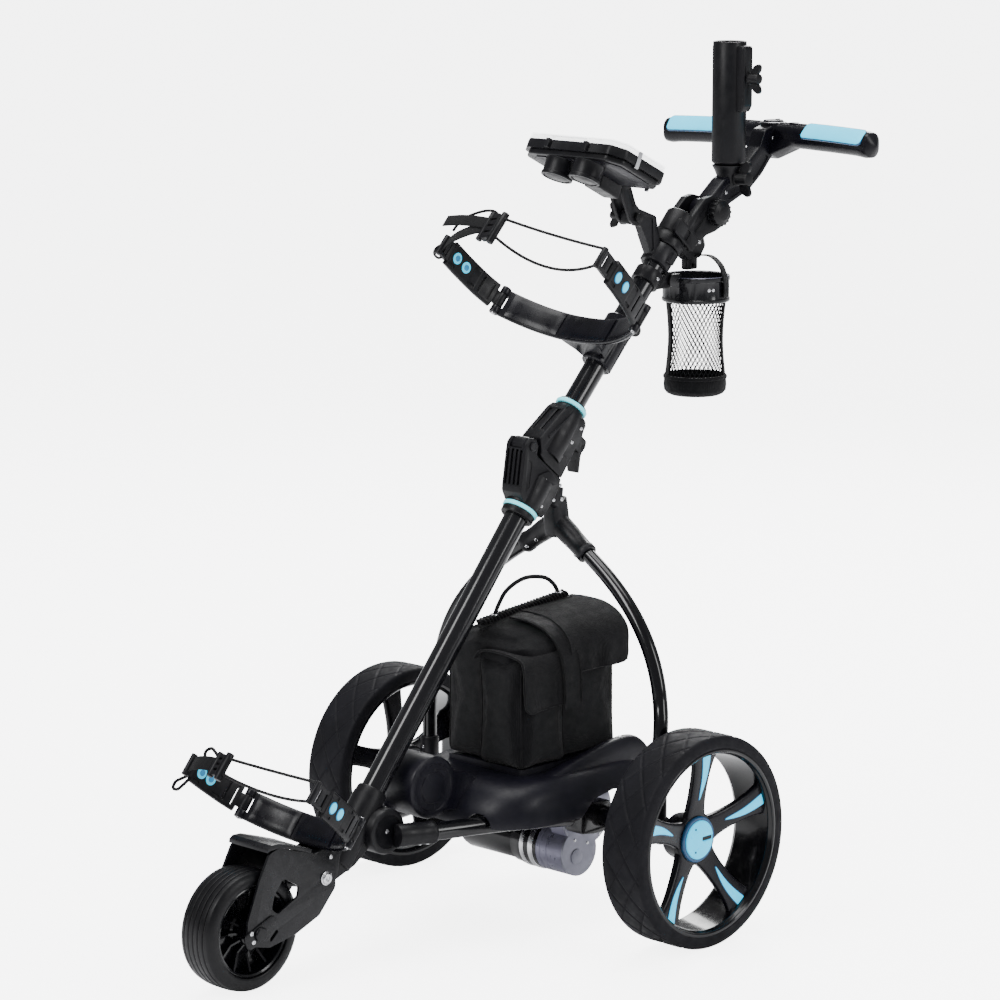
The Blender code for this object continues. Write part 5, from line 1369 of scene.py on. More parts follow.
def head_clamp():
    """Clamp on the upper tube with two cheeks that hold the handle's knuckle."""
    length = (HEAD_END - HEAD_START).length
    head = lathe([(0, 0), (0.0208, 0), (0.0225, 0.0018), (0.0225, 0.015), (0.0212, 0.016),
                  (0.0212, 0.0185), (0.0225, 0.0195), (0.0225, length - 0.002),
                  (0.0208, length), (0, length)], HEAD_START, TOP_AXIS, 40)
    for side in (1, -1):
        cheek = prism_side(rounded([
            (0.264, 0.898), (0.296, 0.926), (0.312, 0.929), (0.33, 0.924), (0.341, 0.906),
            (0.337, 0.888), (0.318, 0.88), (0.3, 0.876), (0.272, 0.86), (0.248, 0.87)],
            0.008, 6), side, 0.0125, 0.0225, 0.0015)
        cheek = cut(cheek, prism_side(rounded([
            (0.27, 0.892), (0.296, 0.915), (0.3, 0.904), (0.276, 0.88)], 0.003),
            side, 0.021, 0.03))
        head = join(head, cheek)
    head = join(head, prism_x(rounded([
        (0.27, 0.872), (0.308, 0.88), (0.314, 0.86), (0.304, 0.845), (0.282, 0.842),
        (0.264, 0.856)], 0.006, 5), -0.0085, 0.0085, 0.0015))
    head = cut(head, cyl(HEAD_START - TOP_AXIS * 0.02, TOP_TUBE_END + TOP_AXIS * GAP,
                         TOP_TUBE_R + GAP / 2, 36),
               bore_x(KNUCKLE, 0.0043, 20), bore_x(KNUCKLE, 0.025, 44, 0.0122))
    put(head, 'head_clamp_casting', 'moulded_black', 'head_clamp', bevel=0.0008, sharp=38)


def head_fittings():
    discs = []
    for side in (1, -1):
        discs.append(lathe([(0.009, 0.0224), (0.0165, 0.0224), (0.0165, 0.0234),
                            (0.0155, 0.024), (0.009, 0.024)], KNUCKLE, X * side, 36))
        for k in range(30):
            out = radial(2 * pi * k / 30)
            discs.append(prism([(0.0108, -0.0003), (0.015, -0.0005), (0.015, 0.0005),
                                (0.0108, 0.0003)], KNUCKLE, out, X.cross(out), X * side,
                               0.0236, 0.02435))
    put(merge(*discs), 'head_serrated_discs', 'moulded_black', body='upper_frame')
    screws('head_clamp_screws', 'upper_frame', [
        side_screw(side, 0.0225, y, z)
        for side in (1, -1) for y, z in ((0.261, 0.876), (0.285, 0.868))])
    # lug under the head that carries the cup's strap
    lug = box(-0.006, 0.006, 0.2795, 0.301, 0.829, 0.856, 0.0022)
    lug = cut(lug, cyl_x(-0.03, 0.03, 0.2905, 0.835, 0.0026, 16))
    lug = join(lug, lathe(mirrored([(0, -0.0078), (0.0085, -0.0078), (0.0095, -0.0068)]),
                          Vector((0, 0.2905, 0.848)), X, 24))
    put(lug, 'head_strap_lug', 'moulded_black', body='upper_frame', bevel=0.0007)
    centre = top_point(0.293)
    block = prism(rounded(centred(0.011, 0.024), 0.004, 5), centre, TOP_AXIS, TOP_FRONT, X,
                  0.0195, 0.0262, 0.0012)
    block = cut(block, prism(rounded(centred(0.0075, 0.004), 0.002), centre, TOP_AXIS,
                             TOP_FRONT, X, 0.0245, 0.03))
    put(block, 'head_side_block', 'moulded_black', body='upper_frame', bevel=0.0004)


def console_bracket():
    bracket = ring(top_point(0.238), top_point(0.267), 0.0205, TOP_TUBE_R + GAP / 2, 36, 0.0015)
    arm = on_top([(0.24, 0.017)])
    arm += [(0.186, 0.897), (0.16, 0.901), (0.159, 0.919), (0.182, 0.92), (0.215, 0.908)]
    arm += on_top([(0.264, 0.017)])
    bracket = join(bracket, prism_x(rounded(arm, 0.006, 6), -0.0075, 0.0075, 0.0015))
    pocket = [(0.182, 0.903), (0.184, 0.914), (0.208, 0.905)]
    pocket += on_top([(0.25, 0.023), (0.244, 0.023)])
    for side in (1, -1):
        bracket = cut(bracket, prism_side(rounded(pocket, 0.002, 3), side, 0.006, 0.02))
        bracket = join(bracket, prism([
            (-0.0075, 0.0195), (-0.0075, 0.027), (0.0075, 0.027), (0.0075, 0.0195)],
            top_point(0.2525), TOP_AXIS, X * side, TOP_FRONT, -0.0045, 0.0045))
    bracket = cut(bracket, cyl(HEAD_START - TOP_AXIS * 0.04, TOP_TUBE_END,
                               TOP_TUBE_R + GAP / 2, 36),
                  bore_x(CONSOLE_PIVOT, 0.0035, 18))
    put(bracket, 'console_bracket_clamp', 'moulded_black', 'console_bracket', bevel=0.0007,
        sharp=38)


def wing_knob(name, node, base, out, span, radius, length, shank=((0, 0),)):
    """Knob with two wings; shank continues its turned profile behind the base."""
    u, v, d = axes_of(out)
    knob = lathe([(0, length), (radius - 0.0015, length), (radius - 0.0004, length - 0.0004),
                  (radius, length - 0.0015), (radius, 0.0012), (radius + 0.0012, 0.0006),
                  (radius + 0.0012, 0), *shank], base, d, 24)
    # wing outline: fractions of span, length
    half = [(0.13, 0.8), (0.26, 1.1), (0.42, 1.2), (0.52, 0.95), (0.42, 0.42), (0.22, 0.22)]
    wings = [(-a, b) for a, b in reversed(half)] + half
    knob = join(knob, prism(rounded([(span * a, length * b) for a, b in wings],
                                    span * 0.12, 6), base, u, d, v, -0.003, 0.003, 0.0013))
    put(knob, name, 'soft_rubber', node, bevel=0.0004)


def tilt_knob():
    base = Vector((0.0245, KNUCKLE.y, KNUCKLE.z))
    knob = lathe([(0, 0.0135), (0.009, 0.0135), (0.011, 0.0128), (0.012, 0.0118),
                  (0.0158, 0.0112), (0.0172, 0.0098), (0.0174, 0.002), (0.0164, 0.0006),
                  (0.0038, 0), (0.0038, -0.0475), (0.008, -0.0475), (0.008, -0.053),
                  (0, -0.053)], base, X, 40)
    for k in range(16):
        p = base + radial(2 * pi * k / 16) * 0.0168
        knob = join(knob, cyl(p + X * 0.0012, p + X * 0.0104, 0.0019, 12, 0.0006))
    put(knob, 'tilt_knob_ribbed', 'soft_rubber', 'tilt_knob', bevel=0.0003, sharp=40)


head_clamp()
head_fittings()
console_bracket()
tilt_knob()
wing_knob('console_knob_wing', 'console_tilt_knob',
          Vector((-0.018, CONSOLE_PIVOT.y, CONSOLE_PIVOT.z)), -X, span=0.034, radius=0.006,
          length=0.014, shank=((0.0031, 0), (0.0031, -0.0322), (0.0062, -0.0322),
                               (0.0062, -0.037), (0, -0.037)))

# ================================================================ T handle
HANDLE_Y, HANDLE_Z = 0.464, 1.009
HANDLE_HALF = 0.191
DIAL = Vector((0, HANDLE_Y - 0.002, HANDLE_Z))
UMBRELLA_SEAT = Vector((0, 0.369, 0.95))
# the grip pads face forwards and up
PAD_NORMAL = Vector((0, -sin(radians(50)), cos(radians(50))))
PAD_ACROSS = Vector((0, cos(radians(50)), sin(radians(50))))


def bar_centre(x):
    k = x / HANDLE_HALF
    return Vector((x, HANDLE_Y - 0.002 - 0.01 * k * k, HANDLE_Z - 0.007 - 0.004 * k * k))


def grip_strip(side, grow, half, low, high, end_radius, dome=0.0, skew=0.0):
    """Strip along the bar with rounded ends and a slightly domed face."""
    x0, x1 = sorted((side * 0.066, side * 0.176))
    x0, x1 = x0 - grow, x1 + grow
    loops = []
    for i in range(49):
        x = x0 + (x1 - x0) * (0.5 - 0.5 * cos(pi * i / 48))
        e = min(1.0, min(x - x0, x1 - x) / end_radius)
        w = max(half * 0.3, half - end_radius
                + end_radius * math.sqrt(max(0.0, 1 - (1 - e) ** 2)))
        section = ((-w, low), (w, low), (w, high - 0.001), (w - 0.0004, high - 0.0004),
                   (w - 0.0014, high), (w * 0.5, high + dome * e), (0, high + dome * 1.2 * e),
                   (-w * 0.5, high + dome * e), (-w + 0.0014, high),
                   (-w + 0.0004, high - 0.0004), (-w, high - 0.001))
        centre = bar_centre(x)
        loops.append([centre + PAD_ACROSS * a + PAD_NORMAL * b + X * (skew * a)
                      for a, b in section])
    return loft(loops)


def handle_bar():
    """Cross bar, swelling near its rounded ends."""
    steps = 48
    loops = []
    for i in range(steps + 1):
        x = (-1 + 2 * i / steps) * HANDLE_HALF
        e = (HANDLE_HALF - abs(x)) / 0.012
        size = math.sqrt(max(0.0, 1 - (1 - min(1, e)) ** 2)) if e < 1 else 1.0
        bulge = (1 + 0.07 * math.exp(-((abs(x) - 0.178) / 0.012) ** 2)
                 - 0.02 * math.exp(-((abs(x) - 0.06) / 0.02) ** 2))
        size = max(0.12, size) * bulge
        loops.append([bar_centre(x) + Y * (a * size) + Z * (b * size)
                      for a, b in rounded_rect(0.03, 0.034, 0.013, 7)])
    return loft(loops)


def t_handle():
    handle = cyl_x(-0.0119, 0.0119, KNUCKLE.y, KNUCKLE.z, 0.018, 40, 0.001)
    handle = join(handle, prism_x(rounded([
        (0.318, 0.924), (0.348, 0.948), (0.39, 0.964), (0.42, 0.988), (0.43, 1.01),
        (0.458, 1.018), (0.47, 1.008), (0.468, 0.992), (0.45, 0.976), (0.426, 0.95),
        (0.4, 0.93), (0.36, 0.914), (0.334, 0.898), (0.322, 0.89)], 0.012, 6),
        -0.0119, 0.0119, 0.0035))
    for side in (1, -1):
        handle = cut(handle, prism_side(rounded([
            (0.342, 0.932), (0.36, 0.942), (0.395, 0.954), (0.425, 0.978), (0.44, 0.974),
            (0.415, 0.948), (0.392, 0.933), (0.358, 0.92)], 0.005, 5), side, 0.0105, 0.03))
    handle = join(handle, cyl(UMBRELLA_SEAT - Z * 0.012, UMBRELLA_SEAT + Z * 0.0065,
                              0.014, 32, 0.001))
    bar = handle_bar()
    web = prism(rounded([(-0.07, -0.003), (-0.046, -0.024), (-0.015, -0.04), (0.015, -0.04),
                         (0.046, -0.024), (0.07, -0.003), (0.066, 0.008), (-0.066, 0.008)],
                        0.012, 6),
                Vector((0, HANDLE_Y, HANDLE_Z)), X, Vector((0, 0.45, 1)).normalized(),
                Vector((0, 1, -0.45)).normalized(), -0.011, 0.011, 0.0035)
    seat = lathe([(0, -0.012), (0.018, -0.012), (0.0192, -0.006), (0.019, 0.0086),
                  (0.0182, 0.0096), (0, 0.0098)], DIAL, Z, 44)
    handle = join(handle, bar, web, seat)
    for side in (1, -1):
        handle = cut(handle, grip_strip(side, grow=0.0012, half=0.014, low=0.0141, high=0.03,
                                        end_radius=0.007))
    handle = cut(handle, bore_x(KNUCKLE, 0.0043, 20),
                 cyl(UMBRELLA_SEAT + Z * 0.0066, UMBRELLA_SEAT + Z * 0.04, 0.0146, 32),
                 cyl(DIAL + Z * 0.0028, DIAL + Z * 0.04, 0.0156, 36),
                 box(0.03, 0.044, HANDLE_Y - 0.008, HANDLE_Y + 0.004,
                     HANDLE_Z + 0.0028, HANDLE_Z + 0.05))
    put(handle, 't_handle_moulding', 'satin_black', 't_handle', bevel=0.0009, steps=3, sharp=42)


def grip_pads():
    for side, tag in SIDES:
        put(grip_strip(side, grow=0.0, half=0.0122, low=0.0144, high=0.0172, end_radius=0.006,
                       dome=0.0008, skew=0.12 * side),
            'grip_pad_%s_skin' % tag, 'pad_cyan', 'grip_pad_' + tag, bevel=0.0002, sharp=50)
        put(grip_strip(side, grow=0.0009, half=0.0132, low=0.0138, high=0.0165,
                       end_radius=0.007, skew=0.1 * side),
            'grip_pad_%s_border' % tag, 'deep_blue', body='handle', bevel=0.0002)


def speed_dial():
    """Fluted dial with a pointer, and a wire arc round it."""
    count, flutes = 288, 36
    outline = []
    for i in range(count):
        r = 0.0143 + 0.0005 * cos(flutes * 2 * pi * i / count)
        outline.append((r * cos(2 * pi * i / count), r * sin(2 * pi * i / count)))
    dial = prism(outline, DIAL, X, Y, Z, 0.0031, 0.0106)
    dial = join(dial, lathe([(0, 0.01), (0.014, 0.01), (0.014, 0.0114), (0.0128, 0.0128),
                             (0.011, 0.013), (0.01, 0.0124), (0, 0.0122)], DIAL, Z, 40))
    dial = join(dial, box(-0.0011, 0.0011, HANDLE_Y + 0.003, HANDLE_Y + 0.0112,
                          HANDLE_Z + 0.011, HANDLE_Z + 0.0138, 0.0004))
    put(dial, 'speed_dial_cap', 'housing_grey', 'speed_dial', bevel=0.0002, sharp=40)
    arc = [DIAL + level(a) * 0.0168 + Z * 0.0098 for a in range(-215, 36, 8)]
    put(sweep(arc, circle(0.0007, 10), Z), 'dial_arc', 'bright_steel', body='handle')


t_handle()
grip_pads()
speed_dial()
put(prism(rounded(rectangle(0.0304, HANDLE_Y - 0.0076, 0.0436, HANDLE_Y + 0.0036), 0.003, 5),
          ORIGIN, X, Y, Z, HANDLE_Z + 0.0052, HANDLE_Z + 0.0112, 0.0012),
    'power_button_cap', 'soft_rubber', 'power_button')
screws('t_handle_screws', 'handle', [side_screw(side, 0.0119, y, z) for side in (1, -1)
                                     for y, z in ((0.35, 0.93), (0.448, 0.998))])

# ================================================================ umbrella holder
UMBRELLA = Vector((0, UMBRELLA_SEAT.y, 0))


def umbrella_holder():
    tube = lathe([(0, 0.957), (0.0125, 0.957), (0.0135, 0.958), (0.0135, 0.964),
                  (0.0152, 0.9652), (0.019, 0.966), (0.0198, 0.9668), (0.0232, 0.97),
                  (0.0235, 0.972), (0.0235, 1.1275), (0.023, 1.1285), (0.023, 1.133),
                  (0.0224, 1.134), (0.0204, 1.134), (0.0196, 1.133), (0.0196, 0.9725),
                  (0, 0.9725)], UMBRELLA, Z, 48)
    tube = join(tube, prism(rounded([
        (0.019, 1.039), (0.029, 1.039), (0.034, 1.048), (0.034, 1.129), (0.019, 1.129)],
        0.006, 6), UMBRELLA, X, Z, Y, -0.0098, 0.0098, 0.0035))
    tube = cut(tube, cyl_x(0.01, 0.04, UMBRELLA.y, 1.085, 0.0032, 18),
               cyl(Vector((0, UMBRELLA.y, 0.98)), Vector((0, UMBRELLA.y, 1.14)), 0.0196, 48))
    for side in (1, -1):
        groove = UMBRELLA + level(118 * side) * 0.0238
        tube = cut(tube, cyl(groove + Z * 0.976, groove + Z * 1.124, 0.0008, 10))
    put(tube, 'umbrella_tube_moulding', 'moulded_black', 'umbrella_holder', bevel=0.0005,
        sharp=38)
    collar = lathe([(0.0146, 0.94), (0.015, 0.94), (0.0156, 0.943), (0.0168, 0.952),
                    (0.02, 0.96), (0.0226, 0.9645), (0.0226, 0.9658), (0.0155, 0.9656),
                    (0.0146, 0.962)], UMBRELLA, Z, 40)
    put(collar, 'umbrella_foot_collar', 'moulded_black', body='umbrella')


umbrella_holder()
wing_knob('umbrella_screw_wing', 'umbrella_screw', Vector((0.0375, UMBRELLA.y, 1.085)), X,
          span=0.04, radius=0.0072, length=0.016,
          shank=((0.0029, 0), (0.0029, -0.019), (0, -0.019)))
wing_knob('umbrella_knob_wing', 'umbrella_foot_knob', Vector((0.017, UMBRELLA.y, 0.948)), X,
          span=0.048, radius=0.009, length=0.02)

# ================================================================ console
TRAY = Vector((0, 0.102, 0.99))
TRAY_REAR = Vector((0, cos(radians(-26)), sin(radians(-26))))    # along the tray, rearwards
TRAY_UP = quarter_turn(TRAY_REAR)
WELLS = [TRAY + X * x + TRAY_REAR * -0.03 for x in (-0.028, 0.022)]
PLUG_OUTLINE_RADIUS = 0.004


def on_tray(points, w0, w1, bevel=0.0):
    """(x, rearward) outline extruded through the tray's plane."""
    return prism(points, TRAY, X, TRAY_REAR, TRAY_UP, w0, w1, bevel)


def console_tray():
    tray = on_tray(octagon(0.09, 0.056, 0.018, 0.016), -0.0085, 0.004)
    tray = join(tray, on_tray(octagon(0.0865, 0.053, 0.018, 0.016), -0.016, -0.008, 0.0025))
    tray = cut(tray, on_tray(octagon(0.0835, 0.0495, 0.016, 0.014), -0.012, 0.01))
    tray = cut(tray, on_tray(octagon(0.0862, 0.0522, 0.016, 0.014), 0.0018, 0.01))
    tray = join(tray, on_tray(rounded(rectangle(-0.014, 0.008, 0.014, 0.052),
                                      PLUG_OUTLINE_RADIUS, 5), -0.034, -0.013, 0.002))
    for side in (1, -1):
        ear = prism_side(rounded([
            (0.179, 0.905), (0.178, 0.918), (0.168, 0.928), (0.156, 0.958), (0.138, 0.956),
            (0.148, 0.928), (0.158, 0.906), (0.166, 0.8985), (0.174, 0.8985)], 0.006, 6),
            side, 0.008, 0.0135, 0.001)
        ear = cut(ear, prism_side(rounded([
            (0.16, 0.926), (0.166, 0.927), (0.156, 0.95), (0.148, 0.949)], 0.002),
            side, 0.0125, 0.02))
        tray = join(tray, ear)
    for well in WELLS:
        tray = join(tray, lathe([
            (0.018, 0), (0.0205, 0), (0.0215, 0.0008), (0.0215, 0.004), (0.0205, 0.0052),
            (0.0205, 0.0225), (0.0215, 0.024), (0.0215, 0.0275), (0.018, 0.0275)],
            well - TRAY_UP * 0.04, TRAY_UP, 40))
    for side in (1, -1):
        x0, x1 = sorted((side * 0.0306, side * 0.037))
        tray = join(tray, on_tray(rectangle(x0, -0.062, x1, -0.051), -0.008, 0.004))
    tray = cut(tray, bore_x(CONSOLE_PIVOT, 0.0035, 18))
    # slits along the rear edge
    for k in range(-3, 4):
        tray = cut(tray, on_tray(rectangle(k * 0.014 - 0.004, 0.0553, k * 0.014 + 0.004, 0.07),
                                 -0.006, -0.0035))
    put(tray, 'console_tray_moulding', 'moulded_black', 'console_tray', bevel=0.0006, sharp=38)


def console_linings():
    panel = on_tray(octagon(0.078, 0.044, 0.016, 0.014, 0.006), -0.0172, -0.0155)
    for well in WELLS:
        panel = cut(panel, cyl(well - TRAY_UP * 0.03, well, 0.0217, 36))
    panel = cut(panel, on_tray(rounded(rectangle(-0.0143, 0.0077, 0.0143, 0.0523),
                                       PLUG_OUTLINE_RADIUS, 5), -0.05, 0))
    put(panel, 'console_under_panel', 'housing_grey', body='console', bevel=0.0004)
    liner = on_tray(octagon(0.0832, 0.0492, 0.016, 0.014), -0.0121, -0.0108)
    liner = cut(liner, *[cyl(well - TRAY_UP * 0.02, well, 0.0178, 32) for well in WELLS])
    put(liner, 'console_liner', 'soft_rubber', body='console')
    floors = [lathe([(0, -0.0398), (0.015, -0.0398), (0.0178, -0.0385), (0.0178, -0.037),
                     (0.016, -0.038), (0, -0.0385)], well, TRAY_UP, 36) for well in WELLS]
    put(merge(*floors), 'console_cup_floors', 'soft_rubber', body='console')


def console_clips():
    """Two clips on the rear edge and one on each side."""
    clips = [prism(rounded(rectangle(-0.0035, -0.018, 0.0035, 0.012), 0.002),
                   TRAY + X * x + TRAY_REAR * 0.056, X, TRAY_UP, TRAY_REAR,
                   -0.0002, 0.0016, 0.0003) for x in (-0.052, 0.052)]
    clips += [prism(rounded(rectangle(-0.0035, -0.012, 0.0035, 0.011), 0.002),
                    TRAY + X * (side * 0.09) + TRAY_REAR * -0.015, TRAY_REAR, TRAY_UP,
                    X * side, -0.0002, 0.0014, 0.0003) for side in (1, -1)]
    put(merge(*clips), 'console_clips', 'bright_steel', body='console', bevel=0.0003)


def console_lid():
    hinge = TRAY + TRAY_REAR * -0.058 + TRAY_UP * 0.007
    lid = on_tray(octagon(0.089, 0.0545, 0.017, 0.015), 0.0045, 0.0124)
    lid = join(lid, on_tray(octagon(0.08, 0.046, 0.017, 0.015), 0.0115, 0.014, 0.0008))
    lid = cut(lid, on_tray(octagon(0.0872, 0.0527, 0.016, 0.014), 0.004, 0.0112))
    lid = join(lid, cyl(hinge - X * 0.03, hinge + X * 0.03, 0.0024, 14),
               on_tray(rectangle(-0.028, -0.058, 0.028, -0.052), 0.0058, 0.0085))
    # three fine slanting lines in the top: x at the front, shift towards the rear
    for x, shift in ((-0.04, 0.0), (0.0, 0.02), (0.04, -0.01)):
        lid = cut(lid, on_tray([
            (x - 0.0004, -0.04), (x + 0.0004, -0.04), (x + shift + 0.0004, 0.042),
            (x + shift - 0.0004, 0.042)], 0.0137, 0.016))
    put(lid, 'console_lid_clear', 'clear_plastic', 'console_lid', bevel=0.0004, sharp=25)


console_tray()
console_linings()
console_clips()
console_lid()

# ================================================================ cup holder
NET_LOW, NET_HIGH, NET_CORDS = 0.681, 0.789, 40


def cup_holder_link():
    link = ring(top_point(0.208), top_point(0.228), 0.0195, TOP_TUBE_R + GAP / 2, 36, 0.0012)
    outline = on_top([(0.21, -0.0165), (0.226, -0.0165)])
    outline += [(0.242, 0.83), (0.256, 0.826), (0.256, 0.81), (0.24, 0.808)]
    link = join(link, prism_x(rounded(outline, 0.004, 5), -0.0055, 0.0055, 0.001))
    link = cut(link, cyl(top_point(0.19), top_point(0.25), TOP_TUBE_R + GAP / 2, 36),
               bore_x(CUP_PIVOT, 0.0022, 14))
    put(link, 'cup_holder_link', 'moulded_black', 'cup_holder_bracket', bevel=0.0006)
    screws('cup_holder_screw', 'upper_frame',
           [(top_point(0.218) + X * (side * 0.0195), X * side) for side in (1, -1)], 0.0024)


def cup_ring():
    band = lathe([(0.0425, 0.785), (0.0455, 0.785), (0.0465, 0.7862), (0.0465, 0.7895),
                  (0.0455, 0.7905), (0.0455, 0.8135), (0.0465, 0.8145), (0.0465, 0.819),
                  (0.0458, 0.82), (0.0432, 0.82), (0.0425, 0.819)], CUP, Z, 60)
    for side in (1, -1):
        band = join(band, prism_side(rounded([
            (0.264, 0.826), (0.244, 0.826), (0.24, 0.818), (0.244, 0.81), (0.264, 0.806)],
            0.003, 5), side, 0.006, 0.0095))
    band = join(band, box(-0.0095, 0.0095, 0.2575, 0.262, 0.808, 0.826),
                bore_x(CUP_PIVOT, 0.002, 14, 0.0094))
    put(band, 'cup_ring_moulding', 'gloss_black', 'cup_ring', bevel=0.0005, sharp=32)
    # painted highlight: a light grey bead round the rim stands for the bright line of light along
    # it; and two small rivets on the +X side
    lip = lathe([(0.0458, 0.8199), (0.0461, 0.8203), (0.0456, 0.8208), (0.045, 0.8206),
                 (0.0452, 0.8199)], CUP, Z, 60)
    put(lip, 'cup_ring_lip_painted_highlight', 'motor_grey', body='cup')
    rivets = []
    for angle in (-25, -17):
        out = level(angle)
        rivets.append(lathe([(0, -0.001), (0.0024, -0.001), (0.0024, 0.0004),
                             (0.0015, 0.0011), (0, 0.0012)],
                            Vector((0, CUP.y, 0.804)) + out * 0.0455, out, 14))
    put(merge(*rivets), 'cup_ring_rivets', 'bright_steel', body='cup')


def basket_radius(z):
    """The basket is narrower halfway up."""
    k = (z - 0.6835) / (0.787 - 0.6835)
    return 0.0405 - 0.0038 * sin(pi * min(1, max(0, k)))


def cup_net():
    cords = []
    for k in range(NET_CORDS):
        for turn in (1, -1):
            path = []
            for i in range(26):
                t = i / 25
                z = NET_LOW + (NET_HIGH - NET_LOW) * t
                a = 2 * pi * k / NET_CORDS + turn * t * 1.55
                r = basket_radius(z) + 0.00035 * turn
                path.append(Vector((r * cos(a), CUP.y + r * sin(a), z)))
            cords.append(sweep(path, circle(0.00055, 6), Z))
    put(merge(*cords), 'cup_net', 'net_cord', 'cup_basket', sharp=60)


def cup_cloth():
    """Bottom cup, upper and lower hems, and three upright tapes."""
    parts = [lathe(profile, CUP, Z, 60) for profile in (
        [(0, 0.6562), (0.034, 0.6562), (0.039, 0.6585), (0.0425, 0.663), (0.0432, 0.67),
         (0.0425, 0.679), (0.0412, 0.683), (0.04, 0.6835), (0.0394, 0.6825),
         (0.0402, 0.674), (0.04, 0.666), (0.037, 0.6636), (0, 0.6636)],
        [(0.0394, 0.7845), (0.0412, 0.7845), (0.0422, 0.787), (0.0422, 0.7975),
         (0.04, 0.798), (0.0394, 0.796)],
        [(0.0425, 0.6788), (0.0437, 0.6795), (0.044, 0.6815), (0.0428, 0.6838),
         (0.0405, 0.6842), (0.04, 0.682)])]
    # outward, sideways
    section = [(-0.0012, -0.0058), (-0.0008, 0.0), (-0.0012, 0.0058), (0.0008, 0.0056),
               (0.0013, 0.0), (0.0008, -0.0056)]
    for angle in (-118, 30, 200):
        out = level(angle)
        aside = Z.cross(out)
        loops = []
        for i in range(12):
            z = 0.68 + 0.11 * i / 11
            r = basket_radius(z)
            p = Vector((0, CUP.y, z))
            loops.append([p + out * (r + a) + aside * b for a, b in section])
        parts.append(loft(loops))
    put(merge(*parts), 'cup_cloth_parts', 'webbing', body='cup', sharp=40)


def cup_strap():
    """Strap from the head's lug down to the +X side of the ring."""
    end = Vector((0, CUP.y, 0.793)) + level(10) * 0.0475
    path = smooth_points(10, (0.0, 0.293, 0.844), (0.008, 0.301, 0.8478),
                         (0.024, 0.308, 0.847), (0.039, 0.311, 0.835),
                         (0.0468, 0.312, 0.816), (0.0478, 0.3125, 0.803), end)
    put(sweep(path, rounded_rect(0.016, 0.0018, 0.0008), Vector((-0.2, 0, 1))),
        'cup_strap_bail', 'webbing',
        body=('upper_frame', 'cup', Vector((0.004, 0.3, 0.8475)), end), sharp=50)


cup_holder_link()
cup_ring()
cup_net()
cup_cloth()
cup_strap()

# ================================================================ drive housing and motor


def housing_dome(inset, top, count=96, levels=18):
    loops = []
    for i in range(levels + 1):
        t = i / levels
        z = 0.15 + (top - 0.15) * sin(pi * t / 2) - (0 if i else inset)
        q = 1 - cos(pi * t / 2)
        half_x = 0.129 - 0.033 * q - inset
        y0 = -0.19 + 0.056 * q + inset
        y1 = 0.122 - 0.018 * q - inset
        loops.append([(a, (y0 + y1) / 2 + b, z)
                      for a, b in superellipse(half_x, (y1 - y0) / 2, 2 / 3.6, count)])
    return loft(loops, caps_reversed=True)


def housing_fin(side):
    """Raised ridge along one flank of the dome."""
    path = smooth_points(8, (0, -0.1, 0.2), (0, -0.06, 0.2095), (0, -0.01, 0.2205),
                         (0, 0.04, 0.23), (0, 0.08, 0.231), (0, 0.102, 0.218),
                         (0, 0.106, 0.202))
    outer, inner = side * 0.101, side * 0.0765
    middle, half = (outer + inner) / 2, abs(outer - inner) / 2
    angles = [pi * j / 19 for j in range(20)]
    loops = []
    for p in path:
        h = max(0.0015, p.z - 0.1995)
        loops.append([Vector((middle + half * signed_power(cos(a), 2 / 3), p.y,
                              0.1995 + h * abs(sin(a)) ** (2 / 3))) for a in angles])
    return loft(loops)


def drive_housing():
    shell = cut(housing_dome(0.0, 0.2045), housing_dome(0.0035, 0.2008))
    for side in (1, -1):
        shell = join(shell, housing_fin(side))
    shell = join(shell, prism(rounded(rectangle(-0.07, -0.106, 0.07, 0.074), 0.008, 5), ORIGIN,
                              X, Y, Z, 0.2022, 0.2121))
    for side in (1, -1):
        shell = cut(shell, prism_side(rounded([
            (-0.07, 0.1), (-0.06, 0.145), (-0.03, 0.17), (0.01, 0.176), (0.05, 0.17),
            (0.08, 0.1)], 0.015, 6), side, 0.087, 0.14))
        d = SIDE_DIR[side]
        shell = cut(shell, cyl(SIDE_FRONT[side] - d * 0.06, SIDE_REAR[side] + d * 0.02,
                               SIDE_R + 0.006, 24))
    shell = cut(shell, cyl_x(0.054, 0.09, 0, AXLE_Z, 0.05, 44))
    # round nose in front of the battery, with a stepped end face on each side
    nose = lathe([(0, -0.038), (0.015, -0.038), (0.017, -0.0365), (0.018, -0.035),
                  (0.038, -0.035), (0.0402, -0.0338), (0.0412, -0.0315), (0.0412, 0.0255),
                  (0.0402, 0.0288), (0.0378, 0.0302), (0.032, 0.0302), (0.031, 0.0286),
                  (0.021, 0.0286), (0.02, 0.03), (0, 0.0308)],
                 Vector((0, -0.2285, 0.2045)), X, 60)
    neck = prism_x(rounded([(-0.226, 0.172), (-0.16, 0.165), (-0.145, 0.199), (-0.17, 0.215),
                            (-0.226, 0.23)], 0.004), -0.034, 0.029, 0.002)
    shell = join(shell, nose, neck)
    put(shell, 'drive_housing_shell', 'housing_grey', 'drive_housing', bevel=0.0012, steps=3,
        sharp=45)
    places = [(Vector((side * 0.089, 0.06, 0.2315)), Z) for side in (1, -1)]
    places += [(Vector((0.02 * side, 0.1135, 0.185)), (Y + Z * 0.5).normalized())
               for side in (1, -1)]
    screws('housing_screws', 'frame', places, 0.003)


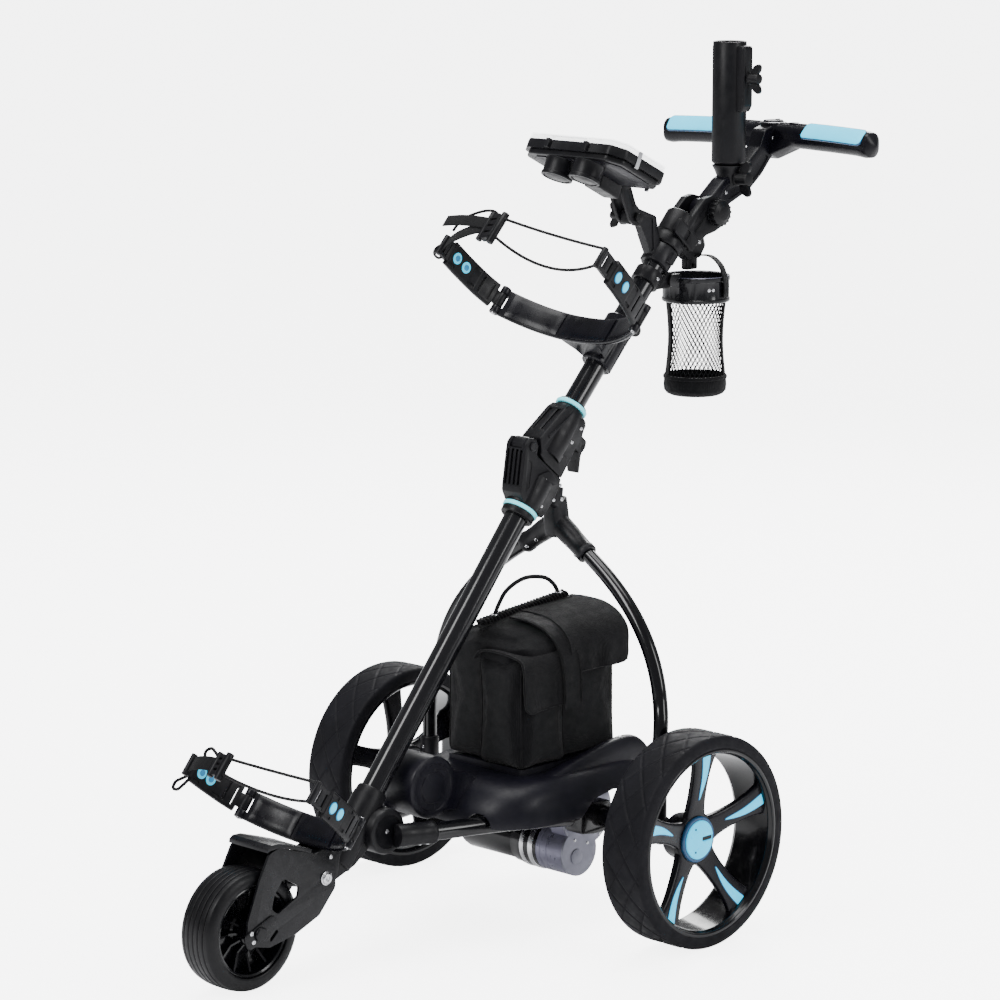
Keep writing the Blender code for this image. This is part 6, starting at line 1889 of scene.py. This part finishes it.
def motor():
    can = lathe([(0.0048, -0.112), (0.02, -0.112), (0.0245, -0.111), (0.0268, -0.109),
                 (0.0275, -0.106), (0.0275, -0.104), (0.0286, -0.103), (0.029, -0.1015),
                 (0.029, -0.012), (0.0265, -0.012), (0.0265, -0.106), (0.0048, -0.106)],
                MOTOR, X, 48)
    for k in range(12):
        out = radial(2 * pi * k / 12)
        can = cut(can, prism(rounded(rectangle(-0.1125, -0.002, -0.1075, 0.002), 0.001, 3),
                             MOTOR, X, X.cross(out), out, 0.0125, 0.0215))
    put(can, 'motor_can_body', 'gloss_black', 'motor_can', bevel=0.0004, sharp=35)
    bands = [ring_x(x0, x1, MOTOR, outer, 0.0326, 56, 0.0003)
             for x0, x1, outer in ((0.008, 0.015, 0.0338), (0.0235, 0.032, 0.0339))]
    put(merge(*bands), 'motor_bands', 'bright_steel', body='frame')
    sleeve = lathe([(0, -0.0116), (0.0305, -0.0116), (0.0312, -0.011), (0.0316, -0.004),
                    (0.0328, 0.002), (0.033, 0.006), (0.033, 0.037), (0, 0.037)], MOTOR, X, 56)
    put(sleeve, 'motor_front_sleeve', 'gloss_black', body='frame', sharp=30)


def gearbox():
    """Drums round the motor axis and the rear axle, with cover, boss and screws."""
    small = lathe([(0.004, 0.0372), (0.0322, 0.0372), (0.033, 0.0378), (0.033, 0.044),
                   (0.0322, 0.0446), (0.0322, 0.0462), (0.033, 0.0468), (0.033, 0.056),
                   (0.0322, 0.0566), (0.0322, 0.0582), (0.033, 0.0588), (0.033, 0.084),
                   (0.004, 0.084)], MOTOR, X, 60)
    large = lathe([(0.0096, 0.058), (0.0448, 0.058), (0.046, 0.0592), (0.046, 0.0839),
                   (0.0096, 0.0839)], AXLE, X, 60)
    put(merge(small, large), 'gearbox_body', 'motor_grey', 'gearbox_housing', sharp=30)
    cover = lathe([(0, 0.0844), (0.033, 0.0844), (0.033, 0.0866), (0.0322, 0.0872),
                   (0, 0.0872)], MOTOR, X, 56)
    cover = join(cover, lathe([(0, 0.0845), (0.046, 0.0845), (0.046, 0.0866),
                               (0.0452, 0.0871), (0, 0.0871)], AXLE, X, 56))
    cover = cut(cover, cyl_x(0.05, 0.12, 0, AXLE_Z, SHAFT_R + 0.0006, 28),
                cyl(SIDE_FRONT[1], SIDE_REAR[1], SIDE_R + 0.0008, 24))
    put(cover, 'gearbox_cover_plate', 'cast_grey', 'gearbox_cover', bevel=0.0004, sharp=35)
    boss = lathe([(0, 0.0871), (0.01, 0.0871), (0.0104, 0.0868), (0.0104, 0.0885),
                  (0.008, 0.089), (0, 0.0892)], MOTOR + Vector((0, -0.006, -0.006)), X, 30)
    put(boss, 'gearbox_boss', 'cast_grey', body='frame')
    angles = [radians(200 + 35 * k) for k in range(5)]
    places = [side_screw(1, 0.087, 0.0425 * cos(a), AXLE_Z + 0.0425 * sin(a)) for a in angles]
    screws('gearbox_screws', 'frame', [place for place in places if place[0].z < 0.12], 0.0022)


drive_housing()
motor()
gearbox()

# ================================================================ battery bag
BAG_FLOOR = 0.2128
RIDGE_FRONT, RIDGE_REAR = Vector((-0.015, -0.098, 0.3955)), Vector((-0.015, 0.062, 0.4115))


def apply_modifiers(piece):
    mesh = evaluated_mesh(piece)
    piece.modifiers.clear()
    piece.data = mesh


def blow_up(piece, cap):
    """Short cloth run under pressure, with each point's movement capped."""
    rest = [v.co.copy() for v in piece.data.vertices]
    cloth = piece.modifiers.new('c', 'CLOTH')
    settings = cloth.settings
    settings.quality = 5
    settings.mass = 0.25
    settings.tension_stiffness = 12
    settings.compression_stiffness = 12
    settings.shear_stiffness = 6
    settings.bending_stiffness = 0.6
    settings.use_pressure = True
    settings.uniform_pressure_force = 4.0
    settings.effector_weights.gravity = 0
    cloth.collision_settings.use_collision = False
    cloth.point_cache.frame_start = 1
    cloth.point_cache.frame_end = 20
    for number in range(1, 21):
        bpy.context.scene.frame_set(number)
    apply_modifiers(piece)
    bpy.context.scene.frame_set(1)
    for v, start in zip(piece.data.vertices, rest):
        d = v.co - start
        if d.length > cap:
            v.co = start + d * (cap / d.length)


def sewn(piece, voxel, cap, wrinkle, seed):
    """Sewn cloth: even mesh, blown up a little, wrinkled, then one subdivision."""
    remesh = piece.modifiers.new('r', 'REMESH')
    remesh.mode = 'VOXEL'
    remesh.voxel_size = voxel
    apply_modifiers(piece)
    blow_up(piece, cap)
    smooth = piece.modifiers.new('sm', 'SMOOTH')
    smooth.factor = 0.5
    smooth.iterations = 2
    apply_modifiers(piece)
    for v in piece.data.vertices:
        q = v.co * 26.0 + Vector((seed, seed * 2.0, 0))
        # broad, finer and horizontally drawn folds
        f = (noise.noise(q) * 0.6 + noise.noise(q * 2.3) * 0.3
             + noise.noise(Vector((q.x * 0.9, q.y * 0.9, q.z * 3.6))) * 0.35)
        v.co += v.normal * (wrinkle * f)
    for v in piece.data.vertices:
        v.co.z = max(v.co.z, BAG_FLOOR)
    subdivide = piece.modifiers.new('su', 'SUBSURF')
    subdivide.levels = subdivide.render_levels = 1
    apply_modifiers(piece)


def skin_of(piece):
    return BVHTree.FromPolygons([v.co.copy() for v in piece.data.vertices],
                                [tuple(p.vertices) for p in piece.data.polygons])


def piping(skin, corners, radius):
    """Thin cord sewn along an edge and lying on the cloth."""
    points = [Vector(corner) for corner in corners]
    run = [a + (b - a) * (i / 10) for a, b in zip(points[:-1], points[1:]) for i in range(10)]
    laid = []
    for p in run + [points[-1]]:
        spot, normal, _, _ = skin.find_nearest(p)
        laid.append(spot + normal * (radius * 0.3))
    for _ in range(2):
        middle = [laid[i - 1] * 0.25 + laid[i] * 0.5 + laid[i + 1] * 0.25
                  for i in range(1, len(laid) - 1)]
        laid = [laid[0]] + middle + [laid[-1]]
    return cord(laid, radius, 10, 2)


def crinkle(p, size, seed):
    q = p * 34.0 + Vector((seed, 0, seed))
    return Vector((noise.noise(q), noise.noise(q + Vector((7, 3, 1))),
                   noise.noise(q + Vector((2, 9, 5))))) * size


def corner_lift(distance, radius):
    """Rise of a panel's hem near its rounded corner."""
    if distance >= radius:
        return 0.0
    return radius - math.sqrt(max(0.0, radius ** 2 - (radius - distance) ** 2))


def bag_body():
    """Main compartment: sides nearly flat, top rising to the ridge and sinking forwards."""
    body = box(-0.07, 0.0705, -0.108, 0.076, 0.213, 0.382, 0.0075, 4)
    wedge = prism([(-0.067, 0.376), (-0.035, 0.392), (-0.012, 0.4), (0.012, 0.4005),
                   (0.045, 0.396), (0.067, 0.383), (0.067, 0.37), (-0.067, 0.37)],
                  ORIGIN, X, Z, Y, -0.098, 0.074, 0.003)
    body = join(body, wedge)
    sewn(body, voxel=0.0045, cap=0.003, wrinkle=0.0011, seed=1.0)
    for v in body.data.vertices:
        forward = max(0.0, min(1.0, (-v.co.y - 0.02) / 0.08))
        if v.co.z > 0.37:
            v.co.z -= 0.01 * forward * min(1.0, (v.co.z - 0.37) / 0.02)
    skin = skin_of(body)
    put(body, 'battery_bag_body', 'nylon_cloth', 'battery_bag', sharp=80)
    return skin


def bag_pocket():
    """Pocket at the front corner on the +X side."""
    pocket = box(-0.003, 0.0775, -0.115, -0.03, 0.2135, 0.356, 0.0065, 4)
    sewn(pocket, voxel=0.0042, cap=0.0028, wrinkle=0.0013, seed=3.0)
    skin = skin_of(pocket)
    put(pocket, 'battery_bag_pocket', 'nylon_cloth', body='battery', sharp=80)
    return skin


def bag_lid():
    """Lid from the ridge over the top and down the +X side, with its gusset and binding."""
    curve = smooth_points(8, (-0.02, 0, 0.405), (0.01, 0, 0.4065), (0.04, 0, 0.404),
                          (0.064, 0, 0.395), (0.079, 0, 0.38), (0.0835, 0, 0.362),
                          (0.084, 0, 0.345), (0.0845, 0, 0.333))
    y0, y1, steps = -0.03, 0.0815, 46
    grid = []
    for i in range(steps + 1):
        t = i / steps
        lift = corner_lift(min(t, 1 - t) * (y1 - y0), 0.012)
        row = []
        for j, c in enumerate(curve):
            low = max(0.0, (j / (len(curve) - 1) - 0.55) / 0.45)
            z = c.z + lift * low - 0.004 * (1 - t) * (1 - low * 0.5)
            x = c.x + 0.002 * low * sin(t * 9.0 + 1.0) + 0.0012 * low * sin(t * 21.0 + 1.0)
            p = Vector((x, y0 + (y1 - y0) * t, z))
            row.append(p + crinkle(p, 0.0013 * (0.3 + low), 1.0))
        grid.append(row)
    put(sheet(grid, 0.0024), 'battery_bag_lid', 'nylon_cloth', body='battery', sharp=80)
    # gusset at the lid's rear end
    gusset = []
    for i in range(13):
        t = i / 12
        gusset.append([Vector((p.x - 0.002, 0.0815 + 0.0012 * sin(3 * t),
                               max(p.z - 0.048 * t, 0.333)))
                       + crinkle(Vector((p.x, 0.0825, p.z)), 0.0006, 4)
                       for p in grid[-1][::2]])
    put(sheet(gusset, 0.0018), 'battery_bag_lid_gusset', 'nylon_cloth', body='battery',
        sharp=80)
    rim = grid[0][4:] + [row[-1] for row in grid] + grid[-1][4:][::-1]
    put(sweep(rim, circle(0.0016, 10), Z), 'battery_bag_lid_binding', 'webbing',
        body='battery', sharp=70)


def pocket_flap():
    """Flap that curls over the pocket's top and hangs down its side."""
    curve = smooth_points(7, (-0.0045, 0, 0.353), (0.006, 0, 0.364), (0.035, 0, 0.3665),
                          (0.064, 0, 0.364), (0.08, 0, 0.356), (0.0845, 0, 0.338),
                          (0.085, 0, 0.315), (0.085, 0, 0.293))
    width, steps = 0.087, 36
    grid = []
    for i in range(steps + 1):
        t = i / steps
        lift = corner_lift(min(t, 1 - t) * width, 0.016)
        row = []
        for j, c in enumerate(curve):
            low = max(0.0, (j / (len(curve) - 1) - 0.45) / 0.55)
            p = Vector((c.x + 0.0018 * low * sin(7 * t + 1), -0.1185 + width * t,
                        c.z + lift * low + 0.005 * low * (t - 0.5)))
            row.append(p + crinkle(p, 0.0011 * (0.3 + low), 6))
        grid.append(row)
    put(sheet(grid, 0.0022), 'battery_bag_pocket_flap', 'nylon_cloth', body='battery',
        sharp=80)
    rim = grid[0] + [row[-1] for row in grid[1:-1]] + grid[-1][::-1]
    put(sweep(rim, circle(0.0015, 10), Z), 'battery_bag_flap_binding', 'webbing',
        body='battery', sharp=70)


def bag_side_strap():
    path = smooth_points(8, (0.01, -0.056, 0.403), (0.042, -0.048, 0.399),
                         (0.07, -0.04, 0.385), (0.086, -0.034, 0.356),
                         (0.089, -0.031, 0.32), (0.0885, -0.03, 0.287))
    grid = []
    for i, p in enumerate(path):
        t = direction(path, i)
        w = (Y - t * Y.dot(t)).normalized()
        grid.append([p + w * (0.017 * (j / 6 - 0.5) * 2)
                     + crinkle(p + w * (0.03 * j / 6), 0.0007, 2) for j in range(7)])
    put(sheet(grid, 0.002), 'battery_bag_side_strap', 'webbing', body='battery', sharp=70)
    stitches = []
    for offset in (-0.015, 0.015):
        line = [p + Y * offset + (X * 0.0013 if p.z < 0.38 else Z * 0.0013)
                for p in path[4:-2]]
        stitches.append(sweep(line, circle(0.0005, 6), Y))
    put(merge(*stitches), 'battery_bag_strap_stitching', 'braid_cord', body='battery')


def bag_ridge():
    """Three-strand braid on a tape along the ridge, with a carrying cord in two eyelets."""
    run = RIDGE_REAR - RIDGE_FRONT
    section = [(a, 0.0024 * sin(2 * pi * i / 10))
               for i, (a, _) in enumerate(circle(0.0029, 10))]
    strands = []
    for k in range(3):
        path = []
        for i in range(121):
            t = i / 120
            q = 2 * pi * (9.0 * t) + 2 * pi * k / 3
            path.append(RIDGE_FRONT + run * t + X * (0.005 * sin(q)) + Z * (0.0024 * sin(2 * q)))
        strands.append(sweep(path, section, Z))
    put(merge(*strands), 'battery_bag_ridge_braid', 'braid_cord', body='battery', sharp=70)
    grid = []
    for i in range(30):
        p = RIDGE_FRONT + run * (i / 29 * 1.06 - 0.03) - Z * 0.0035
        grid.append([p + X * (0.0095 * (j / 4 - 0.5) * 2) - Z * (0.0012 * abs(j - 2))
                     for j in range(5)])
    put(sheet(grid, 0.003), 'battery_bag_ridge_tape', 'webbing', body='battery', sharp=70)
    carry = [(-0.015, -0.072, 0.399), (-0.015, -0.064, 0.414), (-0.0145, -0.048, 0.432),
             (-0.014, -0.016, 0.443), (-0.014, 0.02, 0.439), (-0.0145, 0.04, 0.427),
             (-0.015, 0.05, 0.413)]
    put_cord('battery_bag_carry_cord', [Vector(p) for p in carry], 0.0029, 'battery', steps=10)
    eyelets = [lathe([(0.0032, -0.0012), (0.0052, -0.0012), (0.0056, 0.0), (0.0052, 0.0012),
                      (0.0032, 0.0012)], Vector(p), Z, 20)
               for p in ((-0.015, -0.072, 0.402), (-0.015, 0.05, 0.414))]
    put(merge(*eyelets), 'battery_bag_eyelets', 'bright_steel', body='battery')


def bag_piping(body_skin, pocket_skin):
    cords = [piping(body_skin, [(-0.07, y, z) for z in (0.218, 0.27, 0.32, 0.372)], 0.0013)
             for y in (-0.108, 0.076)]
    for x0, y0, x1, y1 in ((-0.066, -0.108, -0.006, -0.108), (-0.066, 0.076, 0.066, 0.076),
                           (-0.07, -0.104, -0.07, 0.072)):
        cords.append(piping(body_skin, [(x0, y0, 0.2145), ((x0 + x1) / 2, (y0 + y1) / 2, 0.2145),
                                        (x1, y1, 0.2145)], 0.0013))
    cords.append(piping(body_skin, [(-0.06, 0.076, 0.38), (0.0, 0.076, 0.381),
                                    (0.06, 0.076, 0.38)], 0.0011))
    for x, y in ((0.0775, -0.115), (-0.003, -0.115), (0.0775, -0.03)):
        cords.append(piping(pocket_skin, [(x, y, z) for z in (0.218, 0.285, 0.348)], 0.0012))
    put(merge(*cords), 'battery_bag_piping', 'webbing', body='battery', sharp=70)


def battery_lead():
    """Power lead and plug at the rear."""
    lead = [(0.075, 0.234), (0.085, 0.2345), (0.0925, 0.229), (0.094, 0.22), (0.094, 0.215)]
    put_cord('battery_lead', [Vector((0, y, z)) for y, z in lead], 0.0036, 'battery',
             'soft_rubber', sides=14)
    put(lathe([(0, 0), (0.007, 0), (0.0075, 0.0008), (0.0075, 0.0075), (0.0055, 0.01),
               (0.0042, 0.0115), (0, 0.0115)], Vector((0, 0.094, 0.2062)), Z, 24),
        'battery_lead_plug', 'moulded_black', body='battery')


body_skin = bag_body()
pocket_skin = bag_pocket()
bag_lid()
pocket_flap()
bag_side_strap()
bag_ridge()
bag_piping(body_skin, pocket_skin)
battery_lead()

# ================================================================ cords and buckles


def slotted_plate(p, along, normal, width, length, thickness, slots):
    """Flat moulded buckle at p; slots are places along it."""
    u = along.normalized()
    w = (normal - u * normal.dot(u)).normalized()
    v = w.cross(u)
    piece = prism(rounded(centred(length / 2, width / 2), min(width, length) * 0.22, 5),
                  p, u, v, w, -thickness / 2, thickness / 2)
    for a in slots:
        piece = cut(piece, prism(rounded(rectangle(a - 0.0016, -width * 0.34, a + 0.0016,
                                                   width * 0.34), 0.0012, 3),
                                 p, u, v, w, -thickness, thickness))
    return piece


def hanging(middle, end, drop):
    """Parabola from the lowest point of a cord up to one end."""
    return ([middle]
            + [middle + (end - middle) * q - drop * (q - q * q) for q in (0.2, 0.4, 0.6, 0.8)]
            + [end])


def cradle_straps(prefix, base, arms, t, n, buckle, length, half, sag, left_tab, web_inset):
    """Tabs, buckle, webbing and two cords that close a cradle.

    The buckle is length along t and half each way from its centre before rounding out;
    sag is the drop of the cords.
    """
    left_arm, right_arm = prefix + '_arm_left', prefix + '_arm_right'
    (left_end, left_dir), (right_end, right_dir) = arms['left'], arms['right']
    # slotted tab that carries on from each arm
    for tag, end, d, body, tab_length in (('left', left_end, left_dir, left_arm, left_tab),
                                          ('right', right_end, right_dir, right_arm, 0.033)):
        tab = slotted_plate(end + d * (tab_length / 2 - 0.001), d, X, 0.027, tab_length, 0.0062,
                            (-tab_length * 0.18, tab_length * 0.22))
        tip = end + d * (tab_length - 0.003)
        tab = join(tab, cyl(tip - t * 0.015, tip + t * 0.015, 0.0042, 20, 0.0008))
        put(tab, '%s_tab_%s' % (prefix, tag), 'moulded_black', body=body, bevel=0.0005)
    catch = right_end + right_dir * 0.0215
    put(cyl(catch - t * 0.012, catch + t * 0.012, 0.0016, 12), prefix + '_catch_pin',
        'bright_steel', body=right_arm)
    # buckle hanging in the cords: a slotted block between two rollers
    block = slotted_plate(buckle, t, (n - X * 0.25).normalized(), half * 1.7, length, 0.0085,
                          (-length * 0.24, length * 0.02, length * 0.27))
    for side, radius, extra in ((1, 0.0052, 0.004), (-1, 0.0044, 0.002)):
        p = buckle + X * (side * half * 0.85)
        reach = t * (length / 2 + extra)
        block = join(block, cyl(p - reach, p + reach, radius, 24, 0.001))
    put(block, prefix + '_buckle', 'moulded_black', body=left_arm, bevel=0.0005, sharp=40)
    # webbing from the left arm's tab to the buckle
    start = left_end + left_dir * web_inset
    end = buckle - X * (half * 0.85)
    path = smooth_path([start, start + (end - start) * 0.35 + n * 0.006,
                        start + (end - start) * 0.7 + n * 0.005, end], 8)
    put(sweep(path, rounded_rect(0.002, 0.02, 0.0009), t), prefix + '_buckle_web', 'webbing',
        body=left_arm, sharp=60)
    # two cords across the bag, each in two halves that meet in the middle
    tab_end = right_end + right_dir * 0.031
    for level_name, on_buckle, on_tab, share in (('high', 0.4, 0.013, 0.1),
                                                 ('low', -0.3, -0.013, 1.0)):
        a = buckle + X * (half * 0.85) + t * (length * on_buckle)
        b = tab_end + t * on_tab
        drop = Z * (sag * share) + n * (0.004 * share)
        middle = (a + b) / 2 - drop
        for end, tag, arm in ((a, 'left', left_arm), (b, 'right', right_arm)):
            span = end - middle
            put_cord('%s_cord_%s_%s' % (prefix, level_name, tag), hanging(middle, end, drop),
                     0.002, (base, arm, middle + span * 0.15, end - span * 0.12))


def upper_loops(buckle):
    """Stiff free end of the webbing, and two cord loops."""
    t, n = TOP_AXIS, TOP_FRONT
    q = buckle - X * 0.008 + n * 0.003 + t * 0.004
    tail = smooth_path([q, q - X * 0.026 + t * 0.001, q - X * 0.055 + t * 0.0015 - n * 0.002,
                        q - X * 0.085 + t * 0.001 - n * 0.007], 8)
    put(sweep(tail, rounded_rect(0.0019, 0.0175, 0.0008), t), 'upper_strap_tail', 'webbing',
        body='upper_arm_left', sharp=60)
    # (x, along the tube) from each loop's root
    pull = [(0, 0), (-0.014, 0.006), (-0.032, 0.004), (-0.052, -0.006), (-0.062, -0.018),
            (-0.064, -0.032)]
    q = buckle + t * 0.02
    put_cord('upper_pull_loop', [q + X * a + t * b for a, b in pull], 0.0019, 'upper_arm_left')
    end, end_dir = UPPER_ARMS['left']
    q = end + end_dir * 0.006
    loop = [(0, 0.008), (-0.01, 0.01), (-0.022, 0.002), (-0.02, -0.008), (-0.008, -0.014),
            (0, -0.01)]
    put_cord('upper_end_loop', [q + X * a + t * b for a, b in loop], 0.0018, 'upper_arm_left')


def lower_loops(buckle):
    t, n = LOW_AXIS, LOW_FRONT
    # fractions along the loop and across it
    outline = [(0, 0.35), (0.45, 0.8), (0.8, 0.95), (1, 0), (0.8, -0.95), (0.45, -0.8),
               (0, -0.35)]
    for name, root, reach in (
            ('lower_pull_loop', buckle + t * 0.008 - X * 0.01, X * -0.026 + t * 0.006),
            ('lower_end_loop', LOWER_ARMS['left'][0] - X * 0.001 - t * 0.012,
             X * -0.018 + t * -0.02)):
        across = n.cross(reach).normalized() * 0.007
        put_cord(name, [root + reach * a + across * b for a, b in outline], 0.0021,
                 'lower_arm_left')


UPPER_BUCKLE = Vector((-0.07, -0.0205, 0.905))
LOWER_BUCKLE = Vector((-0.069, -0.506, 0.267))
cradle_straps('upper', 'upper_frame', UPPER_ARMS, TOP_AXIS, TOP_FRONT, UPPER_BUCKLE,
              length=0.04, half=0.0125, sag=0.019, left_tab=0.02, web_inset=0.015)
upper_loops(UPPER_BUCKLE)
cradle_straps('lower', 'frame', LOWER_ARMS, LOW_AXIS, LOW_FRONT, LOWER_BUCKLE,
              length=0.03, half=0.0095, sag=0.006, left_tab=0.013, web_inset=0.008)
lower_loops(LOWER_BUCKLE)

# ================================================================ CAD pieces kept as they are
NODE_MATERIAL = {'battery_pack': 'housing_grey', 'motor_rotor': 'bright_steel',
                 'drive_shaft_left': 'bright_steel', 'drive_shaft_right': 'bright_steel'}
SLOT_MATERIAL = {'black_tube': 'tube_paint', 'black_plastic': 'moulded_black',
                 'grey_plastic': 'housing_grey', 'tyre': 'tyre_rubber',
                 'blue': 'cyan_plastic', 'pale_blue': 'pale_cyan', 'fabric': 'nylon_cloth',
                 'steel': 'bright_steel', 'motor_grey': 'motor_grey',
                 'clear': 'clear_plastic'}
for node_name, piece in frame["nodes"].items():
    if not piece.hide_render:
        key = (NODE_MATERIAL.get(node_name)
               or SLOT_MATERIAL.get(NODE_SLOT.get(node_name), 'moulded_black'))
        piece.data.materials.clear()
        piece.data.materials.append(MATERIALS[key])

# ================================================================ stage


def build_floor(half=100, cells=8):
    bm = bmesh.new()
    for i in range(cells + 1):
        for j in range(cells + 1):
            bm.verts.new((-half + 2 * half * i / cells, -half + 2 * half * j / cells, 0))
    bm.verts.ensure_lookup_table()
    for i in range(cells):
        for j in range(cells):
            a = i * (cells + 1) + j
            b = a + cells + 1
            bm.faces.new([bm.verts[k] for k in (a, b, b + 1, a + 1)])
    floor = solid(bm)
    floor.name = 'floor'
    floor.data.name = 'floor'
    floor.data.materials.append(MATERIALS['pale_floor'])


def build_world(colour, diffuse, glossy, backdrop):
    """Bright backdrop to the camera, fill on matt surfaces, a dim room in reflections."""
    world = bpy.data.worlds.new('studio')
    bpy.context.scene.world = world
    world.use_nodes = True
    tree = world.node_tree
    background = tree.nodes['Background']
    background.inputs['Color'].default_value = colour
    rays = add_node(tree, 'ShaderNodeLightPath')
    surface = add_node(tree, 'ShaderNodeMapRange')
    surface.inputs['To Min'].default_value = diffuse
    surface.inputs['To Max'].default_value = glossy
    tree.links.new(rays.outputs['Is Glossy Ray'], surface.inputs['Value'])
    mix = add_node(tree, 'ShaderNodeMix')
    tree.links.new(rays.outputs['Is Camera Ray'], mix.inputs['Factor'])
    tree.links.new(surface.outputs['Result'], mix.inputs['A'])
    mix.inputs['B'].default_value = backdrop
    tree.links.new(mix.outputs['Result'], background.inputs['Strength'])


def light_floor(strength):
    """The floor glows to the camera only."""
    tree = MATERIALS['pale_floor'].node_tree
    shader = tree.nodes['Principled BSDF']
    rays = add_node(tree, 'ShaderNodeLightPath')
    scale = add_node(tree, 'ShaderNodeMath', operation='MULTIPLY')
    scale.inputs[1].default_value = strength
    tree.links.new(rays.outputs['Is Camera Ray'], scale.inputs[0])
    shader.inputs['Emission Color'].default_value = (1, 1, 1, 1)
    tree.links.new(scale.outputs[0], shader.inputs['Emission Strength'])


def build_camera(back, right, target, distance, lens):
    data = bpy.data.cameras.new('camera')
    camera = bpy.data.objects.new('camera', data)
    bpy.context.scene.collection.objects.link(camera)
    up = back.cross(right)
    place = target + back * distance
    camera.matrix_world = Matrix((*zip(right, up, back, place), (0, 0, 0, 1)))
    data.sensor_width = 36
    data.lens = lens
    data.clip_end = 400
    bpy.context.scene.camera = camera


def softbox(name, place, target, width, height, energy):
    light = bpy.data.lights.new(name, 'AREA')
    light.shape = 'RECTANGLE'
    light.size, light.size_y = width, height
    light.energy = energy
    light.color = (1, 1, 1)
    lamp = bpy.data.objects.new(name, light)
    bpy.context.scene.collection.objects.link(lamp)
    lamp.location = place
    lamp.rotation_euler = (place - target).normalized().to_track_quat('Z', 'Y').to_euler()


build_floor()
build_world(colour=(0.97, 0.98, 1.0, 1), diffuse=1.05, glossy=0.28, backdrop=7.0)
light_floor(strength=5.0)

AZIMUTH, ELEVATION = radians(44.611), radians(10.462)
BACK = Vector((sin(AZIMUTH) * cos(ELEVATION), -cos(AZIMUTH) * cos(ELEVATION),
               sin(ELEVATION)))               # from the target to the camera
RIGHT = Vector((cos(AZIMUTH), sin(AZIMUTH), 0))
build_camera(BACK, RIGHT, target=Vector((0, -0.0763, 0.5579)) + OUTLINE_SHIFT,
             distance=4.949, lens=136.5)

LIT = Vector((0, 0.0, 0.55))                  # the point that the lights face
softbox('key', LIT - RIGHT * 2.6 + BACK * 2.2 + Z * 2.4, LIT, width=1.3, height=2.4, energy=120)
softbox('fill', LIT + RIGHT * 3.0 + BACK * 1.6 + Z * 1.2, LIT, width=0.9, height=2.0, energy=45)
softbox('overhead', LIT + Z * 3.6 - BACK * 0.4, LIT, width=2.6, height=2.6, energy=140)
softbox('rim', LIT - BACK * 3.2 + RIGHT * 0.8 + Z * 2.2, LIT, width=2.0, height=1.2, energy=90)
